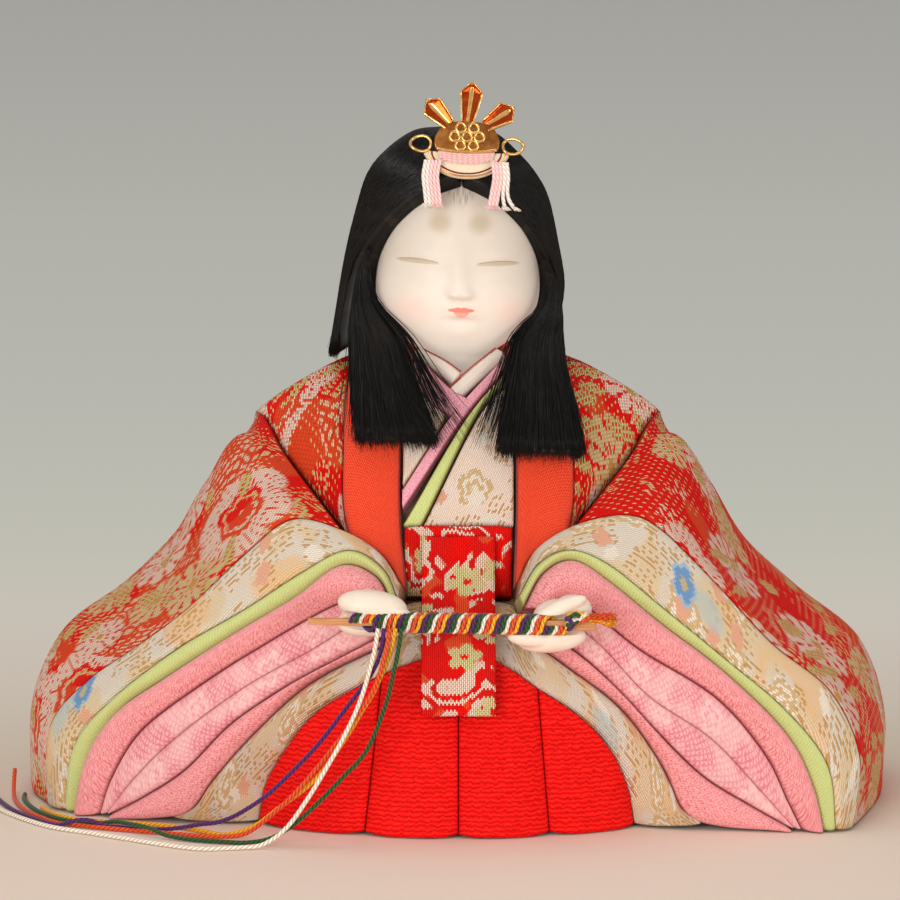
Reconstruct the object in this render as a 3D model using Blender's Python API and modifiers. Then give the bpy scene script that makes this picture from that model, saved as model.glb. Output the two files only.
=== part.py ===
"""A seated empress doll of the spring festival, modelled as it comes apart on a bench.

A moulded core carries padded cloth pieces whose edges meet in narrow grooves. The head sits
on a peg in the core's socket, the gilt crown lifts off the hair, and the closed fan with its
five cords slides out of the hands. The doll faces -Y, its base lies on Z = 0, metres.
"""
import math

import bmesh
import bpy
import numpy as np
from mathutils import Matrix, Vector
from mathutils.bvhtree import BVHTree

# Driving sizes of the dressed body
HALF_WIDTH = 0.1155
SHOULDER_HEIGHT = 0.120
HALF_DEPTH = 0.070
SEAM = 0.0004
CLOTH_THICK = 0.0032
CUFF_THICK = 0.0065
GROOVE = 0.0007

# Point inside the core that every cloth piece faces
HEART_BACK = HALF_DEPTH / 7
HEART_HEIGHT = SHOULDER_HEIGHT / 4

# Sleeve openings: how far forward they stand, how much they lean and sweep back
CUFF_FRONT_SHARE = 0.857
CUFF_FRONT = HALF_DEPTH * CUFF_FRONT_SHARE
CUFF_LEAN = 0.014
CUFF_LEAN_HEIGHT = SHOULDER_HEIGHT * 2 / 3
SWEEP_START_SHARE = 0.433
SWEEP_START = HALF_WIDTH * SWEEP_START_SHARE
SWEEP_RATE = 1.25
SWEEP_POWER = 1.3
LEFT_SWEEP = 0.022
RIGHT_SWEEP = -0.0040
CREAM_BACKSET = 0.004

# Rolls of the sleeve openings stand proud by these amounts
CREAM_CROWN = 0.0012
GREEN_CROWN = 0.0012
ROLL_CROWN = 0.0042
LINING_CROWN = 0.0014
HEM_CROWN = 0.0032
HEM_CLEARANCE = 0.0003
HEM_TURN = 0.0030

# Trousers
TROUSER_FRONT_SHARE = 1.0043
TROUSER_FRONT = HALF_DEPTH * TROUSER_FRONT_SHARE
TROUSER_ROUND = 0.0145
TROUSER_ROUND_SHARE = 0.4156
TROUSER_ROUND_WIDTH = HALF_WIDTH * TROUSER_ROUND_SHARE
TROUSER_SLOPE = 0.012
LAP_HEIGHT_SHARE = 0.3833
LAP_HEIGHT = SHOULDER_HEIGHT * LAP_HEIGHT_SHARE
TROUSER_CROWN = 0.0022
TROUSER_THICK = 0.0060
EDGE_CROWN = 0.0018

# Chest, sash and lapels
CHEST_FRONT_SHARE = 0.55
CHEST_FRONT = HALF_DEPTH * CHEST_FRONT_SHARE
CHEST_RISE = 0.022
CHEST_BASE_SHARE = 0.6333
CHEST_BASE = SHOULDER_HEIGHT * CHEST_BASE_SHARE
CHEST_TOP = SHOULDER_HEIGHT
CHEST_RADIUS = 0.0833
CHEST_POWER = 1.3
SASH_BOTTOM_SHARE = 0.4817
SASH_BOTTOM = SHOULDER_HEIGHT * SASH_BOTTOM_SHARE
SASH_CROWN = 0.0016
LAPEL_CROWN = 0.0015
COLLAR_CROWN = 0.0006
COLLAR_THICK = 0.0024
TAB_THICK = 0.0016
TAB_HALF_WIDTH = 0.0097
JACKET_CROWN = 0.0012
JACKET_SINK = 0.006

# Base felt and core
FELT_THICK = 0.0010
FELT_INSET = 0.0012
FELT_REACH = 0.0030
REST_GAP = 0.0003
CORE_GAP = 0.0004

# Head, leaning to the viewer's right on its peg
NECK_DROP = 0.008
NECK_HEIGHT = SHOULDER_HEIGHT - NECK_DROP
NECK_SIDE = -0.0010
HEAD_LEAN = math.radians(2.0)
PEG_RADIUS = 0.0042
PEG_TIP_RADIUS = 0.0034
PEG_DOWN = 0.040
PEG_UP = 0.016
PEG_CLEARANCE = 0.0004
BORE_OVERRUN = 0.002
NECK_RADIUS = 0.0082
FACE_HALF_WIDTH = 0.0216
FACE_HALF_DEPTH = 0.0205
FACE_TOP = 0.0330
FACE_BOTTOM = 0.0230
FACE_CENTRE_HEIGHT = 0.0270
FACE_CENTRE_FORWARD = 0.0035
NOSE_LENGTH = 0.0012
CHEEK_SHARE = 0.035
# Places on the face as parts of a unit direction from its centre
CHEEK_DROP = 0.35
NOSE_DROP = 0.16
NOSE_HALF_WIDTH = 0.10
NOSE_HALF_HEIGHT = 0.13

# Hair
HAIR_GAP = 0.0010
HAIR_HEIGHT = 0.0665
HAIR_LEFT = 0.0335
HAIR_RIGHT = 0.0283
HAIR_BACK = 0.0290
HAIR_FRONT = 0.0215
BACK_HAIR_THICK = 0.0045
BACK_HAIR_GAP = 0.0020
BACK_HAIR_HALF_WIDTH = 0.0220
BACK_HAIR_DROP = 0.002
BACK_HAIR_TOP = SHOULDER_HEIGHT - BACK_HAIR_DROP
BACK_HAIR_END = SHOULDER_HEIGHT / 2
LOCK_THICK = 0.0060
LOCK_STANDOFF = 0.0026

# Crown, in a frame that leans back on the front of the hair
CROWN_LEAN = math.radians(14.0)
CROWN_SIDE = 0.0010
CROWN_FORWARD = 0.0206
CROWN_BASE = 0.0543
PAD_WIDTH = 0.0218
PAD_DROP = 0.0070
PAD_THICK = 0.0030
BAND_WIDTH = 0.0150
BAND_DROP = 0.0034
BAND_THICK = 0.0010
CROWN_GAP = 0.0003
PLATE_THICK = 0.0006
PLATE_WIDTH = 0.0172
PLATE_HEIGHT = 0.0080
PRONG_LENGTH = 0.0110
SIDE_PRONG_LENGTH = 0.0092
PRONG_TIP_WIDTH = 0.0062
PRONG_ROOT_WIDTH = 0.0034
PRONG_LEAN = math.radians(6.0)
LEFT_PRONG_LEAN = math.radians(-46.0)
RIGHT_PRONG_LEAN = math.radians(56.0)
RING_RADIUS = 0.0013
RING_WIRE = 0.0004
RING_RELIEF = 0.0008
RING_SPACING = 0.0031
LOOP_HALF_WIDTH = 0.0027
LOOP_HALF_HEIGHT = 0.0024
LOOP_WIRE = 0.0004
RIBBON_WIDTH = 0.0050
RIBBON_LENGTH = 0.0115
RIBBON_THICK = 0.0008
RIBBON_SPREAD = 0.0088
RIBBON_START_SHARE = 0.75

# Hands and fan, in a frame that lies along the fan
FAN_SIDE = -0.0017
FAN_FORWARD_SHARE = 1.0357
FAN_FORWARD = HALF_DEPTH * FAN_FORWARD_SHARE
FAN_HEIGHT_SHARE = 0.4733
FAN_HEIGHT = SHOULDER_HEIGHT * FAN_HEIGHT_SHARE
FAN_LENGTH = 0.0739
FAN_BLADE_HEIGHT = 0.0026
FAN_BLADE_THICK = 0.0009
FAN_BLADE_GAP = 0.0003
FAN_BLADE_EDGE = 0.0003
FAN_DIP = math.radians(0.85)
GRIP_RADIUS = 0.0031
GRIP_OPENING = math.radians(75.0)
HAND_RISE = 0.0075
HAND_LENGTH = 0.0190
LEFT_HAND_PLACE = -0.0199
RIGHT_HAND_PLACE = 0.0244
WRAP_LOOP_COUNT = 8
WRAP_PITCH = 0.0063
WRAP_BAND = 0.0057
WRAP_THICK = 0.0009
WRAP_START = -0.0235
WRAP_GAP = 0.0004
WRAP_STEP_COUNT = 12
WRAP_CORNER_SHARE = 0.5
BLADE_TIP_SHARE = 0.6
TAIL_PLACE = 0.0300
TAIL_FORWARD = 0.0032
TAIL_RISE = 0.0022
TAIL_LENGTH = 0.0125
TAIL_RADIUS = 0.0020
CORD_DIAMETER = 0.0012

FINE_STEP_COUNT = 12
PROFILE_POINT_COUNT = 60
CUFF_POINT_COUNT = 14
LAPEL_POINT_COUNT = 2
LAPEL_FOOT_SHARE = 0.93
MM = 1000
SMALL_SHARE = 0.001
WELD = 0.00001
SHARP_ANGLE = math.radians(40)
SIDES = (("left", -1), ("right", 1))

# Sleeve openings seen from the front, as shares of the half width and the shoulder height.
# Each edge runs from the hand over the arch and down to the floor.
CUFF_EDGE_SHARES = {
    "right": [(0.14, 0.53), (0.18, 0.60), (0.27, 0.65), (0.38, 0.67), (0.46, 0.64), (0.58, 0.53),
              (0.71, 0.40), (0.84, 0.30), (0.905, 0.16), (0.89, 0.006)],
    "left": [(0.13, 0.52), (0.18, 0.59), (0.27, 0.64), (0.38, 0.66), (0.48, 0.59), (0.62, 0.46),
             (0.74, 0.37), (0.85, 0.29), (0.94, 0.18), (0.945, 0.006)],
}
CREAM_EDGE_SHARES = {
    "right": [(0.135, 0.50), (0.18, 0.57), (0.25, 0.60), (0.34, 0.57), (0.46, 0.48), (0.59, 0.38),
              (0.73, 0.27), (0.83, 0.15), (0.85, 0.006)],
    "left": [(0.135, 0.49), (0.17, 0.56), (0.25, 0.60), (0.36, 0.55), (0.49, 0.47), (0.64, 0.38),
             (0.79, 0.26), (0.88, 0.15), (0.90, 0.006)],
}
GREEN_EDGE_SHARES = {
    "right": [(0.145, 0.475), (0.19, 0.55), (0.255, 0.58), (0.33, 0.54), (0.45, 0.45),
              (0.60, 0.34), (0.73, 0.22), (0.79, 0.11), (0.81, 0.006)],
    "left": [(0.145, 0.465), (0.18, 0.54), (0.26, 0.57), (0.35, 0.51), (0.49, 0.43),
             (0.66, 0.32), (0.77, 0.24), (0.84, 0.14), (0.87, 0.006)],
}
ROLL_EDGE_SHARES = {
    "right": [(0.195, 0.46), (0.235, 0.50), (0.29, 0.48), (0.41, 0.39), (0.58, 0.29),
              (0.69, 0.17), (0.74, 0.07), (0.77, 0.006)],
    "left": [(0.195, 0.45), (0.235, 0.49), (0.29, 0.48), (0.44, 0.40), (0.58, 0.31),
             (0.72, 0.20), (0.79, 0.09), (0.815, 0.006)],
}
FOLD_EDGE_SHARES = {
    "right": [(0.19, 0.44), (0.24, 0.45), (0.32, 0.40), (0.43, 0.29), (0.57, 0.20),
              (0.68, 0.09), (0.755, 0.008)],
    "left": [(0.19, 0.43), (0.24, 0.44), (0.33, 0.39), (0.48, 0.31), (0.64, 0.19),
             (0.74, 0.09), (0.80, 0.008)],
}
LINING_EDGE_SHARES = {
    "right": [(0.18, 0.42), (0.24, 0.40), (0.32, 0.34), (0.43, 0.23), (0.55, 0.12),
              (0.66, 0.055), (0.74, 0.012)],
    "left": [(0.18, 0.415), (0.27, 0.37), (0.39, 0.31), (0.51, 0.23), (0.62, 0.12),
             (0.72, 0.05), (0.785, 0.012)],
}
HEM_EDGE_SHARES = {
    "right": [(0.165, 0.405), (0.25, 0.35), (0.37, 0.26), (0.46, 0.14), (0.515, 0.035),
              (0.60, 0.006), (0.725, 0.004)],
    "left": [(0.165, 0.40), (0.33, 0.32), (0.45, 0.22), (0.55, 0.11), (0.61, 0.03),
             (0.69, 0.006), (0.77, 0.004)],
}
# Inner edge of the kimono's front over the trousers, from the lap's middle to the floor
LAP_EDGE_SHARES = {
    "right": [(0.0, 0.385), (0.08, 0.37), (0.18, 0.31), (0.28, 0.24), (0.34, 0.17),
              (0.38, 0.09), (0.40, 0.006)],
    "left": [(0.0, 0.385), (0.09, 0.37), (0.21, 0.32), (0.32, 0.25), (0.40, 0.15),
             (0.44, 0.08), (0.455, 0.006)],
}
# Start of the kimono front's outer edge, under the sash: shares of width, depth and height
LAP_START_SHARES = [(0.0, -0.60, 0.478), (0.12, -0.605, 0.472), (0.15, -0.70, 0.43)]

# Jacket guides from top to hem: shares of the half width, the half depth and the height
RIDGE_SHARES = [(0.40, -0.23, 0.77), (0.505, -0.03, 0.775), (0.59, 0.03, 0.66), (0.67, 0.06, 0.53),
                (0.80, 0.06, 0.43), (0.93, 0.03, 0.335), (0.99, 0.0, 0.18), (0.985, -0.05, 0.005)]
BACK_BEND_SHARES = [(0.445, -0.05, 0.83), (0.52, 0.24, 0.745), (0.60, 0.38, 0.61),
                    (0.69, 0.49, 0.46), (0.78, 0.57, 0.34), (0.85, 0.62, 0.18),
                    (0.87, 0.64, 0.005)]
BACK_SEAM_SHARES = [(0.475, 0.07, 0.845), (0.49, 0.35, 0.765), (0.51, 0.57, 0.62),
                    (0.515, 0.75, 0.43), (0.485, 0.87, 0.25), (0.46, 0.94, 0.12),
                    (0.43, 0.97, 0.005)]
BACK_QUARTER_SHARES = [(0.25, 0.04, 0.965), (0.28, 0.37, 0.91), (0.29, 0.58, 0.79),
                       (0.30, 0.77, 0.58), (0.29, 0.90, 0.37), (0.27, 0.985, 0.15),
                       (0.25, 1.01, 0.005)]
BACK_CENTRE_SHARES = [(0.0, 0.27, 0.985), (0.0, 0.47, 0.93), (0.0, 0.655, 0.79), (0.0, 0.82, 0.59),
                      (0.0, 0.945, 0.375), (0.0, 1.015, 0.15), (0.0, 1.032, 0.005)]
LAPEL_OUTER_SHARES = [(0.262, -0.54, 0.63), (0.265, -0.47, 0.69), (0.265, -0.36, 0.80),
                      (0.262, -0.22, 0.90), (0.25, 0.04, 0.965)]
LAPEL_INNER_SHARES = [(0.135, -0.60, 0.50), (0.135, -0.535, 0.66), (0.135, -0.43, 0.80),
                      (0.13, -0.27, 0.94), (0.11, -0.05, 0.995), (0.075, 0.09, 1.005),
                      (0.0, 0.14, 1.005)]
# The sash's hanging end, as shares of the half depth and the height
TAB_SHARES = [(-0.612, 0.622), (-0.614, 0.58), (-0.620, 0.54), (-0.70, 0.49), (-0.82, 0.45), (-0.93, 0.41),
              (-0.985, 0.35), (-1.025, 0.27)]

# Collar strips seen from the front, as shares of the half width and the shoulder height
COLLAR_SHARES = {
    "collar_white_left": ([(-0.105, 0.998), (-0.045, 0.962), (-0.012, 0.938)],
                          [(-0.078, 1.002), (-0.030, 0.980), (0.006, 0.957)]),
    "collar_white_right": ([(0.085, 1.005), (0.03, 0.966), (-0.03, 0.918)],
                           [(0.108, 0.992), (0.05, 0.948), (-0.012, 0.898)]),
    "collar_pink": ([(0.105, 0.988), (-0.014, 0.872), (-0.127, 0.715)],
                    [(0.112, 0.968), (0.004, 0.855), (-0.127, 0.673)]),
    "collar_green": ([(0.115, 0.964), (0.008, 0.850), (-0.126, 0.640)],
                     [(0.121, 0.945), (0.040, 0.870), (-0.086, 0.640)]),
    "chest_panel_left": ([(-0.123, 0.955), (-0.126, 0.850), (-0.127, 0.725)],
                         [(-0.040, 0.925), (-0.032, 0.868), (-0.125, 0.722)]),
    "chest_panel_right": ([(0.124, 0.938), (0.043, 0.862), (-0.080, 0.640)],
                          [(0.126, 0.930), (0.127, 0.800), (0.127, 0.640)]),
}
CHEST_LOW_SHARE = 0.640
SASH_REACH_SHARE = 0.124

# Pleat lines: share of the way from the left foot to the right foot, at the floor and above
PLEAT_FOOT_SHARES = (0.0, 0.285, 0.532, 0.772, 1.0)
PLEAT_TOP_SHARES = (0.0, 0.330, 0.532, 0.742, 1.0)
OUTER_PLEAT_SHARE = 0.98

# Wig seen from the front: share of its height over the neck, then of its width on that side
HAIR_SIDE_SHARES = {
    "left": [(1.0, 0.0), (0.993, 0.22), (0.975, 0.40), (0.90, 0.60), (0.80, 0.75), (0.64, 0.836),
             (0.51, 0.89), (0.38, 0.93), (0.26, 0.96), (0.11, 1.0), (0.075, 0.99)],
    "right": [(1.0, 0.0), (0.992, 0.21), (0.970, 0.34), (0.913, 0.50), (0.83, 0.685),
              (0.725, 0.827), (0.54, 0.936), (0.42, 0.996), (0.335, 1.0), (0.22, 0.965),
              (0.13, 1.0)],
}
# Wig's depth in front and behind at each share of its height
HAIR_FRONT_SHARES = [(0.0, 0.55), (0.30, 0.80), (0.42, 0.90), (0.56, 1.0), (0.70, 1.0),
                     (0.80, 0.96), (0.86, 0.88), (0.92, 0.72), (0.975, 0.43), (1.0, 0.0)]
HAIR_BACK_SHARES = [(0.0, 0.92), (0.30, 0.97), (0.45, 1.0), (0.60, 0.98), (0.75, 0.90),
                    (0.85, 0.80), (0.92, 0.66), (0.975, 0.42), (1.0, 0.0)]
# Front edge of the wig at each share of its height: share of the half turn from front to back
HAIRLINE_SHARES = [(0.0, 0.40), (0.30, 0.40), (0.42, 0.39), (0.48, 0.37), (0.55, 0.32),
                   (0.64, 0.26), (0.725, 0.185), (0.78, 0.13), (0.82, 0.07), (0.85, 0.0),
                   (1.0, 0.0)]
HAIR_NAPE_SHARE = 0.115
HAIR_LOW_SHARE = 0.30
BACK_HAIR_END_SHARE = 0.80
BACK_HAIR_EDGE_SHARE = 0.45

# Front locks of hair in the head's own frame, as shares of the face's half width, its depth
# and its centre's height: middle of each section, then half width and half thickness
LOCK_SHARES = {
    "left": [(-1.085, -0.595, 1.26, 0.07, 0.20), (-1.113, -0.52, 1.04, 0.155, 0.30),
             (-1.118, -0.62, 0.74, 0.20, 0.40), (-1.028, -0.78, 0.48, 0.307, 0.45),
             (-0.943, -1.04, 0.22, 0.377, 0.45), (-0.858, -1.30, -0.074, 0.425, 0.45),
             (-0.769, -1.45, -0.333, 0.48, 0.43), (-0.708, -1.55, -0.507, 0.528, 0.40)],
    "right": [(1.010, -0.64, 1.22, 0.07, 0.20), (1.080, -0.62, 1.04, 0.155, 0.30),
              (1.120, -0.78, 0.74, 0.20, 0.36), (1.040, -0.78, 0.48, 0.307, 0.45),
              (1.042, -1.04, 0.22, 0.349, 0.45), (1.075, -1.30, -0.074, 0.434, 0.45),
              (1.094, -1.45, -0.333, 0.50, 0.43), (1.108, -1.55, -0.574, 0.557, 0.40)],
}

# Crown outlines: shares of each piece's width across and of its height upwards
PAD_SHARES = [(-0.50, 1.0), (-0.485, 0.74), (-0.38, 0.36), (-0.20, 0.08), (0.0, 0.0), (0.20, 0.08),
              (0.38, 0.36), (0.485, 0.74), (0.50, 1.0), (0.25, 0.95), (0.0, 0.93), (-0.25, 0.95)]
BAND_SHARES = [(-0.50, 0.94), (-0.46, 0.45), (-0.28, 0.10), (0.0, 0.0), (0.28, 0.10), (0.46, 0.45),
               (0.50, 0.94), (0.25, 0.88), (0.0, 0.86), (-0.25, 0.88)]
PLATE_LEFT_SHARES = [(-0.30, 0.0), (-0.46, 0.06), (-0.50, 0.34), (-0.46, 0.62)]
PRONG_PLACE_SHARES = ((-0.27, 0.90), (0.0, 1.0), (0.27, 0.90))
PRONG_SHARES = [(-0.5, 0.0), (-0.5, 0.72), (0.0, 1.0), (0.5, 0.72), (0.5, 0.0)]
RING_PLACE_SHARES = [(-0.55, 0.75), (0.55, 0.75), (-1.05, 0.0), (0.0, 0.0), (1.05, 0.0),
                     (-0.55, -0.75), (0.55, -0.75)]
PLAQUE_SHARES = [(0.03, 0.30), (0.12, 0.38), (0.40, 0.41), (0.70, 0.37), (0.88, 0.30), (0.97, 0.22)]
LOOP_PLACE_SHARES = (0.610, 0.24)
RIBBON_BEND_SHARES = [(0.0, 0.06, 0.0), (0.10, 0.22, 0.35), (0.0, 0.26, 0.70), (-0.10, 0.24, 1.0)]

# Hands: place along the hand, rise over the grip's axis, drop under it and reach to the back
HAND_SHARES = {
    "left": [(-0.50, 0.55, 0.50, 0.55), (-0.42, 0.90, 0.58, 0.95), (-0.20, 1.12, 0.66, 1.80),
             (0.0, 1.14, 0.66, 2.05), (0.20, 1.02, 0.62, 1.95), (0.38, 0.76, 0.55, 1.10),
             (0.50, 0.55, 0.50, 0.60)],
    "right": [(-0.50, 0.50, 0.55, 0.55), (-0.40, 0.56, 0.80, 0.95), (-0.20, 0.66, 1.0, 1.80),
              (0.0, 0.86, 1.04, 2.05), (0.20, 0.98, 1.0, 1.95), (0.40, 0.80, 0.80, 1.10),
              (0.50, 0.55, 0.55, 0.60)],
}
HAND_LIP_SHARE = 0.56
# The tail of the fan's cords: radius and distance from its cut end to the knot's far side
TAIL_SHARES = [(0.0, 1.0), (0.45, 0.98), (0.85, 0.92), (0.96, 0.82), (0.85, 0.72), (0.50, 0.64),
               (0.52, 0.52), (0.72, 0.28), (0.85, 0.04), (0.70, 0.0), (0.0, 0.0)]

# Cord routes from the fan's wrapping to the table, in metres, for a fan held at these places
ROUTE_FAN_FORWARD = 0.0725
ROUTE_FAN_HEIGHT = 0.0568
CORD_ROUTES = {
    "cord_white": [(-0.0206, -0.0759, 0.0560), (-0.0216, -0.0773, 0.0500), (-0.0247, -0.0786, 0.0390),
                   (-0.0286, -0.0798, 0.0300), (-0.0333, -0.0806, 0.0215), (-0.0385, -0.0816, 0.0130),
                   (-0.0440, -0.0826, 0.0055), (-0.0500, -0.0832, 0.0013), (-0.0560, -0.0840, 0.0007),
                   (-0.0660, -0.0852, 0.0007), (-0.0760, -0.0800, 0.0007), (-0.0850, -0.0738, 0.0007),
                   (-0.0960, -0.0662, 0.0007), (-0.1054, -0.0600, 0.0007), (-0.1120, -0.0525, 0.0007),
                   (-0.1175, -0.0445, 0.0007), (-0.1215, -0.0370, 0.0007), (-0.1270, -0.0225, 0.0007),
                   (-0.1315, -0.0060, 0.0007), (-0.1355, 0.0120, 0.0007)],
    "cord_purple": [(-0.0191, -0.0759, 0.0560), (-0.0199, -0.0762, 0.0500), (-0.0228, -0.0762, 0.0435),
                    (-0.0293, -0.0756, 0.0346), (-0.0356, -0.0750, 0.0262), (-0.0423, -0.0740, 0.0188),
                    (-0.0494, -0.0725, 0.0118), (-0.0568, -0.0700, 0.0064), (-0.0620, -0.0678, 0.0038),
                    (-0.0670, -0.0654, 0.0026), (-0.0720, -0.0636, 0.0014), (-0.0770, -0.0626, 0.0007),
                    (-0.0840, -0.0614, 0.0007), (-0.0880, -0.0602, 0.0007), (-0.0920, -0.0594, 0.0010),
                    (-0.0960, -0.0590, 0.0023), (-0.0995, -0.0589, 0.0023), (-0.1025, -0.0583, 0.0013),
                    (-0.1052, -0.0572, 0.0007),
                    (-0.1110, -0.0503, 0.0007), (-0.1156, -0.0430, 0.0007), (-0.1190, -0.0360, 0.0007),
                    (-0.1240, -0.0220, 0.0007), (-0.1280, -0.0070, 0.0007), (-0.1315, 0.0090, 0.0007)],
    "cord_red": [(-0.0176, -0.0759, 0.0560), (-0.0187, -0.0776, 0.0500), (-0.0215, -0.0779, 0.0410),
                 (-0.0264, -0.0780, 0.0333), (-0.0318, -0.0780, 0.0258), (-0.0408, -0.0772, 0.0146),
                 (-0.0486, -0.0758, 0.0069), (-0.0550, -0.0738, 0.0020), (-0.0620, -0.0714, 0.0007),
                 (-0.0700, -0.0690, 0.0007), (-0.0770, -0.0665, 0.0007), (-0.0840, -0.0640, 0.0007),
                 (-0.0910, -0.0613, 0.0007), (-0.0980, -0.0582, 0.0007), (-0.1048, -0.0548, 0.0007),
                 (-0.1095, -0.0483, 0.0007), (-0.1135, -0.0415, 0.0007), (-0.1162, -0.0345, 0.0007),
                 (-0.1184, -0.0260, 0.0007), (-0.1194, -0.0190, 0.0014), (-0.1197, -0.0145, 0.0034),
                 (-0.1197, -0.0115, 0.0060)],
    "cord_yellow": [(-0.0161, -0.0759, 0.0560), (-0.0174, -0.0755, 0.0500), (-0.0212, -0.0752, 0.0405),
                    (-0.0248, -0.0754, 0.0344), (-0.0292, -0.0756, 0.0271), (-0.0368, -0.0750, 0.0166),
                    (-0.0461, -0.0735, 0.0088), (-0.0530, -0.0716, 0.0034), (-0.0600, -0.0690, 0.0008),
                    (-0.0650, -0.0658, 0.0007), (-0.0700, -0.0616, 0.0007), (-0.0770, -0.0578, 0.0007),
                    (-0.0850, -0.0552, 0.0007), (-0.0925, -0.0532, 0.0007), (-0.1000, -0.0502, 0.0007),
                    (-0.1050, -0.0457, 0.0007), (-0.1086, -0.0402, 0.0007), (-0.1105, -0.0360, 0.0007)],
    "cord_green": [(-0.0146, -0.0759, 0.0560), (-0.0155, -0.0770, 0.0500), (-0.0168, -0.0776, 0.0440),
                   (-0.0187, -0.0782, 0.0365), (-0.0235, -0.0792, 0.0250), (-0.0297, -0.0798, 0.0180),
                   (-0.0360, -0.0802, 0.0115), (-0.0420, -0.0802, 0.0060), (-0.0480, -0.0796, 0.0022),
                   (-0.0540, -0.0786, 0.0008), (-0.0600, -0.0774, 0.0007), (-0.0680, -0.0750, 0.0007),
                   (-0.0750, -0.0716, 0.0010), (-0.0800, -0.0678, 0.0022), (-0.0850, -0.0634, 0.0023),
                   (-0.0895, -0.0592, 0.0020), (-0.0940, -0.0562, 0.0009), (-0.1000, -0.0534, 0.0007),
                   (-0.1050, -0.0496, 0.0007), (-0.1095, -0.0435, 0.0007), (-0.1127, -0.0365, 0.0007),
                   (-0.1150, -0.0295, 0.0007), (-0.1162, -0.0240, 0.0007), (-0.1164, -0.0190, 0.0007)],
}
CORD_STEP_SHARE = 2.9
CORD_FINISHES = {"cord_white": "white_cord", "cord_purple": "purple_cord", "cord_red": "red_cord",
                 "cord_yellow": "yellow_cord", "cord_green": "green_cord"}

# Colours, as base colour, roughness and metallic
FINISHES = {
    "felt": ((0.60, 0.02, 0.02), 0.95, 0.0),
    "composition": ((0.62, 0.50, 0.36), 0.85, 0.0),
    "red_brocade": ((0.72, 0.04, 0.03), 0.55, 0.0),
    "cream_brocade": ((0.66, 0.50, 0.33), 0.50, 0.0),
    "green_silk": ((0.60, 0.68, 0.25), 0.60, 0.0),
    "pink_crepe": ((0.90, 0.32, 0.34), 0.70, 0.0),
    "pale_pink_crepe": ((0.92, 0.45, 0.47), 0.70, 0.0),
    "wrapped_cord": ((0.75, 0.40, 0.10), 0.70, 0.0),
    "orange_crepe": ((0.88, 0.08, 0.03), 0.70, 0.0),
    "red_crepe": ((0.85, 0.01, 0.01), 0.70, 0.0),
    "white_silk": ((0.85, 0.80, 0.74), 0.60, 0.0),
    "shell_white": ((0.90, 0.80, 0.70), 0.35, 0.0),
    "black_hair": ((0.008, 0.006, 0.005), 0.35, 0.0),
    "gilt": ((0.85, 0.50, 0.16), 0.20, 1.0),
    "peg_wood": ((0.60, 0.42, 0.24), 0.70, 0.0),
    "fan_wood": ((0.62, 0.30, 0.10), 0.60, 0.0),
    "white_cord": ((0.85, 0.80, 0.72), 0.70, 0.0),
    "purple_cord": ((0.12, 0.03, 0.16), 0.70, 0.0),
    "red_cord": ((0.80, 0.08, 0.02), 0.70, 0.0),
    "yellow_cord": ((0.85, 0.50, 0.04), 0.70, 0.0),
    "green_cord": ((0.03, 0.12, 0.03), 0.70, 0.0),
}

HEART = np.array([0.0, HEART_BACK, HEART_HEIGHT])
BODY_SCALE = np.array([HALF_WIDTH, HALF_DEPTH, SHOULDER_HEIGHT])


def clear_scene():
    """Remove every object that the scene holds."""
    for item in list(bpy.data.objects):
        bpy.data.objects.remove(item, do_unlink=True)


def new_collection(name):
    """A collection linked to the scene."""
    group = bpy.data.collections.new(name)
    bpy.context.scene.collection.children.link(group)
    return group


def finish_material(name):
    """One Principled material for a sub-part."""
    colour, roughness, metallic = FINISHES[name]
    material = bpy.data.materials.new(name)
    material.use_nodes = True
    shader = material.node_tree.nodes["Principled BSDF"]
    shader.inputs["Base Color"].default_value = (*colour, 1.0)
    shader.inputs["Roughness"].default_value = roughness
    shader.inputs["Metallic"].default_value = metallic
    material.diffuse_color = (*colour, 1.0)
    return material


def add_object(name, data, finish, group):
    """Link an object with its own material."""
    item = bpy.data.objects.new(name, data)
    data.materials.append(finish_material(finish))
    group.objects.link(item)
    return item


def mesh_from_faces(name, points, faces):
    """A closed mesh with its faces pointing outwards."""
    mesh = bpy.data.meshes.new(name)
    work = bmesh.new()
    verts = [work.verts.new(Vector(point)) for point in points]
    for face in faces:
        work.faces.new([verts[index] for index in face])
    bmesh.ops.remove_doubles(work, verts=work.verts, dist=WELD)
    bmesh.ops.recalc_face_normals(work, faces=work.faces)
    if work.calc_volume(signed=True) < 0:
        bmesh.ops.reverse_faces(work, faces=work.faces)
    work.to_mesh(mesh)
    work.free()
    mesh.shade_smooth()
    mesh.set_sharp_from_angle(angle=SHARP_ANGLE)
    return mesh


def smooth_curve(points, count):
    """Evenly spaced points on a Catmull-Rom curve through the given points."""
    points = np.asarray(points, float)
    before = 2 * points[0] - points[1]
    after = 2 * points[-1] - points[-2]
    padded = np.vstack([before, points, after])
    steps = np.linspace(0, 1, FINE_STEP_COUNT, endpoint=False)[:, None]
    runs = []
    for start, first, second, end in zip(padded, padded[1:], padded[2:], padded[3:]):
        runs.append(0.5 * (2 * first + (second - start) * steps
                           + (2 * start - 5 * first + 4 * second - end) * steps ** 2
                           + (3 * first - start - 3 * second + end) * steps ** 3))
    fine = np.vstack(runs + [points[-1:]])
    lengths = np.linalg.norm(np.diff(fine, axis=0), axis=1)
    travelled = np.concatenate([[0], np.cumsum(lengths)])
    even = np.linspace(0, travelled[-1], count)
    columns = [np.interp(even, travelled, fine[:, axis]) for axis in range(fine.shape[1])]
    return np.column_stack(columns)


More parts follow.
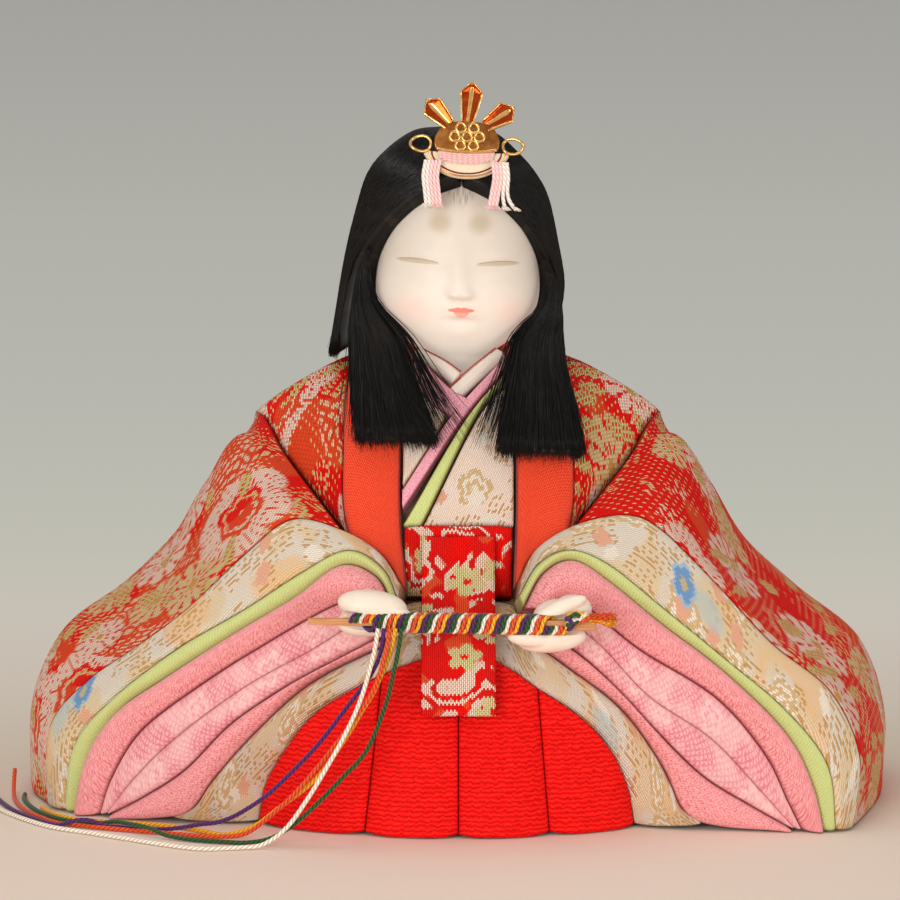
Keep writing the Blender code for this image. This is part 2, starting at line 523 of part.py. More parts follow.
def surface_through(guides, across):
    """Grid through guide curves of equal counts, smooth from guide to guide."""
    guides = np.asarray(guides)
    rows = [smooth_curve(guides[:, row], across) for row in range(guides.shape[1])]
    return np.asarray(rows)


def coons(bottom, top, left, right):
    """Grid filled in between four edge curves; rows run from bottom to top."""
    along = np.linspace(0, 1, len(left))[:, None, None]
    across = np.linspace(0, 1, len(bottom))[None, :, None]
    ruled = (1 - along) * bottom[None] + along * top[None]
    sided = (1 - across) * left[:, None] + across * right[:, None]
    corners = ((1 - along) * ((1 - across) * bottom[0] + across * bottom[-1])
               + along * ((1 - across) * top[0] + across * top[-1]))
    return ruled + sided - corners


def draw_in_edges(grid):
    """Move all four edges inwards by half a seam."""
    grid = grid.copy()
    for turn in (False, True):
        work = np.swapaxes(grid, 0, 1) if turn else grid
        for edge, inner in ((0, 1), (-1, -2)):
            step = work[:, inner] - work[:, edge]
            length = np.linalg.norm(step, axis=1, keepdims=True)
            share = np.minimum(SEAM / 2 / np.maximum(length, SEAM), 1 / 2)
            work[:, edge] = work[:, edge] + step * share
    return grid


def push(points, amount):
    """Move points straight away from the body's heart, but not down to the table."""
    away = points - HEART
    length = np.linalg.norm(away, axis=-1, keepdims=True)
    moved = points + away / length * np.broadcast_to(amount, points.shape[:-1])[..., None]
    return np.maximum(moved, [-np.inf, -np.inf, HEM_CLEARANCE])


def crown_profile(rows, columns, power):
    """Swelling from 0 at both long edges to 1 in the middle, on a grid."""
    place = np.abs(np.linspace(-1, 1, columns))
    return np.repeat((1 - place ** power)[None], rows, axis=0)


def solid_between(name, outer, inner, finish, group):
    """A closed solid between two grids with side walls."""
    rows, columns = outer.shape[:2]
    points = np.concatenate([outer.reshape(-1, 3), inner.reshape(-1, 3)])
    far = rows * columns
    faces = []
    for row in range(rows - 1):
        for column in range(columns - 1):
            corner = row * columns + column
            quad = (corner, corner + 1, corner + columns + 1, corner + columns)
            faces.append(quad)
            faces.append(tuple(far + index for index in reversed(quad)))
    rim = ([(0, column) for column in range(columns)]
           + [(row, columns - 1) for row in range(1, rows)]
           + [(rows - 1, column) for column in range(columns - 2, -1, -1)]
           + [(row, 0) for row in range(rows - 2, 0, -1)])
    rim = [row * columns + column for row, column in rim]
    for first, second in zip(rim, rim[1:] + rim[:1]):
        faces.append((second, first, far + first, far + second))
    return add_object(name, mesh_from_faces(name, points, faces), finish, group)


def cloth(name, grid, crown, power, thick, finish, group):
    """A padded cloth piece: it swells outwards and its edges sink into the grooves."""
    grid = draw_in_edges(grid)
    rows, columns = grid.shape[:2]
    swell = crown_profile(rows, columns, power)
    outer = push(grid, (crown + GROOVE) * swell - GROOVE)
    inner = push(grid, -thick)
    return solid_between(name, outer, inner, finish, group)


def loft_rings(name, rings, finish, group):
    """A closed solid through rings of equal counts, with flat ends."""
    rings = np.asarray(rings)
    count, sides = rings.shape[:2]
    points = rings.reshape(-1, 3)
    faces = [tuple(range(sides)), tuple(range((count - 1) * sides, count * sides))]
    for ring in range(count - 1):
        for side in range(sides):
            after = (side + 1) % sides
            faces.append((ring * sides + side, ring * sides + after,
                          (ring + 1) * sides + after, (ring + 1) * sides + side))
    return add_object(name, mesh_from_faces(name, points, faces), finish, group)


def cuff_depth(side, x, z):
    """Y of a sleeve opening's face at a place seen from the front."""
    sweep = LEFT_SWEEP if side == "left" else RIGHT_SWEEP
    outward = np.maximum(np.abs(x) - SWEEP_START, 0) / (HALF_WIDTH - SWEEP_START)
    lean = CUFF_LEAN * (np.maximum(z, 0) / CUFF_LEAN_HEIGHT) ** 2
    return -CUFF_FRONT + SWEEP_RATE * sweep * outward ** SWEEP_POWER + lean


def cuff_curve(side, shares, count, backset=0.0):
    """An edge of the sleeve opening as points in space."""
    sign = dict(SIDES)[side]
    flat = np.array([(sign * x * HALF_WIDTH, z * SHOULDER_HEIGHT) for x, z in shares])
    flat = smooth_curve(flat, count)
    y = cuff_depth(side, flat[:, 0], flat[:, 1]) + backset
    return np.column_stack([flat[:, 0], y, flat[:, 1]])


def body_curve(shares, count, sign=1):
    """A guide curve given as shares of the body's sizes."""
    points = np.array(shares) * BODY_SCALE * np.array([sign, 1, 1])
    return smooth_curve(points, count)


def trouser_depth(x, z):
    """Y of the trousers' front."""
    rounding = TROUSER_ROUND * (x / TROUSER_ROUND_WIDTH) ** 2
    slope = TROUSER_SLOPE * (z / LAP_HEIGHT) ** 2
    return -TROUSER_FRONT + rounding + slope


def chest_depth(x, z):
    """Y of the chest between the lapels."""
    rise = np.clip((z - CHEST_BASE) / (CHEST_TOP - CHEST_BASE), 0, None) ** CHEST_POWER
    return -CHEST_FRONT + CHEST_RISE * rise + x ** 2 / (2 * CHEST_RADIUS)


def make_sleeve_front(side, group):
    """The layered opening of one sleeve: cream, green, pink roll, lining and hem roll."""
    count = CUFF_POINT_COUNT
    edge = cuff_curve(side, CUFF_EDGE_SHARES[side], count, CREAM_BACKSET)
    cream = cuff_curve(side, CREAM_EDGE_SHARES[side], count)
    green = cuff_curve(side, GREEN_EDGE_SHARES[side], count)
    roll = cuff_curve(side, ROLL_EDGE_SHARES[side], count)
    fold = cuff_curve(side, FOLD_EDGE_SHARES[side], count)
    lining = cuff_curve(side, LINING_EDGE_SHARES[side], count)
    hem = cuff_curve(side, HEM_EDGE_SHARES[side], count)
    cloth("sleeve_cream_" + side, surface_through([edge, cream], 4), CREAM_CROWN, 4,
          CUFF_THICK, "cream_brocade", group)
    cloth("sleeve_green_" + side, surface_through([cream, green], 3), GREEN_CROWN, 2,
          CUFF_THICK, "green_silk", group)
    cloth("sleeve_roll_" + side, surface_through([green, roll], 5), ROLL_CROWN, 2,
          CUFF_THICK, "pink_crepe", group)
    upper = surface_through([roll, fold], 3)
    lower = surface_through([fold, lining], 3)
    grid = draw_in_edges(np.concatenate([upper, lower[:, 1:]], axis=1))
    swell = np.concatenate([crown_profile(count, 3, 2), crown_profile(count, 3, 2)[:, 1:]], axis=1)
    outer = push(grid, (LINING_CROWN + GROOVE) * swell - GROOVE)
    inner = push(grid, -CUFF_THICK)
    solid_between("sleeve_lining_" + side, outer, inner, "pale_pink_crepe", group)
    cloth("sleeve_hem_roll_" + side, surface_through([lining, hem], 4), HEM_CROWN, 2,
          CUFF_THICK, "pink_crepe", group)


def sleeve_outer_grid(side, columns):
    """The sleeve's outside, from the opening's edge round to the back seam."""
    sign = dict(SIDES)[side]
    front = cuff_curve(side, CUFF_EDGE_SHARES[side], CUFF_POINT_COUNT, CREAM_BACKSET)[LAPEL_POINT_COUNT:]
    rows = len(front)
    ridge = body_curve(RIDGE_SHARES, rows, sign)
    bend = body_curve(BACK_BEND_SHARES, rows, sign)
    seam = body_curve(BACK_SEAM_SHARES, rows, sign)
    return surface_through([front, ridge, bend, seam], columns)


def jacket_back_grid(rows, columns):
    """The jacket's back, from the left seam over the middle to the right seam."""
    guides = [body_curve(BACK_SEAM_SHARES, rows, -1), body_curve(BACK_QUARTER_SHARES, rows, -1),
              body_curve(BACK_CENTRE_SHARES, rows), body_curve(BACK_QUARTER_SHARES, rows),
              body_curve(BACK_SEAM_SHARES, rows)]
    quarter = (columns - 1) // 4
    parts = []
    guides = np.asarray(guides)
    for row in range(rows):
        fine = smooth_curve(guides[:, row], 4 * FINE_STEP_COUNT * 4 + 1)
        marks = [int(np.argmin(np.linalg.norm(fine - guide, axis=1))) for guide in guides[:, row]]
        picks = [np.linspace(first, last, quarter + 1)[:-1] for first, last in zip(marks, marks[1:])]
        picks = np.concatenate(picks + [[marks[-1]]]).round().astype(int)
        parts.append(fine[picks])
    return np.asarray(parts)


def make_jacket(group):
    """Back, fronts, outer sleeves and the lapels round the neck."""
    quarter = 3
    back = jacket_back_grid(CUFF_POINT_COUNT - LAPEL_POINT_COUNT, 4 * quarter + 1)
    cloth("jacket_back", back, JACKET_CROWN, 8, CLOTH_THICK, "red_brocade", group)
    for side, sign in SIDES:
        sleeve = sleeve_outer_grid(side, 9)
        cloth("sleeve_outer_" + side, sleeve, JACKET_CROWN, 8, CLOTH_THICK, "red_brocade", group)
        top = back[0] if sign < 0 else back[0][::-1]
        shoulder = top[quarter::-1]
        neck = top[quarter + 1: 2 * quarter + 1]
        opening = cuff_curve(side, CUFF_EDGE_SHARES[side], CUFF_POINT_COUNT, CREAM_BACKSET)
        foot = HEART + (opening[LAPEL_POINT_COUNT::-1] - HEART) * LAPEL_FOOT_SHARE
        crease = push(sleeve[0], -np.linspace(JACKET_SINK, 0, sleeve.shape[1]))
        edge = np.array(LAPEL_OUTER_SHARES) * BODY_SCALE * np.array([sign, 1, 1])
        edge = smooth_curve(np.concatenate([foot[:1], edge[1:]]), sleeve.shape[1] + 1)
        bottom = np.linspace(edge[1], crease[0], len(shoulder))
        front = coons(bottom, shoulder, edge[1:], crease)
        cloth("jacket_front_" + side, front, JACKET_CROWN, 4, CLOTH_THICK, "red_brocade", group)
        outer = np.concatenate([edge, neck])
        inner = np.array(LAPEL_INNER_SHARES) * BODY_SCALE * np.array([sign, 1, 1])
        inner = smooth_curve(np.concatenate([foot[-1:], inner[1:]]), len(outer))
        nape = np.linspace(outer[-1], inner[-1], len(foot))
        cloth("lapel_" + side, coons(foot, nape, outer, inner), LAPEL_CROWN, 4, CLOTH_THICK,
              "orange_crepe", group)


def lap_curve(side, count):
    """Edge between the trousers and the kimono's front, from the lap's middle to the floor."""
    sign = dict(SIDES)[side]
    flat = np.array([(sign * x * HALF_WIDTH, z * SHOULDER_HEIGHT)
                     for x, z in LAP_EDGE_SHARES[side]])
    flat = smooth_curve(flat, count)
    return np.column_stack([flat[:, 0], trouser_depth(flat[:, 0], flat[:, 1]), flat[:, 1]])


def make_kimono_front(group):
    """The cream fronts that frame the trousers and close under the sash."""
    for side, sign in SIDES:
        start = np.array(LAP_START_SHARES) * BODY_SCALE * np.array([sign, 1, 1])
        hem = cuff_curve(side, HEM_EDGE_SHARES[side], CUFF_POINT_COUNT)
        falling = int(np.sum(hem[:, 2] > HEM_TURN)) + 1
        outer = np.concatenate([start, hem[:falling]])
        inner = lap_curve(side, len(outer))
        cloth("kimono_front_" + side, surface_through([outer, inner], 4), EDGE_CROWN, 3,
              CLOTH_THICK, "cream_brocade", group)


def lap_top(x):
    """Height of the trousers' upper edge at a place across them."""
    right = lap_curve("right", 40)
    left = lap_curve("left", 40)
    edge = np.concatenate([left[::-1], right[1:]])
    return np.interp(x, edge[:, 0], edge[:, 2])


def make_trousers(group):
    """Four pleated panels side by side."""
    right_foot, low_share = LAP_EDGE_SHARES["right"][-1]
    left_foot = LAP_EDGE_SHARES["left"][-1][0]
    low = low_share * SHOULDER_HEIGHT
    foot_marks = (np.array(PLEAT_FOOT_SHARES) * (left_foot + right_foot) - left_foot) * HALF_WIDTH
    top_marks = (np.array(PLEAT_TOP_SHARES) * (left_foot + right_foot) - left_foot) * HALF_WIDTH
    top_marks[[0, -1]] *= OUTER_PLEAT_SHARE
    for panel in range(len(foot_marks) - 1):
        rows = []
        for rise in np.linspace(0, 1, 7):
            marks = foot_marks + (top_marks - foot_marks) * rise
            x = np.linspace(marks[panel], marks[panel + 1], 6)
            z = low + (lap_top(x) - low) * rise
            rows.append(np.column_stack([x, trouser_depth(x, z), z]))
        cloth("trouser_panel_%d" % (panel + 1), np.asarray(rows), TROUSER_CROWN, 3,
              TROUSER_THICK, "red_crepe", group)


def chest_strip(first, second, along, across):
    """A strip on the chest between two edges seen from the front."""
    edges = []
    for shares in (first, second):
        flat = np.array([(x * HALF_WIDTH, z * SHOULDER_HEIGHT) for x, z in shares])
        edges.append(smooth_curve(flat, along))
    rows = np.linspace(edges[0], edges[1], across, axis=1)
    y = chest_depth(rows[..., 0], rows[..., 1])
    return np.stack([rows[..., 0], y, rows[..., 1]], axis=-1)


def make_chest(group):
    """Collars, chest panels, sash and its hanging end."""
    finishes = {"white": "white_silk", "pink": "pink_crepe", "green": "green_silk",
                "panel": "cream_brocade"}
    for name, (first, second) in COLLAR_SHARES.items():
        finish = [value for key, value in finishes.items() if key in name][0]
        cloth(name, chest_strip(first, second, 6, 3), COLLAR_CROWN, 4, COLLAR_THICK, finish, group)
    sash_top = CHEST_LOW_SHARE * SHOULDER_HEIGHT - SEAM
    reach = SASH_REACH_SHARE * HALF_WIDTH
    rows = []
    for z in np.linspace(SASH_BOTTOM, sash_top, 4):
        x = np.linspace(-reach, reach, 9)
        y = chest_depth(x, z) - SASH_CROWN
        rows.append(np.column_stack([x, y, np.full_like(x, z)]))
    cloth("obi_sash", np.asarray(rows), SASH_CROWN, 6, CLOTH_THICK, "red_brocade", group)
    line = smooth_curve(np.array([(y * HALF_DEPTH, z * SHOULDER_HEIGHT) for y, z in TAB_SHARES]), 10)
    x = np.linspace(-TAB_HALF_WIDTH, TAB_HALF_WIDTH, 5)
    grid = np.array([[(place, y, z) for place in x] for y, z in line])
    cloth("sash_end", grid, 0.0, 4, TAB_THICK, "red_brocade", group)


def head_frame():
    """Frame at the neck, leaning with the head."""
    return (Matrix.Translation((NECK_SIDE, 0, NECK_HEIGHT))
            @ Matrix.Rotation(HEAD_LEAN, 4, "Y"))


def in_world(points, frame):
    """Points of a local frame in the world."""
    matrix = np.array(frame)
    return points @ matrix[:3, :3].T + matrix[:3, 3]


def profile_at(shares, place):
    """Value of a table of shares at a place, read from a smooth curve through it."""
    fine = smooth_curve(shares, PROFILE_POINT_COUNT)
    order = np.argsort(fine[:, 0])
    return np.interp(place, fine[order, 0], fine[order, 1])


def face_radius(direction):
    """Distance from the face's centre to its skin: a plump egg with a rounded chin."""
    x, y, z = direction[..., 0], direction[..., 1], direction[..., 2]
    tall = np.where(z > 0, FACE_TOP, FACE_BOTTOM)
    radius = 1 / np.sqrt((x / FACE_HALF_WIDTH) ** 2 + (y / FACE_HALF_DEPTH) ** 2 + (z / tall) ** 2)
    cheek = CHEEK_SHARE * np.exp(-((z + CHEEK_DROP) / CHEEK_DROP) ** 2)
    nose = np.exp(-(x / NOSE_HALF_WIDTH) ** 2 - ((z + NOSE_DROP) / NOSE_HALF_HEIGHT) ** 2) * (y < 0)
    return radius * (1 + cheek) + nose * NOSE_LENGTH


def face_centre():
    """Centre of the face in the head's frame."""
    return np.array([0, -FACE_CENTRE_FORWARD, FACE_CENTRE_HEIGHT])


def make_head(parts, cutters):
    """Head with its neck, bored for the peg."""
    frame = head_frame()
    sides = 22
    turns = np.linspace(0, 2 * math.pi, sides, endpoint=False)
    neck = NECK_RADIUS * np.column_stack([np.sin(turns), -np.cos(turns), np.zeros(sides)])
    rings = [neck, neck + [0, 0, NECK_RADIUS / 2]]
    for tilt in np.radians(np.linspace(-60, 84, 12)):
        direction = np.column_stack([math.cos(tilt) * np.sin(turns), -math.cos(tilt) * np.cos(turns),
                                     np.full(sides, math.sin(tilt))])
        rings.append(face_centre() + direction * face_radius(direction)[:, None])
    head = loft_rings("head", [in_world(ring, frame) for ring in rings], "shell_white", parts)
    wide = PEG_RADIUS + PEG_CLEARANCE
    bore(head, round_bar("head_bore", wide, wide, -BORE_OVERRUN, PEG_UP + PEG_CLEARANCE, frame), cutters)
    peg = round_bar("neck_peg", PEG_TIP_RADIUS, PEG_RADIUS, -PEG_DOWN, PEG_UP, frame)
    return add_object(peg.name, peg, "peg_wood", parts)


def round_bar(name, low_radius, high_radius, low, high, frame):
    """Mesh of a round bar along a frame's Z axis."""
    work = bmesh.new()
    bmesh.ops.create_cone(work, cap_ends=True, segments=20, radius1=low_radius,
                          radius2=high_radius, depth=high - low)
    bmesh.ops.translate(work, verts=work.verts, vec=(0, 0, (low + high) / 2))
    bmesh.ops.transform(work, verts=work.verts, matrix=frame)
    mesh = bpy.data.meshes.new(name)
    work.to_mesh(mesh)
    work.free()
    return mesh


def bore(target, mesh, cutters):
    """Cut a mesh out of an object."""
    cutter = add_cutter(mesh, cutters)
    cut = target.modifiers.new("bore", "BOOLEAN")
    cut.operation = "DIFFERENCE"
    cut.object = cutter


def add_cutter(mesh, cutters):
    """A hidden helper object."""
    cutter = bpy.data.objects.new(mesh.name, mesh)
    cutter.hide_render = True
    cutter.display_type = "WIRE"
    cutters.objects.link(cutter)
    return cutter


def wig_points(side, rise, wide, columns):
    """One level of the wig's outside, from its front edge round to the parting behind."""
    sign = dict(SIDES)[side]
    half = HAIR_LEFT if side == "left" else HAIR_RIGHT
    first = np.interp(rise, *np.array(HAIRLINE_SHARES).T)
    turns = np.linspace(first, 1, columns)
    behind = turns > 1 / 2
    deep = np.where(behind, HAIR_BACK * profile_at(HAIR_BACK_SHARES, rise),
                    HAIR_FRONT * profile_at(HAIR_FRONT_SHARES, rise))
    x = np.maximum(half * wide * np.sin(turns * math.pi), SEAM / 2)
    y = -deep * np.cos(turns * math.pi)
    low = np.clip((HAIR_LOW_SHARE - rise) / HAIR_LOW_SHARE, 0, 1)
    lift = (HAIR_NAPE_SHARE - HAIR_SIDE_SHARES[side][-1][0]) * low * np.clip(2 * turns - 1, 0, 1)
    return np.column_stack([sign * x, y, (rise + lift) * HAIR_HEIGHT])


def make_wig(group):
    """Two halves of the wig from the parting down, hollow over the head."""
    for side, sign in SIDES:
        levels = smooth_curve(HAIR_SIDE_SHARES[side], 12)
        levels[0] = HAIR_SIDE_SHARES[side][0]
        grid = np.asarray([wig_points(side, rise, wide, 9) for rise, wide in levels])
        grid[0] = (sign * SEAM / 2, 0, HAIR_HEIGHT)
        away = grid - face_centre()
        length = np.linalg.norm(away, axis=-1, keepdims=True)
        direction = away / length
        skin = face_radius(direction)[..., None] + HAIR_GAP
        inner = face_centre() + direction * np.minimum(skin, length - HAIR_GAP)
        solid_between("hair_" + side, in_world(grid, head_frame()), in_world(inner, head_frame()),
                      "black_hair", group)


def back_depth(x, z):
    """Y of the jacket's back at a place seen from behind."""
    centre = body_curve(BACK_CENTRE_SHARES, PROFILE_POINT_COUNT)[::-1]
    quarter = body_curve(BACK_QUARTER_SHARES, PROFILE_POINT_COUNT)[::-1]
    middle = np.interp(z, centre[:, 2], centre[:, 1])
    side = np.interp(z, quarter[:, 2], quarter[:, 1])
    return middle + (side - middle) * (x / np.interp(z, quarter[:, 2], quarter[:, 0])) ** 2


def make_long_hair(group):
    """Front locks, and the long hair down the back."""
    scale = np.array([FACE_HALF_WIDTH, FACE_HALF_DEPTH, FACE_CENTRE_HEIGHT, FACE_HALF_WIDTH,
                      LOCK_THICK])
    turns = np.linspace(0, 2 * math.pi, 10, endpoint=False)
    for side, shares in LOCK_SHARES.items():
        rings = []
        for x, y, z, wide, thick in smooth_curve(shares, 9) * scale:
            y = min(y, chest_depth(0, NECK_HEIGHT + z) - LOCK_STANDOFF - thick)
            ring = np.column_stack([x + wide * np.cos(turns), y + thick * np.sin(turns),
                                    np.full(len(turns), z)])
            rings.append(in_world(ring, head_frame()))
        loft_rings("side_lock_" + side, rings, "black_hair", group)
    inner = []
    outer = []
    for fall in np.linspace(0, 1, 10):
        z = BACK_HAIR_TOP + (BACK_HAIR_END - BACK_HAIR_TOP) * fall
        place = np.linspace(-1, 1, 9)
        x = place * BACK_HAIR_HALF_WIDTH * (1 + (BACK_HAIR_END_SHARE - 1) * fall)
        y = back_depth(x, z) + JACKET_CROWN + BACK_HAIR_GAP
        y = np.maximum(y, HAIR_BACK - BACK_HAIR_THICK)
        thick = BACK_HAIR_THICK * (1 - (1 - BACK_HAIR_EDGE_SHARE) * place ** 4)
        inner.append(np.column_stack([x, y, np.full_like(x, z)]))
        outer.append(np.column_stack([x, y + thick, np.full_like(x, z)]))
    solid_between("hair_back", np.asarray(outer), np.asarray(inner), "black_hair", group)


def crown_frame():
    """Frame of the crown: X across, Y up along the plate, Z to the front."""
    return (head_frame() @ Matrix.Translation((CROWN_SIDE, -CROWN_FORWARD, CROWN_BASE))
            @ Matrix.Rotation(math.pi / 2 - CROWN_LEAN, 4, "X"))


def flat_piece(name, outline, thick, frame, finish, group):
    """A flat outline with a thickness, centred on a frame's XY plane."""
    curve = bpy.data.curves.new(name, "CURVE")
    curve.dimensions = "2D"
    curve.fill_mode = "BOTH"
    curve.extrude = thick / 2
    spline = curve.splines.new("POLY")
    spline.points.add(len(outline) - 1)
    for point, (x, y) in zip(spline.points, outline):
        point.co = (x, y, 0, 1)
    spline.use_cyclic_u = True
    item = add_object(name, curve, finish, group)
    item.matrix_world = frame
    return item


def wire(name, points, thick, closed, finish, group):
    """A round wire or cord along points."""
    curve = bpy.data.curves.new(name, "CURVE")
    curve.dimensions = "3D"
    curve.bevel_depth = thick / 2
    curve.bevel_resolution = 2
    curve.use_fill_caps = not closed
    spline = curve.splines.new("POLY")
    spline.points.add(len(points) - 1)
    for point, place in zip(spline.points, points):
        point.co = (*place, 1)
    spline.use_cyclic_u = closed
    return add_object(name, curve, finish, group)


def plate_outline():
    """Crown plate seen from the front: a bowl with three kite-shaped prongs."""
    size = np.array([PLATE_WIDTH, PLATE_HEIGHT])
    left = np.array(PLATE_LEFT_SHARES) * size
    prongs = []
    leans = (LEFT_PRONG_LEAN, PRONG_LEAN, RIGHT_PRONG_LEAN)
    lengths = (SIDE_PRONG_LENGTH, PRONG_LENGTH, SIDE_PRONG_LENGTH)
    for (across, up), lean, length in zip(PRONG_PLACE_SHARES, leans, lengths):
        for side, along in PRONG_SHARES:
            root = along == 0
            wide = PRONG_ROOT_WIDTH if root else PRONG_TIP_WIDTH
            x = side * wide * math.cos(lean) + along * length * math.sin(lean)
            y = -side * wide * math.sin(lean) + along * length * math.cos(lean)
            prongs.append((across * PLATE_WIDTH + x, up * PLATE_HEIGHT + y))
    right = left[::-1] * [-1, 1]
    return np.concatenate([left, prongs, right])


def make_crown(parts):
    """Padded base, band, gilt plate with its rings and loops, and two ribbons."""
    frame = crown_frame()
    pad = np.array(PAD_SHARES) * [PAD_WIDTH, PAD_DROP]
    flat_piece("crown_pad", pad, PAD_THICK, frame @ Matrix.Translation((0, 0, PAD_THICK / 2)),
               "cream_brocade", parts)
    front = PAD_THICK + CROWN_GAP
    band = np.array(BAND_SHARES) * [BAND_WIDTH, BAND_DROP] + [0, PAD_DROP - BAND_DROP]
    flat_piece("crown_band", band, BAND_THICK,
               frame @ Matrix.Translation((0, 0, front + BAND_THICK / 2)), "pale_pink_crepe", parts)
    foot = PAD_DROP - CROWN_GAP
    plate = frame @ Matrix.Translation((0, foot, front + PLATE_THICK / 2))
    flat_piece("crown_plate", plate_outline(), PLATE_THICK, plate, "gilt", parts)
    make_rings(frame @ Matrix.Translation((0, foot, front + PLATE_THICK + CROWN_GAP)), parts)
    turns = np.linspace(0, 2 * math.pi, 16, endpoint=False)
    for side, sign in SIDES:
        loop = np.column_stack([LOOP_HALF_WIDTH * np.cos(turns), LOOP_HALF_HEIGHT * np.sin(turns),
                                np.zeros(len(turns))])
        across, up = LOOP_PLACE_SHARES
        loop += [sign * (across * PLATE_WIDTH + LOOP_HALF_WIDTH / 2), up * PLATE_HEIGHT, 0]
        wire("crown_loop_" + side, in_world(loop, plate), LOOP_WIRE * 2, True, "gilt", parts)
        rows = []
        for across, ahead, fall in smooth_curve(RIBBON_BEND_SHARES, 7):
            x = sign * (RIBBON_SPREAD + across * RIBBON_WIDTH)
            x = np.linspace(x - RIBBON_WIDTH / 2, x + RIBBON_WIDTH / 2, 4)
            y = -CROWN_FORWARD - PAD_THICK - CROWN_GAP - ahead * RIBBON_WIDTH
            z = CROWN_BASE + PAD_DROP * RIBBON_START_SHARE - fall * RIBBON_LENGTH
            rows.append(np.column_stack([x + CROWN_SIDE, np.full_like(x, y), np.full_like(x, z)]))
        back = np.asarray(rows)
        ahead = back - [0, RIBBON_THICK, 0]
        solid_between("crown_ribbon_" + side, in_world(ahead, head_frame()),
                      in_world(back, head_frame()), "pale_pink_crepe", parts)


def ring_relief(x, y):
    """Height of the rings pressed into the crown's plaque at a place on it."""
    height = np.zeros_like(x)
    for across, up in RING_PLACE_SHARES:
        far = np.hypot(x - across * RING_SPACING, y - up * RING_SPACING - PLATE_HEIGHT / 2)
        height = np.maximum(height, RING_RELIEF * np.exp(-((far - RING_RADIUS) / RING_WIRE) ** 2))
    return height


def make_rings(frame, group):
    """A gilt plaque with a cluster of rings in relief, on the crown's plate."""
    rows = []
    for up, half in smooth_curve(PLAQUE_SHARES, 11):
        x = np.linspace(-half, half, 15) * PLATE_WIDTH
        y = np.full_like(x, up * PLATE_HEIGHT)
        rows.append(np.column_stack([x, y, PLATE_THICK + ring_relief(x, y)]))
    front = np.asarray(rows)
    solid_between("crown_rings", in_world(front, frame), in_world(front * [1, 1, 0], frame), "gilt",
                  group)


def fan_frame():
    """Frame of the closed fan: X along it, Z up."""
    return (Matrix.Translation((FAN_SIDE, -FAN_FORWARD, FAN_HEIGHT))
            @ Matrix.Rotation(FAN_DIP, 4, "Y"))


def make_hands(group):
    """Two hands curled round the fan, open to the front."""
    arc = np.linspace(GRIP_OPENING, 2 * math.pi - GRIP_OPENING, 9)
    for side, place in (("left", LEFT_HAND_PLACE), ("right", RIGHT_HAND_PLACE)):
        inner = []
        outer = []
        for along, rise, drop, reach in smooth_curve(HAND_SHARES[side], 8):
            x = np.full(len(arc), place + along * HAND_LENGTH)
            inner.append(np.column_stack([x, -GRIP_RADIUS * np.cos(arc), GRIP_RADIUS * np.sin(arc)]))
            tall = np.where(np.sin(arc) > 0, rise, drop) * HAND_RISE
            deep = np.where(np.cos(arc) < 0, reach, HAND_LIP_SHARE) * HAND_RISE
            outer.append(np.column_stack([x, -deep * np.cos(arc), tall * np.sin(arc)]))
        solid_between("hand_" + side, in_world(np.asarray(outer), fan_frame()),
                      in_world(np.asarray(inner), fan_frame()), "shell_white", group)


def make_fan(group):
    """Closed fan of two outer blades, bound with a band of five cords."""
    frame = fan_frame()
    apart = (FAN_BLADE_THICK + FAN_BLADE_GAP) / 2
    for name, sign in (("fan_blade_front", -1), ("fan_blade_back", 1)):
        work = bmesh.new()
        bmesh.ops.create_cube(work, size=1)
        bmesh.ops.scale(work, verts=work.verts, vec=(FAN_LENGTH, FAN_BLADE_THICK, FAN_BLADE_HEIGHT))
        for vert in work.verts:
            if vert.co.x < 0:
                vert.co.z *= BLADE_TIP_SHARE
        mesh = bpy.data.meshes.new(name)
        work.to_mesh(mesh)
        work.free()
        blade = add_object(name, mesh, "fan_wood", group)
        blade.matrix_world = frame @ Matrix.Translation((0, sign * apart, 0))
        edge = blade.modifiers.new("edge", "BEVEL")
        edge.width = FAN_BLADE_EDGE
        edge.segments = 2
    deep = FAN_BLADE_THICK + FAN_BLADE_GAP / 2 + WRAP_GAP + WRAP_THICK / 2
    tall = FAN_BLADE_HEIGHT / 2 + WRAP_GAP + WRAP_THICK / 2
    turns = np.linspace(0, 2 * math.pi * WRAP_LOOP_COUNT, WRAP_LOOP_COUNT * WRAP_STEP_COUNT + 1)
    rings = []
    for turn in turns:
        across = math.copysign(abs(math.cos(turn)) ** WRAP_CORNER_SHARE, -math.cos(turn))
        up = math.copysign(abs(math.sin(turn)) ** WRAP_CORNER_SHARE, math.sin(turn))
        middle = np.array([WRAP_START + WRAP_PITCH * turn / (2 * math.pi), deep * across, tall * up])
        out = np.array([0, across * tall, up * deep])
        out = out / np.linalg.norm(out) * WRAP_THICK / 2
        side = np.array([WRAP_BAND / 2, 0, 0])
        rings.append(np.array([middle - side - out, middle + side - out, middle + side + out,
                               middle - side + out]))
    rings = np.asarray(rings)
    loft_rings("fan_cord_wrap", in_world(rings, frame), "wrapped_cord", group)
    return least_gap(rings)


def least_gap(rings):
    """Least distance between one loop of the winding and the next, measured on points."""
    trailing = rings[WRAP_STEP_COUNT:, (0, 3)].reshape(-1, 3)
    leading = rings[:-WRAP_STEP_COUNT, (1, 2)].reshape(-1, 3)
    apart = np.linalg.norm(trailing[:, None] - leading[None], axis=-1)
    return apart.min()


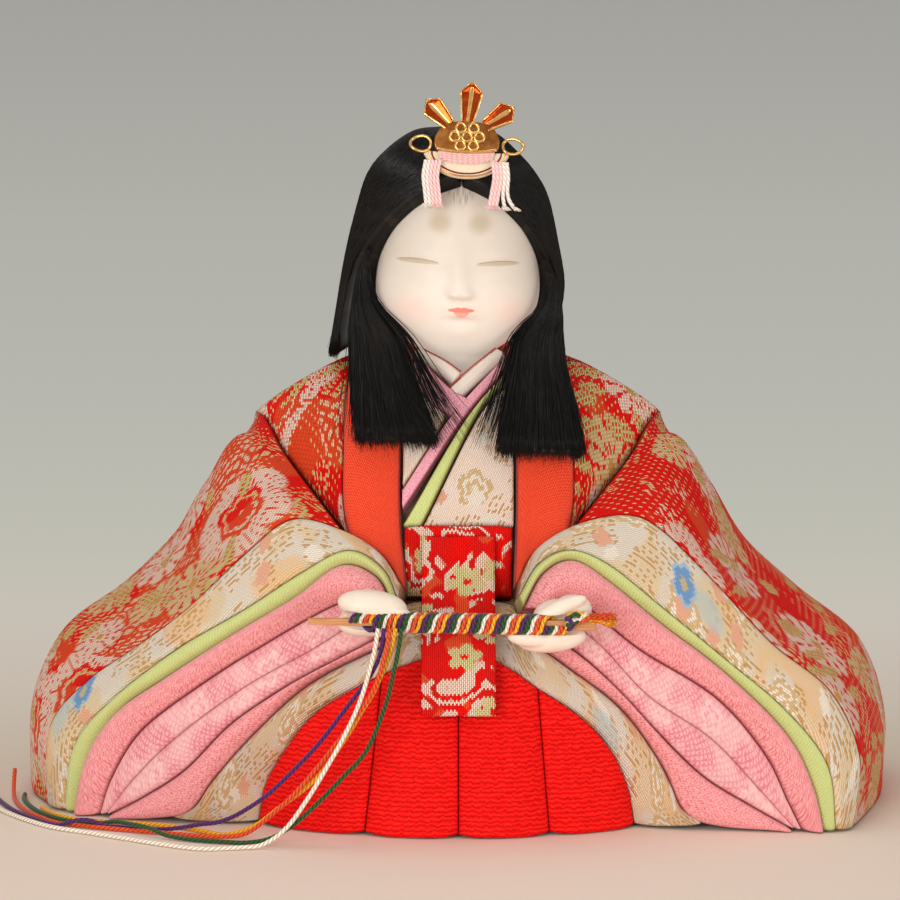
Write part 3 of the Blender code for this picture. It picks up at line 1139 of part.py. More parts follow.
def make_cords(group):
    """The tail at the fan's right end and five cords from its left end to the table."""
    profile = bpy.data.meshes.new("fan_cord_tail")
    points = [(radius * TAIL_RADIUS, 0, along * TAIL_LENGTH) for radius, along in TAIL_SHARES]
    profile.from_pydata(points, [(at, at + 1) for at in range(len(points) - 1)], [])
    tail = add_object("fan_cord_tail", profile, "wrapped_cord", group)
    turned = tail.modifiers.new("turned", "SCREW")
    turned.steps = turned.render_steps = 14
    turned.use_merge_vertices = True
    turned.merge_threshold = WELD
    tail.matrix_world = (fan_frame() @ Matrix.Translation((
        TAIL_PLACE + TAIL_LENGTH, -TAIL_FORWARD, TAIL_RISE)) @ Matrix.Rotation(-math.pi / 2, 4, "Y"))
    stretch = [1, FAN_FORWARD / ROUTE_FAN_FORWARD, FAN_HEIGHT / ROUTE_FAN_HEIGHT]
    for name, route in CORD_ROUTES.items():
        route = np.array(route) * stretch
        points = smooth_curve(route, PROFILE_POINT_COUNT)
        length = np.linalg.norm(np.diff(points, axis=0), axis=1).sum()
        points = smooth_curve(route, int(length / (CORD_STEP_SHARE * CORD_DIAMETER)) + 1)
        points[:, 2] = np.maximum(points[:, 2], CORD_DIAMETER / 2)
        print("%s is %.1f mm long" % (name, length * MM))
        wire(name, points, CORD_DIAMETER, False, CORD_FINISHES[name], group)


def ray_hits(start, directions, trees):
    """Distance from a start to the first wall along each direction."""
    hits = np.full(len(directions), np.inf)
    for at, direction in enumerate(directions):
        for tree in trees:
            found = tree.ray_cast(Vector(start), Vector(direction))
            if found[0] is not None:
                hits[at] = min(hits[at], found[3])
    return hits


def wall_trees(group):
    """Search trees of the body's cloth, the head and the wig."""
    trees = []
    for item in group.objects:
        trees.append(BVHTree.FromPolygons([item.matrix_world @ vert.co for vert in item.data.vertices],
                                          [face.vertices[:] for face in item.data.polygons]))
    return trees


def make_core(trees, parts, cutters):
    """Moulded core that fills the inside of the cloth, and the felt under it."""
    floor = FELT_THICK + REST_GAP
    ceiling = NECK_HEIGHT - NECK_RADIUS * math.sin(HEAD_LEAN) - CORE_GAP
    around = 44
    levels = 22
    finer = 3
    turns = np.linspace(0, 2 * math.pi, around * finer, endpoint=False)
    tilts = np.linspace(-math.pi / 2, math.pi / 2, levels * finer + 1)
    directions = np.array([[(math.cos(tilt) * math.cos(turn), math.cos(tilt) * math.sin(turn),
                             math.sin(tilt)) for turn in turns] for tilt in tilts])
    hits = ray_hits(HEART, directions.reshape(-1, 3), trees).reshape(len(tilts), len(turns))
    reach = np.stack([np.roll(hits, shift, axis=1) for shift in range(-finer, finer + 1)]).min(axis=0)
    padded = np.pad(reach, ((finer, finer), (0, 0)), mode="edge")
    reach = np.stack([padded[shift:shift + len(tilts)] for shift in range(2 * finer + 1)]).min(axis=0)
    picks = range(finer, len(tilts) - 1, finer)
    rings = []
    for pick in picks:
        direction = directions[pick][::finer]
        radius = reach[pick][::finer] - CORE_GAP
        steep = np.maximum(np.abs(direction[:, 2]), SMALL_SHARE)
        room = np.where(direction[:, 2] < 0, HEART_HEIGHT - floor, ceiling - HEART_HEIGHT)
        rings.append(HEART + direction * np.minimum(radius, room / steep)[:, None])
    core = loft_rings("body_core", rings, "composition", parts)
    wide = PEG_RADIUS + PEG_CLEARANCE
    bore(core, round_bar("peg_socket", wide, wide, -PEG_DOWN - PEG_CLEARANCE, PEG_UP, head_frame()),
         cutters)
    level = np.full(len(turns), np.inf)
    axis = np.column_stack([np.cos(turns), np.sin(turns), np.zeros(len(turns))])
    for height in np.linspace(0, FELT_REACH, 7):
        level = np.minimum(level, ray_hits((0, HEART_BACK, height), axis, trees))
    level = np.stack([np.roll(level, shift) for shift in range(-finer, finer + 1)]).min(axis=0)
    outline = axis[::finer, :2] * (level[::finer, None] - FELT_INSET) + HEART[:2]
    flat_piece("base_felt", outline, FELT_THICK, Matrix.Translation((0, 0, FELT_THICK / 2)), "felt",
               parts)


def main():
    """Build the whole doll."""
    clear_scene()
    parts = new_collection("hina_doll")
    cutters = new_collection("cutters")
    for side in dict(SIDES):
        make_sleeve_front(side, parts)
    make_jacket(parts)
    make_kimono_front(parts)
    make_trousers(parts)
    make_chest(parts)
    make_head(parts, cutters)
    make_wig(parts)
    make_core(wall_trees(parts), parts, cutters)
    make_long_hair(parts)
    make_crown(parts)
    make_hands(parts)
    gap = make_fan(parts)
    print("least gap of the fan's winding to itself is %.2f mm" % (gap * MM))
    make_cords(parts)


main()
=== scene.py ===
"""The looks of a seated empress doll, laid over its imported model.

Every piece is a surface worked out with numpy in the model's own frame, in metres, with the doll
facing -Y on Z = 0. Cloth pieces are padded forms whose edges sink into grooves, hair is drawn
strand by strand, and every finish is built from nodes.
"""

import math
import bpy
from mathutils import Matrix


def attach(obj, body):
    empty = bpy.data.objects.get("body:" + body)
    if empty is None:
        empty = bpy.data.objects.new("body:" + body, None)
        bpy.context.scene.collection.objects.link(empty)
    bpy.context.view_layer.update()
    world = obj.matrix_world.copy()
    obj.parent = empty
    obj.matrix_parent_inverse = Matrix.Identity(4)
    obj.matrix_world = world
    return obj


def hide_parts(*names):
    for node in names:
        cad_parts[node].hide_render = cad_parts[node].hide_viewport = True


bl_info = {
    "name": "Seated Empress Doll",
    "version": (1, 0, 0),
    "blender": (4, 5, 0),
    "location": "View3D > Sidebar > Doll",
    "description": "Dresses the packed doll with brocade, crepe, hair, gilt and shell white",
    "category": "Object",
}

import bmesh
import bpy
import numpy as np
from bpy.props import FloatProperty, FloatVectorProperty, IntProperty, PointerProperty
from mathutils import Matrix, Vector

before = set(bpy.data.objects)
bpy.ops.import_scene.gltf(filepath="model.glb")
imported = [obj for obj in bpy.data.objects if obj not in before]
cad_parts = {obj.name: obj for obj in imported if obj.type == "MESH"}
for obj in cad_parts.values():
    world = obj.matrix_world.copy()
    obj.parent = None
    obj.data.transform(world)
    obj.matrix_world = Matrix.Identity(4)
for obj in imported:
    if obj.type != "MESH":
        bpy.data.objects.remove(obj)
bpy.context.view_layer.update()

# Camera of the photograph
VIEW_ELEVATION = math.radians(8.0)
VIEW_DISTANCE = 1.3
VIEW_TARGET = (-0.0022, 0.0, 0.0914)
VIEW_WIDTH = 0.243
SENSOR_MM = 36.0

MM = 0.001
TINY = 1e-9
TAU = 2 * math.pi

# Driving sizes of the dressed body
HALF_WIDTH = 0.1155
SHOULDER_HEIGHT = 0.120
HALF_DEPTH = 0.070
SEAM = 0.0004
CLOTH_THICK = 0.0032
CUFF_THICK = 0.0065

# Point inside the core that every cloth piece faces
HEART_BACK = HALF_DEPTH / 7
HEART_HEIGHT = SHOULDER_HEIGHT / 4

# Sleeve openings: how far forward they stand, how much they lean and sweep back
CUFF_FRONT_SHARE = 0.857
CUFF_FRONT = HALF_DEPTH * CUFF_FRONT_SHARE
CUFF_LEAN = 0.014
CUFF_LEAN_HEIGHT = SHOULDER_HEIGHT * 2 / 3
SWEEP_START_SHARE = 0.433
SWEEP_START = HALF_WIDTH * SWEEP_START_SHARE
SWEEP_RATE = 1.25
SWEEP_POWER = 1.3
LEFT_SWEEP = 0.022
RIGHT_SWEEP = -0.0040
CREAM_BACKSET = 0.004

# Rolls of the sleeve openings stand proud by these amounts
CREAM_CROWN = 0.0012
GREEN_CROWN = 0.0015
ROLL_CROWN = 0.0042
LINING_CROWN = 0.0014
HEM_CROWN = 0.0032
HEM_CLEARANCE = 0.0003
HEM_TURN = 0.0030

# Trousers
TROUSER_FRONT_SHARE = 1.0043
TROUSER_FRONT = HALF_DEPTH * TROUSER_FRONT_SHARE
TROUSER_ROUND = 0.0145
TROUSER_ROUND_SHARE = 0.4156
TROUSER_ROUND_WIDTH = HALF_WIDTH * TROUSER_ROUND_SHARE
TROUSER_SLOPE = 0.012
LAP_HEIGHT_SHARE = 0.3833
LAP_HEIGHT = SHOULDER_HEIGHT * LAP_HEIGHT_SHARE
TROUSER_CROWN = 0.0022
TROUSER_THICK = 0.0060
EDGE_CROWN = 0.0018

# Chest, sash and lapels
CHEST_FRONT_SHARE = 0.55
CHEST_FRONT = HALF_DEPTH * CHEST_FRONT_SHARE
CHEST_RISE = 0.022
CHEST_BASE_SHARE = 0.6333
CHEST_BASE = SHOULDER_HEIGHT * CHEST_BASE_SHARE
CHEST_TOP = SHOULDER_HEIGHT
CHEST_RADIUS = 0.0833
CHEST_POWER = 1.3
SASH_BOTTOM_SHARE = 0.4817
SASH_BOTTOM = SHOULDER_HEIGHT * SASH_BOTTOM_SHARE
SASH_CROWN = 0.0016
LAPEL_CROWN = 0.0015
COLLAR_CROWN = 0.0006
COLLAR_THICK = 0.0024
TAB_THICK = 0.0016
TAB_HALF_WIDTH = 0.0097
TAB_WAVE = 0.00015
TAB_WAVE_TURN = 500
TAB_EDGE_SINK = 0.0005
TAB_EDGE_ROLL = 0.0008
JACKET_CROWN = 0.0012
JACKET_SINK = 0.006

# Head, leaning to the viewer's right on its peg
NECK_DROP = 0.008
NECK_HEIGHT = SHOULDER_HEIGHT - NECK_DROP
NECK_SIDE = -0.0010
HEAD_LEAN = math.radians(2.0)
NECK_RADIUS = 0.0082
FACE_HALF_WIDTH = 0.0216
FACE_HALF_DEPTH = 0.0205
FACE_TOP = 0.0330
FACE_BOTTOM = 0.0230
FACE_CENTRE_HEIGHT = 0.0270
FACE_CENTRE_FORWARD = 0.0035
CHEEK_SHARE = 0.035
# Places on the face as parts of a unit direction from its centre
CHEEK_DROP = 0.35

# Hair
HAIR_GAP = 0.0010
HAIR_HEIGHT = 0.0665
HAIR_LEFT = 0.0335
HAIR_RIGHT = 0.0283
HAIR_BACK = 0.0290
HAIR_FRONT = 0.0215
BACK_HAIR_THICK = 0.0045
BACK_HAIR_GAP = 0.0020
BACK_HAIR_HALF_WIDTH = 0.0220
BACK_HAIR_DROP = 0.002
BACK_HAIR_TOP = SHOULDER_HEIGHT - BACK_HAIR_DROP
BACK_HAIR_END = SHOULDER_HEIGHT / 2
LOCK_THICK = 0.0060
LOCK_STANDOFF = 0.0026

# Crown, in a frame that leans back on the front of the hair
CROWN_LEAN = math.radians(14.0)
CROWN_SIDE = 0.0010
CROWN_FORWARD = 0.0206
CROWN_BASE = 0.0543
PAD_WIDTH = 0.0218
PAD_DROP = 0.0070
PAD_THICK = 0.0030
BAND_WIDTH = 0.0150
BAND_DROP = 0.0034
BAND_THICK = 0.0010
CROWN_GAP = 0.0003
PLATE_THICK = 0.0006
PLATE_WIDTH = 0.0172
PLATE_HEIGHT = 0.0080
PRONG_LENGTH = 0.0110
SIDE_PRONG_LENGTH = 0.0092
PRONG_TIP_WIDTH = 0.0062
PRONG_ROOT_WIDTH = 0.0034
PRONG_LEAN = math.radians(6.0)
LEFT_PRONG_LEAN = math.radians(-46.0)
RIGHT_PRONG_LEAN = math.radians(56.0)
RING_RADIUS = 0.0013
RING_WIRE = 0.0004
RING_SPACING = 0.0031
LOOP_HALF_WIDTH = 0.0027
LOOP_HALF_HEIGHT = 0.0024
LOOP_WIRE = 0.0004
RIBBON_WIDTH = 0.0050
RIBBON_LENGTH = 0.0115
RIBBON_THICK = 0.0008
RIBBON_SPREAD = 0.0088
RIBBON_START_SHARE = 0.75

# Hands and fan, in a frame that lies along the fan
FAN_SIDE = -0.0017
FAN_FORWARD_SHARE = 1.0357
FAN_FORWARD = HALF_DEPTH * FAN_FORWARD_SHARE
FAN_HEIGHT_SHARE = 0.4733
FAN_HEIGHT = SHOULDER_HEIGHT * FAN_HEIGHT_SHARE
FAN_BLADE_HEIGHT = 0.0026
FAN_BLADE_THICK = 0.0009
FAN_BLADE_GAP = 0.0003
FAN_DIP = math.radians(0.85)
LEFT_HAND_PLACE = -0.0199
RIGHT_HAND_PLACE = 0.0244
WRAP_LOOP_COUNT = 8
WRAP_PITCH = 0.0063
WRAP_THICK = 0.0009
WRAP_START = -0.0235
WRAP_GAP = 0.0004
WRAP_CORNER_SHARE = 0.5
TAIL_PLACE = 0.0300
TAIL_FORWARD = 0.0032
TAIL_RISE = 0.0022
CORD_DIAMETER = 0.0012

FINE_STEP_COUNT = 12
PROFILE_POINT_COUNT = 60
CUFF_POINT_COUNT = 14
LAPEL_POINT_COUNT = 2
LAPEL_FOOT_SHARE = 0.93
WELD = 0.00001
SIDES = (("left", -1), ("right", 1))

# Sleeve openings seen from the front, as shares of the half width and the shoulder height.
# Each edge runs from the hand over the arch and down to the floor.
CUFF_EDGE_SHARES = {
    "right": [(0.14, 0.53), (0.18, 0.60), (0.27, 0.65), (0.38, 0.67), (0.46, 0.64), (0.58, 0.53),
              (0.71, 0.40), (0.84, 0.30), (0.905, 0.16), (0.89, 0.006)],
    "left": [(0.13, 0.52), (0.18, 0.59), (0.27, 0.64), (0.38, 0.66), (0.48, 0.59), (0.62, 0.46),
             (0.74, 0.37), (0.85, 0.29), (0.94, 0.18), (0.945, 0.006)],
}
CREAM_EDGE_SHARES = {
    "right": [(0.135, 0.50), (0.18, 0.57), (0.25, 0.60), (0.34, 0.57), (0.46, 0.48), (0.59, 0.38),
              (0.73, 0.27), (0.83, 0.15), (0.85, 0.006)],
    "left": [(0.135, 0.49), (0.17, 0.56), (0.25, 0.60), (0.36, 0.55), (0.49, 0.47), (0.64, 0.38),
             (0.79, 0.26), (0.88, 0.15), (0.90, 0.006)],
}
GREEN_EDGE_SHARES = {
    "right": [(0.145, 0.475), (0.19, 0.55), (0.255, 0.58), (0.33, 0.54), (0.45, 0.45),
              (0.60, 0.34), (0.73, 0.22), (0.79, 0.11), (0.81, 0.006)],
    "left": [(0.145, 0.465), (0.18, 0.54), (0.26, 0.57), (0.35, 0.51), (0.49, 0.43),
             (0.66, 0.32), (0.77, 0.24), (0.84, 0.14), (0.87, 0.006)],
}
ROLL_EDGE_SHARES = {
    "right": [(0.195, 0.46), (0.235, 0.50), (0.29, 0.48), (0.41, 0.39), (0.58, 0.29),
              (0.69, 0.17), (0.74, 0.07), (0.77, 0.006)],
    "left": [(0.195, 0.45), (0.235, 0.49), (0.29, 0.48), (0.44, 0.40), (0.58, 0.31),
             (0.72, 0.20), (0.79, 0.09), (0.815, 0.006)],
}
FOLD_EDGE_SHARES = {
    "right": [(0.19, 0.44), (0.24, 0.45), (0.32, 0.40), (0.43, 0.29), (0.57, 0.20),
              (0.68, 0.09), (0.755, 0.008)],
    "left": [(0.19, 0.43), (0.24, 0.44), (0.33, 0.39), (0.48, 0.31), (0.64, 0.19),
             (0.74, 0.09), (0.80, 0.008)],
}
LINING_EDGE_SHARES = {
    "right": [(0.18, 0.42), (0.24, 0.40), (0.32, 0.34), (0.43, 0.23), (0.55, 0.12),
              (0.66, 0.055), (0.74, 0.012)],
    "left": [(0.18, 0.415), (0.27, 0.37), (0.39, 0.31), (0.51, 0.23), (0.62, 0.12),
             (0.72, 0.05), (0.785, 0.012)],
}
HEM_EDGE_SHARES = {
    "right": [(0.165, 0.405), (0.25, 0.35), (0.37, 0.26), (0.46, 0.14), (0.515, 0.035),
              (0.60, 0.006), (0.725, 0.004)],
    "left": [(0.165, 0.40), (0.33, 0.32), (0.45, 0.22), (0.55, 0.11), (0.61, 0.03),
             (0.69, 0.006), (0.77, 0.004)],
}
# Inner edge of the kimono's front over the trousers, from the lap's middle to the floor
LAP_EDGE_SHARES = {
    "right": [(0.0, 0.385), (0.08, 0.37), (0.18, 0.31), (0.28, 0.24), (0.34, 0.17),
              (0.38, 0.09), (0.40, 0.006)],
    "left": [(0.0, 0.385), (0.09, 0.37), (0.21, 0.32), (0.32, 0.25), (0.40, 0.15),
             (0.44, 0.08), (0.455, 0.006)],
}
# Start of the kimono front's outer edge, under the sash: shares of width, depth and height
LAP_START_SHARES = [(0.0, -0.60, 0.478), (0.12, -0.605, 0.472), (0.15, -0.70, 0.43)]

# Jacket guides from top to hem: shares of the half width, the half depth and the height
RIDGE_SHARES = [(0.40, -0.23, 0.77), (0.505, -0.03, 0.775), (0.59, 0.03, 0.66), (0.67, 0.06, 0.53),
                (0.80, 0.06, 0.43), (0.93, 0.03, 0.335), (0.99, 0.0, 0.18), (0.985, -0.05, 0.005)]
BACK_BEND_SHARES = [(0.445, -0.05, 0.83), (0.52, 0.24, 0.745), (0.60, 0.38, 0.61),
                    (0.69, 0.49, 0.46), (0.78, 0.57, 0.34), (0.85, 0.62, 0.18),
                    (0.87, 0.64, 0.005)]
BACK_SEAM_SHARES = [(0.475, 0.07, 0.845), (0.49, 0.35, 0.765), (0.51, 0.57, 0.62),
                    (0.515, 0.75, 0.43), (0.485, 0.87, 0.25), (0.46, 0.94, 0.12),
                    (0.43, 0.97, 0.005)]
BACK_QUARTER_SHARES = [(0.25, 0.04, 0.965), (0.28, 0.37, 0.91), (0.29, 0.58, 0.79),
                       (0.30, 0.77, 0.58), (0.29, 0.90, 0.37), (0.27, 0.985, 0.15),
                       (0.25, 1.01, 0.005)]
BACK_CENTRE_SHARES = [(0.0, 0.27, 0.985), (0.0, 0.47, 0.93), (0.0, 0.655, 0.79), (0.0, 0.82, 0.59),
                      (0.0, 0.945, 0.375), (0.0, 1.015, 0.15), (0.0, 1.032, 0.005)]
LAPEL_OUTER_SHARES = [(0.262, -0.54, 0.63), (0.265, -0.47, 0.69), (0.265, -0.36, 0.80),
                      (0.262, -0.22, 0.90), (0.25, 0.04, 0.965)]
LAPEL_INNER_SHARES = [(0.135, -0.60, 0.50), (0.135, -0.535, 0.66), (0.135, -0.43, 0.80),
                      (0.13, -0.27, 0.94), (0.11, -0.05, 0.995), (0.075, 0.09, 1.005),
                      (0.0, 0.14, 1.005)]
# The sash's hanging end, as shares of the half depth and the height
TAB_SHARES = [(-0.612, 0.622), (-0.614, 0.58), (-0.620, 0.54), (-0.70, 0.49), (-0.82, 0.45), (-0.93, 0.41),
              (-0.985, 0.35), (-1.025, 0.27)]

# Collar strips seen from the front, as shares of the half width and the shoulder height
COLLAR_SHARES = {
    "collar_white_left": ([(-0.105, 0.998), (-0.045, 0.962), (-0.012, 0.938)],
                          [(-0.078, 1.002), (-0.030, 0.980), (0.006, 0.957)]),
    "collar_white_right": ([(0.085, 1.005), (0.03, 0.966), (-0.03, 0.918)],
                           [(0.108, 0.992), (0.05, 0.948), (-0.012, 0.898)]),
    "collar_pink": ([(0.105, 0.988), (-0.014, 0.872), (-0.127, 0.715)],
                    [(0.112, 0.968), (0.004, 0.855), (-0.127, 0.673)]),
    "collar_green": ([(0.115, 0.964), (0.008, 0.850), (-0.126, 0.640)],
                     [(0.121, 0.945), (0.040, 0.870), (-0.086, 0.640)]),
    "chest_panel_left": ([(-0.123, 0.955), (-0.126, 0.850), (-0.127, 0.725)],
                         [(-0.040, 0.925), (-0.032, 0.868), (-0.125, 0.722)]),
    "chest_panel_right": ([(0.124, 0.938), (0.043, 0.862), (-0.080, 0.640)],
                          [(0.126, 0.930), (0.127, 0.800), (0.127, 0.640)]),
}
CHEST_LOW_SHARE = 0.640
SASH_REACH_SHARE = 0.124

# Pleat lines: share of the way from the left foot to the right foot, at the floor and above
PLEAT_FOOT_SHARES = (0.0, 0.285, 0.532, 0.772, 1.0)
PLEAT_TOP_SHARES = (0.0, 0.330, 0.532, 0.742, 1.0)
OUTER_PLEAT_SHARE = 0.98

# Wig seen from the front: share of its height over the neck, then of its width on that side
HAIR_SIDE_SHARES = {
    "left": [(1.0, 0.0), (0.993, 0.22), (0.975, 0.40), (0.90, 0.60), (0.80, 0.75), (0.64, 0.836),
             (0.51, 0.89), (0.38, 0.93), (0.26, 0.96), (0.11, 1.0), (0.075, 0.99)],
    "right": [(1.0, 0.0), (0.992, 0.21), (0.970, 0.34), (0.913, 0.50), (0.83, 0.685),
              (0.725, 0.827), (0.54, 0.936), (0.42, 0.996), (0.335, 1.0), (0.22, 0.965),
              (0.13, 1.0)],
}
# Wig's depth in front and behind at each share of its height
HAIR_FRONT_SHARES = [(0.0, 0.55), (0.30, 0.80), (0.42, 0.90), (0.56, 1.0), (0.70, 1.0),
                     (0.80, 0.96), (0.86, 0.88), (0.92, 0.72), (0.975, 0.43), (1.0, 0.0)]
HAIR_BACK_SHARES = [(0.0, 0.92), (0.30, 0.97), (0.45, 1.0), (0.60, 0.98), (0.75, 0.90),
                    (0.85, 0.80), (0.92, 0.66), (0.975, 0.42), (1.0, 0.0)]
# Front edge of the wig at each share of its height: share of the half turn from front to back
HAIRLINE_SHARES = [(0.0, 0.40), (0.30, 0.40), (0.42, 0.39), (0.48, 0.37), (0.55, 0.32),
                   (0.64, 0.26), (0.725, 0.185), (0.78, 0.13), (0.82, 0.07), (0.85, 0.0),
                   (1.0, 0.0)]
HAIR_NAPE_SHARE = 0.115
HAIR_LOW_SHARE = 0.30
BACK_HAIR_END_SHARE = 0.80
BACK_HAIR_EDGE_SHARE = 0.45

# Front locks of hair in the head's own frame, as shares of the face's half width, its depth
# and its centre's height: middle of each section, then half width and half thickness
LOCK_SHARES = {
    "left": [(-1.085, -0.595, 1.26, 0.07, 0.20), (-1.113, -0.52, 1.04, 0.155, 0.30),
             (-1.118, -0.62, 0.74, 0.20, 0.40), (-1.028, -0.78, 0.48, 0.307, 0.45),
             (-0.943, -1.04, 0.22, 0.377, 0.45), (-0.858, -1.30, -0.074, 0.425, 0.45),
             (-0.769, -1.45, -0.333, 0.48, 0.43), (-0.708, -1.55, -0.507, 0.528, 0.40)],
    "right": [(1.010, -0.64, 1.22, 0.07, 0.20), (1.080, -0.62, 1.04, 0.155, 0.30),
              (1.120, -0.78, 0.74, 0.20, 0.36), (1.040, -0.78, 0.48, 0.307, 0.45),
              (1.042, -1.04, 0.22, 0.349, 0.45), (1.075, -1.30, -0.074, 0.434, 0.45),
              (1.094, -1.45, -0.333, 0.50, 0.43), (1.108, -1.55, -0.574, 0.557, 0.40)],
}

# Crown outlines: shares of each piece's width across and of its height upwards
PAD_SHARES = [(-0.50, 1.0), (-0.485, 0.74), (-0.38, 0.36), (-0.20, 0.08), (0.0, 0.0), (0.20, 0.08),
              (0.38, 0.36), (0.485, 0.74), (0.50, 1.0), (0.25, 0.95), (0.0, 0.93), (-0.25, 0.95)]
PLATE_LEFT_SHARES = [(-0.30, 0.0), (-0.46, 0.06), (-0.50, 0.34), (-0.46, 0.62)]
BOWL_TOP_SHARES = [(-0.34, 0.92), (0.0, 1.04), (0.34, 0.92)]
TRIM_SHARES = [(-0.46, 0.10), (-0.2, 0.02), (0.2, 0.02), (0.46, 0.10)]
BAND_TOP_SHARES = [(-0.50, 0.94), (-0.25, 0.88), (0.0, 0.86), (0.25, 0.88), (0.50, 0.94)]
BAND_LOW_SHARES = [(-0.46, 0.45), (-0.28, 0.10), (0.0, 0.0), (0.28, 0.10), (0.46, 0.45)]
PRONG_PLACE_SHARES = ((-0.27, 0.90), (0.0, 1.0), (0.27, 0.90))
RING_PLACE_SHARES = [(-0.55, 0.75), (0.55, 0.75), (-1.05, 0.0), (0.0, 0.0), (1.05, 0.0),
                     (-0.55, -0.75), (0.55, -0.75)]
LOOP_PLACE_SHARES = (0.610, 0.24)
RIBBON_BEND_SHARES = [(0.0, 0.06, 0.0), (0.10, 0.22, 0.35), (0.0, 0.26, 0.70), (-0.10, 0.24, 1.0)]

# Cord routes from the fan's wrapping to the table, in metres, for a fan held at these places
CORD_ROUTES = {
    "cord_white": [(-0.0206, -0.0759, 0.0560), (-0.0216, -0.0773, 0.0500), (-0.0247, -0.0786, 0.0390),
                   (-0.0286, -0.0798, 0.0300), (-0.0333, -0.0806, 0.0215), (-0.0385, -0.0816, 0.0130),
                   (-0.0440, -0.0826, 0.0055), (-0.0500, -0.0832, 0.0013), (-0.0560, -0.0840, 0.0007),
                   (-0.0660, -0.0852, 0.0007), (-0.0760, -0.0800, 0.0007), (-0.0850, -0.0738, 0.0007),
                   (-0.0960, -0.0662, 0.0007), (-0.1054, -0.0600, 0.0007), (-0.1120, -0.0525, 0.0007),
                   (-0.1175, -0.0445, 0.0007), (-0.1215, -0.0370, 0.0007), (-0.1270, -0.0225, 0.0007),
                   (-0.1315, -0.0060, 0.0007), (-0.1355, 0.0120, 0.0007)],
    "cord_purple": [(-0.0191, -0.0759, 0.0560), (-0.0199, -0.0762, 0.0500), (-0.0228, -0.0762, 0.0435),
                    (-0.0293, -0.0756, 0.0346), (-0.0356, -0.0750, 0.0262), (-0.0423, -0.0740, 0.0188),
                    (-0.0494, -0.0725, 0.0118), (-0.0568, -0.0700, 0.0064), (-0.0620, -0.0678, 0.0038),
                    (-0.0670, -0.0654, 0.0026), (-0.0720, -0.0636, 0.0014), (-0.0770, -0.0626, 0.0007),
                    (-0.0840, -0.0614, 0.0007), (-0.0880, -0.0602, 0.0007), (-0.0920, -0.0594, 0.0010),
                    (-0.0960, -0.0590, 0.0023), (-0.0995, -0.0589, 0.0023), (-0.1025, -0.0583, 0.0013),
                    (-0.1052, -0.0572, 0.0007),
                    (-0.1110, -0.0503, 0.0007), (-0.1156, -0.0430, 0.0007), (-0.1190, -0.0360, 0.0007),
                    (-0.1240, -0.0220, 0.0007), (-0.1280, -0.0070, 0.0007), (-0.1315, 0.0090, 0.0007)],
    "cord_red": [(-0.0176, -0.0759, 0.0560), (-0.0187, -0.0776, 0.0500), (-0.0215, -0.0779, 0.0410),
                 (-0.0264, -0.0780, 0.0333), (-0.0318, -0.0780, 0.0258), (-0.0408, -0.0772, 0.0146),
                 (-0.0486, -0.0758, 0.0069), (-0.0550, -0.0738, 0.0020), (-0.0620, -0.0714, 0.0007),
                 (-0.0700, -0.0690, 0.0007), (-0.0770, -0.0665, 0.0007), (-0.0840, -0.0640, 0.0007),
                 (-0.0910, -0.0613, 0.0007), (-0.0980, -0.0582, 0.0007), (-0.1048, -0.0548, 0.0007),
                 (-0.1095, -0.0483, 0.0007), (-0.1135, -0.0415, 0.0007), (-0.1162, -0.0345, 0.0007),
                 (-0.1184, -0.0260, 0.0007), (-0.1194, -0.0190, 0.0014), (-0.1197, -0.0145, 0.0034),
                 (-0.1197, -0.0115, 0.0060)],
    "cord_yellow": [(-0.0161, -0.0759, 0.0560), (-0.0174, -0.0755, 0.0500), (-0.0212, -0.0752, 0.0405),
                    (-0.0248, -0.0754, 0.0344), (-0.0292, -0.0756, 0.0271), (-0.0368, -0.0750, 0.0166),
                    (-0.0461, -0.0735, 0.0088), (-0.0530, -0.0716, 0.0034), (-0.0600, -0.0690, 0.0008),
                    (-0.0650, -0.0658, 0.0007), (-0.0700, -0.0616, 0.0007), (-0.0770, -0.0578, 0.0007),
                    (-0.0850, -0.0552, 0.0007), (-0.0925, -0.0532, 0.0007), (-0.1000, -0.0502, 0.0007),
                    (-0.1050, -0.0457, 0.0007), (-0.1086, -0.0402, 0.0007), (-0.1105, -0.0360, 0.0007)],
    "cord_green": [(-0.0146, -0.0759, 0.0560), (-0.0155, -0.0770, 0.0500), (-0.0168, -0.0776, 0.0440),
                   (-0.0187, -0.0782, 0.0365), (-0.0235, -0.0792, 0.0250), (-0.0297, -0.0798, 0.0180),
                   (-0.0360, -0.0802, 0.0115), (-0.0420, -0.0802, 0.0060), (-0.0480, -0.0796, 0.0022),
                   (-0.0540, -0.0786, 0.0008), (-0.0600, -0.0774, 0.0007), (-0.0680, -0.0750, 0.0007),
                   (-0.0750, -0.0716, 0.0010), (-0.0800, -0.0678, 0.0022), (-0.0850, -0.0634, 0.0023),
                   (-0.0895, -0.0592, 0.0020), (-0.0940, -0.0562, 0.0009), (-0.1000, -0.0534, 0.0007),
                   (-0.1050, -0.0496, 0.0007), (-0.1095, -0.0435, 0.0007), (-0.1127, -0.0365, 0.0007),
                   (-0.1150, -0.0295, 0.0007), (-0.1162, -0.0240, 0.0007), (-0.1164, -0.0190, 0.0007)],
}
HEART = np.array([0.0, HEART_BACK, HEART_HEIGHT])
BODY_SCALE = np.array([HALF_WIDTH, HALF_DEPTH, SHOULDER_HEIGHT])

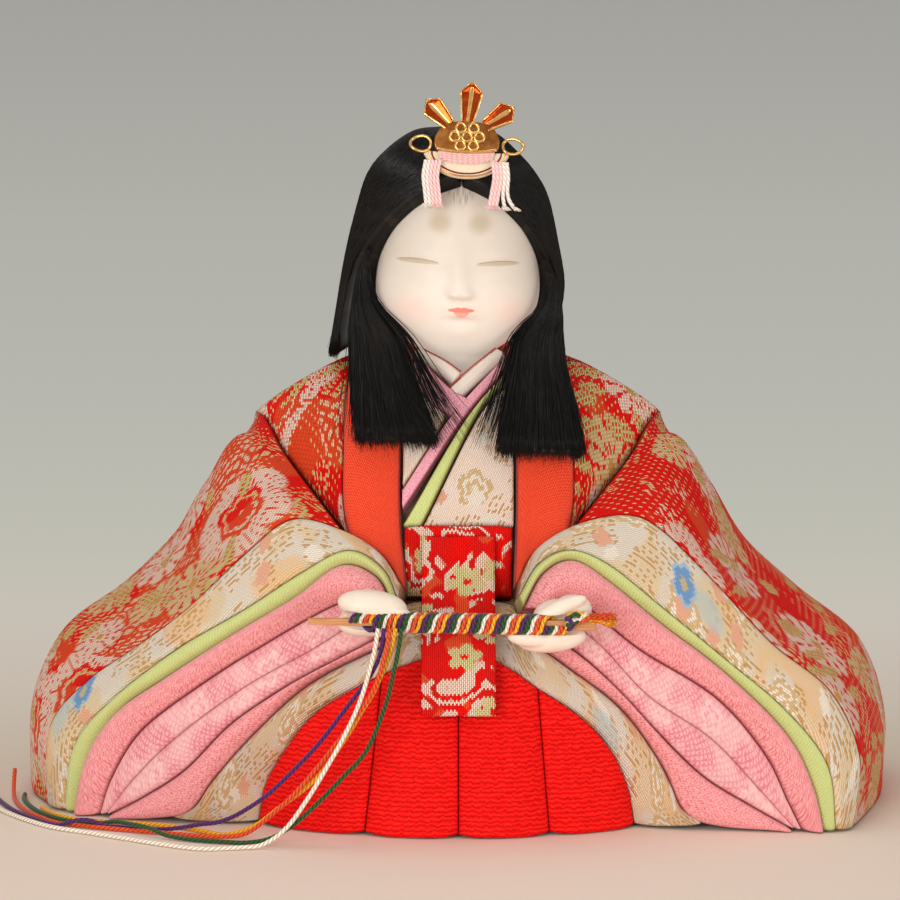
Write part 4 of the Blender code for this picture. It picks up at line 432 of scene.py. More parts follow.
# Values of the looks
CLOTH_ROWS = 118
SIDE_ROLL = 0.0006
GROOVE_DEEP = 0.0006
CREASE_SHARE = 0.07
JACKET_GROOVE = 0.0002
COLLAR_ROLL = 0.0004
COLLAR_GROOVE = 0.0003
EDGE_SHARE = 0.3
FOLD_HEIGHT = 0.0005
FOLD_WAVE = 0.024
RIB_PITCH = 0.00125
RIB_HEIGHT = 0.00011
RIB_WANDER = 0.00013
RIB_WAVE = 2.3
PIPING_RADIUS = 0.00022
CORD_SEGMENT = 0.00055
CORD_PLIES = 3
FINE_LAY = 0.0011
BAND_CORDS = 5
RIBBON_CORD = 0.00056
CORD_LAY = 0.0042
PLY_DEEP = 0.16
WRAP_STRAND = 0.00112
KNOT_STRAND = 0.00115
BRUSH_HAIRS = 90
WRAP_ORDER = ("purple", "green", "white", "red", "yellow")
HAND_VOXEL = 0.0003
PRONG_SHOULDER = 0.72
PRONG_TIP_SHARE = 0.45
RIM_WIDE = 0.00042
RIM_RISE = 0.0010
FACE_RISE = 0.0006
HEAD_ROWS = 190
HEAD_COLUMNS = 220
NECK_ROWS = 16
BROW_PLACE = (5.3, 42.9)
EYE_INNER = 4.6
EYE_OUTER = 17.0
EYE_HEIGHT = 32.2
NOSE_TIP = 24.6
FACE_SHIFT = 1.2
EYE_SHIFT = 0.35
LIP_HEIGHT = 19.8
BLUE_FLOWERS = {"left": (106, 3, 1), "right": (53, 8, 1)}
FRONT_BLUE_FLOWERS = {"left": None, "right": (46, 7, 0)}

# Knot at the fan's right end, in millimetres in the fan's frame
KNOT_ROUTES = {
    "green": [(29.0, -1.8, 1.6), (30.4, -2.6, 2.6), (31.6, -3.0, 3.4), (32.6, -3.4, 2.6),
              (31.8, -3.6, 1.2), (30.4, -3.2, 0.6), (29.4, -2.4, 0.4)],
    "white": [(29.4, -1.6, 0.6), (30.8, -2.8, 1.6), (32.4, -3.6, 2.0), (33.6, -3.4, 3.0),
              (34.4, -2.9, 3.4)],
    "red": [(29.2, -1.4, -0.6), (30.6, -2.6, 0.4), (32.0, -3.3, 1.0), (33.6, -3.6, 2.0),
            (35.4, -3.3, 2.6), (36.8, -3.2, 2.4)],
    "yellow": [(29.4, -1.2, 2.4), (31.0, -2.0, 3.4), (32.8, -2.8, 3.6), (34.6, -3.0, 2.8),
               (36.4, -3.3, 2.0), (37.2, -3.2, 1.7)],
    "purple": [(29.2, -1.9, 2.2), (30.0, -2.9, 1.8), (30.8, -3.4, 0.8), (30.4, -2.8, -0.4),
               (29.4, -1.8, -0.9)],
}

# Hands in the fan's frame, in millimetres from the hand's place: middle, half axes, tilt in degrees
HAND_FORMS = {
    "left": [((-0.6, 3.0, 3.8), (9.0, 5.0, 4.0), -6), ((-1.5, 4.2, -0.6), (8.2, 3.4, 4.0), 4),
             ((5.0, 1.4, 2.6), (5.6, 2.6, 1.9), -20), ((-2.0, 9.5, 2.0), (6.6, 7.0, 4.8), 0),
             ((4.5, 3.0, -1.6), (6.4, 2.6, 2.7), 10)],
    "right": [((3.2, 1.2, 4.0), (7.4, 2.4, 2.2), 24), ((6.5, 4.0, 3.6), (5.0, 4.0, 3.6), 0),
              ((1.2, 3.2, -4.2), (9.0, 3.8, 3.6), 6), ((-4.4, 1.0, -3.8), (5.8, 2.4, 2.3), -4),
              ((3.0, 9.5, 0.0), (6.6, 7.0, 5.0), 0)],
}
HAND_GRIP = 0.0027
LOCK_LAYERS = 2
LOCK_ROWS = 40
LOCK_COLUMNS = 48
LOCK_OUTER_SHARE = 0.88
LOCK_HAIRS = 1200
WIG_LAYERS = 2
WIG_LIFT = 0.0002
COMB_DEEP = 0.00012
WIG_HAIRS = 1500
HAIR_STRAND = 0.00011
BACK_HAIR_STRAND = 0.00014
BACK_HAIR_START = (0, -0.0028, 0.0055)
HAIR_ASIDE = (0.31, 0.87, 0.38)

# Pink cloth folded under the white collars on the left, seen from the front
UNDER_COLLAR_SHARES = ([(-0.122, 0.950), (-0.074, 0.897), (-0.022, 0.866)],
                       [(-0.088, 0.984), (-0.024, 0.926), (0.022, 0.900)])
UNDER_COLLAR_LIFT = 0.0008

# Lamps: name, place, size, power, colour
LAMPS = (
    ("key_lamp", (-0.60, -1.45, 0.30), 0.7, 11.5, (1.0, 0.985, 0.96)),
    ("fill_lamp", (0.95, -1.25, 0.10), 0.9, 8.0, (1.0, 0.985, 0.965)),
    ("top_lamp", (-0.2, 0.05, 1.3), 0.7, 2.0, (1.0, 0.99, 0.97)),
)
WORLD_LIGHT = 0.60

# Sweep of paper behind the doll, and the painted light it glows with: its colours by height in the picture
SWEEP_BACK = 1.7
PAPER_RADIUS = 0.4
SWEEP_TOP = 1.2
SWEEP_REACH = 4.0
SWEEP_FRONT = 1.05
PAPER_FADE = (0.12, 0.34)
PAPER_SHARE = 1.18
PAPER_LIGHT_STOPS = ((0.0, (228, 211, 198)), (0.08, (224, 209, 196)), (0.17, (212, 200, 184)),
               (0.27, (204, 194, 182)), (0.39, (191, 189, 177)), (0.55, (182, 182, 174)),
               (0.78, (174, 173, 166)), (1.0, (163, 162, 157)))
LOCK_NECK = 0.50
LOCK_NECK_SHARE = 0.36
# Strength of the painted light: the lower face and chin glow with their own colour
CHIN_PAINTED_LIGHT = 0.42
SCALP_MARK = -0.05
SCALP_DEPTH = 0.004


class Wire:
    """A node's output socket, or a value on its way to one, used in plain sums."""

    def __init__(self, finish, socket):
        self.finish = finish
        self.socket = socket


def wire_operator(operation, turned=False):
    """A method of Wire that adds one Math node; turned, it takes the wire as its second value."""
    def apply(self, other=0.0):
        first, second = (other, self) if turned else (self, other)
        return self.finish.maths(operation, first, second)
    return apply


for short, operation in (("add", "ADD"), ("sub", "SUBTRACT"), ("mul", "MULTIPLY"), ("truediv", "DIVIDE")):
    setattr(Wire, "__%s__" % short, wire_operator(operation))
    setattr(Wire, "__r%s__" % short, wire_operator(operation, True))
for short, operation in (("pow", "POWER"), ("gt", "GREATER_THAN"), ("abs", "ABSOLUTE")):
    setattr(Wire, "__%s__" % short, wire_operator(operation))


class Finish:
    """One Principled material, written as sums of wires."""

    def __init__(self, name, **sockets):
        self.material = bpy.data.materials.new(name)
        self.material.use_nodes = True
        self.tree = self.material.node_tree
        self.shader = self.tree.nodes["Principled BSDF"]
        for key, value in sockets.items():
            self.shader.inputs[key.replace("_", " ").title().replace("Ior", "IOR")].default_value = value

    def feed(self, socket, value):
        """Link a wire to a socket, or set a plain value on it."""
        if isinstance(value, Wire):
            self.tree.links.new(value.socket, socket)
        elif hasattr(value, "__len__") and len(value) == 3 and socket.type == "RGBA":
            socket.default_value = (*value, 1.0)
        else:
            socket.default_value = value

    def node(self, kind, settings=(), inputs=(), output=0):
        """Any node: its settings first, then the values or wires of its sockets."""
        made = self.tree.nodes.new("ShaderNode" + kind)
        for key, value in dict(settings).items():
            if key == "stops":
                ramp = made.color_ramp
                while len(ramp.elements) < len(value):
                    ramp.elements.new(1.0)
                for element, (place, colour) in zip(ramp.elements, value):
                    element.position = place
                    element.color = (*colour, 1.0)
            elif key == "interpolation":
                made.color_ramp.interpolation = value
            else:
                setattr(made, key, value)
        for key, value in dict(inputs).items():
            self.feed(made.inputs[key], value)
        return Wire(self, made.outputs[output])

    def maths(self, operation, first, second=0.0):
        """A Math node on two values."""
        return self.node("Math", {"operation": operation}, {0: first, 1: second})

    def sine(self, value):
        """Sine of a value in radians."""
        return self.maths("SINE", value)

    def cosine(self, value):
        """Cosine of a value in radians."""
        return self.maths("COSINE", value)

    def root(self, value):
        """Square root."""
        return self.maths("SQRT", value)

    def wave(self, value, pitch):
        """Sine of so many millimetres a turn, raised to run from 0 to 1."""
        return self.sine(value * (TAU / pitch)) * 0.5 + 0.5

    def bands(self, value, pitch, low, high):
        """Bands of a sine of so many millimetres a turn: 0 below low, 1 above high."""
        return self.between(self.sine(value * (TAU / pitch)), low, high)

    def between(self, value, low, high):
        """Smooth step: 0 below low, 1 above high."""
        return self.node("MapRange", {"interpolation_type": "SMOOTHSTEP"},
                         {"Value": value, "From Min": low, "From Max": high})

    def mix(self, factor, first, second):
        """Colour between two colours."""
        return self.node("Mix", {"data_type": "RGBA"}, {0: factor, 6: first, 7: second}, 2)

    def shade(self, colour, factor):
        """A colour made lighter or darker by a number."""
        return self.node("VectorMath", {"operation": "SCALE"}, {0: colour, "Scale": factor})

    def split(self, vector):
        """The three parts of a vector."""
        made = self.node("SeparateXYZ", (), {0: vector})
        return [Wire(self, socket) for socket in made.socket.node.outputs]

    def join(self, x, y, z=0.0):
        """A vector from three numbers."""
        return self.node("CombineXYZ", (), {0: x, 1: y, 2: z})

    def cloth_place(self):
        """Place on a cloth piece in millimetres: along its length and across it."""
        place = self.node("UVMap", {"uv_map": "cloth"})
        u, v, w = self.split(place)
        return u / MM, v / MM

    def place(self):
        """Place in the doll's frame, in millimetres."""
        spot = self.node("TexCoord", (), (), 3)
        return self.node("VectorMath", {"operation": "SCALE"}, {0: spot, "Scale": 1 / MM})

    def noise(self, vector, scale, detail=2.0, roughness=0.5):
        """Cloudy noise from 0 to 1; scale is in lumps per millimetre."""
        vector = self.join(*vector) if isinstance(vector, tuple) else vector
        return self.node("TexNoise", {"noise_dimensions": "3D"},
                         {"Vector": vector, "Scale": scale, "Detail": detail,
                          "Roughness": roughness})

    def cells(self, vector, scale, feature="F1", output=0, randomness=0.8):
        """Scattered cells; output 0 is the distance, 1 a random colour, 2 the cell's middle."""
        return self.node("TexVoronoi", {"voronoi_dimensions": "2D", "feature": feature},
                         {"Vector": vector, "Scale": scale, "Randomness": randomness}, output)

    def bump(self, height, depth_mm, strength=1.0):
        """Bump of a height from 0 to 1, so many millimetres deep."""
        normal = self.node("Bump", (), {"Height": height, "Distance": depth_mm * MM,
                                        "Strength": strength})
        self.feed(self.shader.inputs["Normal"], normal)

    def paint(self, colour):
        """Feed the base colour."""
        self.feed(self.shader.inputs["Base Color"], colour)

    def glow(self, colour):
        """Feed the emission colour."""
        self.feed(self.shader.inputs["Emission Color"], colour)

    def rough(self, value):
        """Feed the roughness."""
        self.feed(self.shader.inputs["Roughness"], value)


def linear(red, green, blue):
    """A colour given on a screen's scale from 0 to 255, as a linear colour."""
    parts = np.array([red, green, blue]) / 255
    return tuple(np.where(parts <= 0.04045, parts / 12.92, ((parts + 0.055) / 1.055) ** 2.4))


def picked(name):
    """A colour of the panel."""
    return tuple(getattr(bpy.context.scene.doll_colours, name))


def chosen(name):
    """A size or number of the panel."""
    return getattr(bpy.context.scene.doll_sizes, name)


def threads(finish, u, v, pitch_u, pitch_v):
    """Plain weave: sin of u times sin of v, raised to 0..1; warp and weft change places."""
    warp = finish.sine(u * (TAU / pitch_u))
    weft = finish.sine(v * (TAU / pitch_v))
    return warp * weft * 0.5 + 0.5


def flowers(finish, u, v, size, petals, fullness, seed, notch=0.5):
    """Scattered flowers: in each cell the edge is R (1 - notch + notch |cos(n a / 2)|).

    Gives the flower's mask, the distance from its middle as a share of the petal's length,
    the angle round it, and a random number of the cell.
    """
    spot = finish.join(u + seed * 13.7, v + seed * 7.3)
    middle = finish.cells(spot, 1 / size, output=2, randomness=0.75)
    chance = finish.cells(spot, 1 / size, output=1, randomness=0.75)
    pick, turn, other = finish.split(chance)
    offset = finish.node("VectorMath", {"operation": "SUBTRACT"}, {0: spot, 1: middle})
    x, y, z = finish.split(offset)
    angle = finish.maths("ARCTAN2", y, x) + turn * TAU
    far = finish.node("VectorMath", {"operation": "LENGTH"}, {0: offset}, 1)
    lobe = abs(finish.cosine(angle * (petals / 2)))
    edge = (lobe ** 0.6 * notch + (1 - notch)) * (size * fullness) * (pick * 0.35 + 0.75)
    share = far / edge
    return 1 - finish.between(share, 0.93, 1.03), share, angle, other


def seam_shadow(finish, colour, deep, reach=0.9):
    """The colour sinks to a deep one within so many millimetres of the piece's edges."""
    edge = finish.node("UVMap", {"uv_map": "edge"})
    near, far, rest = finish.split(edge)
    return finish.mix(finish.between(near / MM, -0.1, reach), deep, colour)


def crepe(name, colour, deep, shadow, grain=0.9, depth=0.14, sheen=0.2):
    """Silk crepe: a fine slanted grain of short raised threads, with painted shade in the hollows."""
    finish = Finish(name, roughness=0.75, sheen_weight=sheen, sheen_roughness=0.45, specular_ior_level=0.22)
    u, v = finish.cloth_place()
    wander = finish.noise((u, v), 0.8, 2.0) * 1.6
    grains = finish.noise((u * 1.5, v * 1.1), 1 / grain, 2.0, 0.6)
    twill = finish.wave((u + v * 0.8 + wander), 0.9)
    cross = finish.wave((u * 0.45 - v + wander), 0.75)
    height = grains * 0.75 + twill * cross * 0.40
    soft = finish.noise(finish.place(), 0.045, 2.0)
    # Painted shade: the low parts of the grain take the deep colour; a painted seam shadow darkens the edges
    tone = finish.between(height, 0.18, 0.62)
    body = finish.shade(finish.mix(tone, deep, colour), soft * 0.14 + 0.93)
    finish.paint(seam_shadow(finish, body, shadow, 0.6))
    finish.bump(height, depth)
    return finish.material


def damask(name, colour, deep, pale, shadow):
    """Pale crepe woven all over with small lozenges, and flowers that barely show."""
    finish = Finish(name, roughness=0.6, sheen_weight=0.2, specular_ior_level=0.28)
    u, v = finish.cloth_place()
    bloom, share, angle, chance = flowers(finish, u, v, 13.0, 5, 0.46, 3)
    veins = finish.between(finish.sine(share * 13.0), -0.3, 0.3)
    wander = finish.noise((u, v), 0.7, 2.0) * 1.1
    slant = finish.wave((u + v + wander), 1.7)
    other = finish.wave((u - v + wander), 1.7)
    grains = finish.noise((u * 1.4, v), 1.3, 2.0, 0.6)
    lozenge = finish.maths("MINIMUM", slant, other)
    tone = finish.mix(finish.between(lozenge * 0.35 + grains * 0.75, 0.28, 0.68), deep, colour)
    woven = bloom * (veins * 0.35 + 0.2)
    cloudy = finish.between(finish.noise((u, v), 0.09, 1.0), 0.44, 0.58) * 0.35
    tone = finish.mix(finish.maths("MAXIMUM", woven, cloudy), tone, pale)
    finish.paint(seam_shadow(finish, tone, shadow, 0.7))
    finish.bump(lozenge * 0.4 + grains * 0.7, 0.13)
    return finish.material


def hakama_crepe():
    """Red crepe with level ribs sin(2 pi (z + wander) / pitch), with painted shade between them and a painted
    highlight on their tops.
    """
    finish = Finish("hakama_red_crepe", roughness=0.66, sheen_weight=0.08, sheen_tint=(1.0, 0.25, 0.2, 1.0), specular_ior_level=0.10)
    x, y, z = finish.split(finish.place())
    first = finish.sine(x * RIB_WAVE + z * 0.31)
    second = finish.sine(x * RIB_WAVE * 1.9 - z * 0.7 + 1.3)
    drift = (finish.noise((x * 0.5, y * 0.5, z), 0.9, 2.0) - 0.5) * 1.5
    wander = (first + second * 0.7) * (RIB_WANDER / MM) + drift
    rib = finish.sine((z + wander) * (TAU * MM / chosen("rib_pitch"))) * 0.5 + 0.5
    grains = finish.noise((x * 1.6, y, z * 3.0), 1.1, 2.0)
    height = rib * 0.75 + grains * 0.35
    # Painted shade in the hollows between the ribs and a painted highlight on their tops; a painted seam shadow at
    # the edges
    low = finish.mix(finish.between(height, 0.10, 0.50), linear(196, 2, 4), picked("hakama_red"))
    colour = finish.mix(finish.between(height, 0.66, 1.0), low, linear(248, 38, 30))
    finish.paint(seam_shadow(finish, colour, linear(140, 0, 4), 0.4))
    finish.bump(height, 0.16)
    return finish.material


def lapel_crepe():
    """Orange red crepe with a coarse slanted twill."""
    finish = Finish("lapel_orange_crepe", roughness=0.7, sheen_weight=0.15, specular_ior_level=0.2)
    u, v = finish.cloth_place()
    grains = finish.noise((u * 1.2, v * 1.6), 1.4, 2.0)
    twill = finish.wave((u * 0.9 + v * 1.4 + grains * 0.9), 1.25)
    rows = finish.wave((u - v * 0.2), 0.85)
    height = twill * 0.45 + rows * 0.3 + grains * 0.4
    colour = finish.mix(finish.between(height, 0.25, 0.75), linear(216, 40, 16), picked("lapel_orange"))
    finish.paint(seam_shadow(finish, colour, linear(170, 24, 10), 0.4))
    finish.bump(height, 0.17)
    return finish.material


def lattice(finish, u, v, long, high):
    """Woven stitches: u and v snapped to a brick lattice, and each stitch's raised middle."""
    row = finish.maths("FLOOR", v / high)
    shift = finish.maths("MODULO", row, 2.0) * 0.5
    place = u / long + shift
    column = finish.maths("FLOOR", place)
    inside_u = place - column
    inside_v = v / high - row
    bulge_u = finish.sine(inside_u * math.pi)
    bulge_v = finish.sine(inside_v * math.pi)
    stitch = bulge_u ** 0.5 * bulge_v
    return (column - shift + 0.5) * long, (row + 0.5) * high, stitch


def red_brocade(name, turn, seed, orange=0.5):
    """Red silk with woven flowers, leaves and hatched clouds in cream, gilt and orange.

    Every motif is read at the middle of a stitch, so its edges step with the weave.
    """
    finish = Finish(name, roughness=0.5, sheen_weight=0.0, specular_ior_level=0.1)
    u, v = finish.cloth_place()
    snap_u, snap_v, stitch = lattice(finish, u, v, 1.1, 0.55)
    sway = finish.noise((u, v), 0.05, 1.0)
    across = snap_u * math.cos(turn) + snap_v * math.sin(turn) + sway * 6.0
    along = snap_v * math.cos(turn) - snap_u * math.sin(turn) + sway * 4.0
    ember = finish.noise((across * 0.8 + seed * 9.0, along * 1.2), 0.040, 1.0)
    warm = finish.between(ember, 0.62 - orange * 0.16, 0.64 - orange * 0.16)
    ground = finish.mix(warm * 0.85, picked("jacket_red"), linear(238, 88, 40))
    gold = finish.mix(finish.between(ember, 0.40, 0.60), linear(230, 206, 134), linear(242, 222, 190))

    curl = finish.noise((across, along), 0.050, 1.0) * 14.0
    lines = finish.bands((along + curl * 1.5), 1.75, -0.25, 0.20)
    dashes = finish.bands((across + curl + along * 0.7), 3.4, -0.65, -0.45)
    field = finish.noise((across * 0.8 + 70.0, along + seed * 5.0), 0.060, 2.0, 0.55)
    hatch = finish.between(field, 0.56 - orange * 0.07, 0.57 - orange * 0.07)
    colour = finish.mix(hatch * lines * dashes, ground, gold)
    pins = finish.sine(snap_u * (TAU / 4.4)) * finish.sine(snap_v * (TAU / 2.2))
    dotted = finish.between(field, 0.40, 0.42) * (1 - hatch) * finish.between(pins, 0.60, 0.70)
    colour = finish.mix(dotted * 0.85, colour, linear(240, 208, 140))

    white = picked("jacket_white")
    peony, share, angle, chance = flowers(finish, across, along, 40.0, 6, 0.46, seed + 3, 0.26)
    edge = finish.noise((across, along), 0.5, 2.0) * 0.30
    streaks = finish.between(abs(finish.cosine(angle * 19.0 + share * 4.0)) + edge, 0.30, 0.45)
    rim = finish.between(share + edge, 0.62, 0.66) * streaks
    curve = finish.between(finish.sine(share * 19.0 + edge * 9.0), 0.66, 0.76)
    body = finish.mix(curve * streaks, ground, gold)
    colour = finish.mix(peony * (chance > 0.42), colour, finish.mix(rim, body, white))

    bloom, share, angle, chance = flowers(finish, across, along, 24.0, 12, 0.46, seed, 0.22)
    spokes = abs(finish.cosine(angle * 6.0))
    ring = finish.maths("PINGPONG", share * 2.5, 0.5) * 2.0
    petals = finish.between(spokes * 0.75 + ring * 0.50, 0.44, 0.50)
    pale = finish.mix(chance > 0.75, linear(226, 214, 158), white)
    flower = finish.mix(petals, ground, pale)
    flower = finish.mix(finish.between(share, 0.16, 0.18), linear(214, 176, 90), flower)
    colour = finish.mix(bloom * (chance > 0.50), colour, flower)

    leaf, share, angle, chance = flowers(finish, across * 2.1, along, 13.0, 2, 0.45, seed + 9, 0.4)
    vein = finish.between(abs(finish.sine(along * 2.2)), 0.3, 0.4)
    green = finish.mix(vein, ground, linear(208, 212, 138))
    colour = finish.mix(leaf * (chance > 0.70), colour, green)
    raised = finish.maths("MAXIMUM", finish.maths("MAXIMUM", bloom, peony), hatch * lines)

    # Painted shade between the stitches: the low part of each stitch takes a dark red
    stitch_gap_shade = finish.between(stitch, 0.12, 0.58)
    colour = finish.mix(stitch_gap_shade * 0.85 + 0.15, linear(184, 8, 6), colour)
    finish.paint(seam_shadow(finish, colour, linear(150, 8, 8), 0.30))
    finish.rough(0.58 - raised * 0.12)
    finish.bump(stitch * 0.7 + raised * 0.35, 0.28)
    return finish.material


def sash_brocade():
    """Bright red silk with curled white figures, pale green leaves and a few orange clouds.

    The curls are level bands of a soft field, sin(k f) above a bound, within patches of another.
    """
    finish = Finish("sash_brocade", roughness=0.5, specular_ior_level=0.12)
    u, v = finish.cloth_place()
    snap_u, snap_v, stitch = lattice(finish, u, v, 1.0, 0.5)
    ember = finish.noise((snap_u + 50.0, snap_v * 1.6), 0.09, 1.0)
    ground = finish.mix(finish.between(ember, 0.60, 0.62) * 0.7, picked("jacket_red"), linear(242, 104, 56))
    field = finish.noise((snap_u + 12.0, snap_v + 4.0), 0.085, 1.0)
    curls = finish.between(finish.sine(field * 44.0), 0.05, 0.15)
    patch = finish.between(finish.noise((snap_u + 31.0, snap_v + 9.0), 0.075, 1.0), 0.49, 0.50)
    colour = finish.mix(curls * patch, ground, picked("jacket_white"))
    leaf, share, angle, chance = flowers(finish, snap_u * 1.2, snap_v, 12.5, 5, 0.44, 6.0, 0.5)
    vein = finish.between(share, 0.20, 0.26)
    colour = finish.mix(leaf * (chance > 0.62), colour, finish.mix(vein, ground, linear(222, 222, 160)))
    # Painted shade between the stitches: the low part of each stitch takes a dark red
    stitch_gap_shade = finish.between(stitch, 0.12, 0.58)
    colour = finish.mix(stitch_gap_shade * 0.8 + 0.2, linear(176, 8, 6), colour)
    finish.paint(seam_shadow(finish, colour, linear(150, 8, 8), 0.30))
    finish.bump(stitch * 0.7 + curls * patch * 0.35, 0.28)
    return finish.material


def cream_brocade(name, seed, blue, warm=0.5, gilt_at=0.49, pale=0.0):
    """Ivory silk with stepped gilt stitches, apricot and grey passages and white flowers.

    A blue flower with a light centre and a haze beside it stand where blue gives their place on
    the cloth, or the haze alone where its third number is 0.
    """
    finish = Finish(name, roughness=0.45, sheen_weight=0.08, specular_ior_level=0.35)
    u, v = finish.cloth_place()
    snap_u, snap_v, stitch = lattice(finish, u, v, 1.05, 0.56)
    sway = finish.noise((u, v), 0.06, 1.0)
    across = snap_u + sway * 4.0
    along = snap_v + sway * 3.0
    grey = finish.between(finish.noise((across + seed * 11.0, along), 0.07, 1.0), 0.45, 0.52)
    ground = finish.mix(grey, linear(226, 204, 170), linear(224, 214, 200))
    apricot = finish.between(finish.noise((across + 40.0 * seed, along), 0.055, 1.0),
                             0.60 - warm * 0.12, 0.66 - warm * 0.12)
    ground = finish.mix(apricot * 0.7, ground, linear(238, 190, 136))
    if pale:
        ground = finish.mix(pale, ground, linear(250, 226, 214))

    step = finish.maths("FLOOR", across / 3.8) * 1.3
    rows = finish.bands((along + step), 1.55, 0.15, 0.25)
    keys = finish.between(finish.sine(across * (TAU / 2.4) + step), -0.55, -0.45)
    patch = finish.between(finish.noise((across, along + seed * 3.0), 0.075, 2.0), gilt_at - 0.01, gilt_at + 0.01)
    colour = finish.mix(patch * rows * keys * 0.9, ground, linear(196, 142, 70))

    wave, share, angle, chance = flowers(finish, across, along, 13.0, 5, 0.46, seed, 0.35)
    veins = finish.between(finish.sine(share * 14.0), 0.1, 0.3)
    white = finish.mix(veins, linear(214, 178, 128), linear(240, 228, 212))
    colour = finish.mix(wave * (chance > 0.58), colour, white)
    small, share, angle, chance = flowers(finish, across, along, 6.5, 5, 0.44, seed + 4, 0.4)
    tint = finish.mix(chance > 0.88, linear(240, 230, 216), linear(232, 168, 140))
    colour = finish.mix(small * (chance > 0.76), colour, tint)
    if blue is not None:
        x = snap_u - blue[0]
        y = snap_v - blue[1]
        far = finish.root(x * x + y * y)
        angle = finish.maths("ARCTAN2", y, x)
        lobe = abs(finish.cosine(angle * 2.5 + 0.4))
        share = far / (lobe ** 0.6 * 1.5 + 3.1)
        petal = 1 - finish.between(share, 0.97, 1.0)
        body = finish.mix(finish.between(share, 0.30, 0.36), linear(196, 176, 130), linear(84, 150, 208))
        rim = finish.between(share, 0.78, 0.84)
        colour = finish.mix(petal * blue[2], colour, finish.mix(rim, body, linear(158, 192, 216)))
        haze = finish.root(((x - 9.0 * blue[2]) * 0.8) ** 2.0 + (y * 1.4) ** 2.0)
        colour = finish.mix((1 - finish.between(haze, 3.0, 5.5)) * 0.65, colour, linear(176, 206, 212))
    # Painted shade between the stitches: the low part of each stitch takes a dark tan
    stitch_gap_shade = finish.between(stitch, 0.02, 0.5)
    colour = finish.mix(stitch_gap_shade * 0.60 + 0.40, linear(178, 142, 96), colour)
    finish.paint(seam_shadow(finish, colour, linear(160, 118, 70), 0.35))
    finish.rough(0.5 - patch * rows * 0.12)
    finish.bump(stitch * 0.7 + wave * 0.3, 0.24)
    return finish.material


def plain_silk(name, colour, deep):
    """Plain woven silk with a soft sheen."""
    finish = Finish(name, roughness=0.5, sheen_weight=0.15, specular_ior_level=0.35)
    u, v = finish.cloth_place()
    weave = threads(finish, u, v, 0.55, 0.55)
    slub = finish.noise((u * 0.4, v * 2.0), 1.1, 2.0)
    ribs = finish.wave((u + slub * 0.8), 0.9)
    tone = finish.mix(weave * 0.3 + ribs * 0.35 + slub * 0.35, deep, colour)
    finish.paint(seam_shadow(finish, tone, linear(150, 140, 60), 0.4))
    finish.bump(ribs * 0.6 + weave * 0.4, 0.10)
    return finish.material


def piped_silk():
    """White collar silk; its outer edge carries a thin red piping."""
    finish = Finish("collar_white_silk", roughness=0.5, sheen_weight=0.15)
    u, v = finish.cloth_place()
    weave = threads(finish, u, v, 0.5, 0.5)
    finish.paint(finish.mix(weave, linear(228, 210, 196), linear(246, 232, 220)))
    finish.bump(weave, 0.04)
    return finish.material


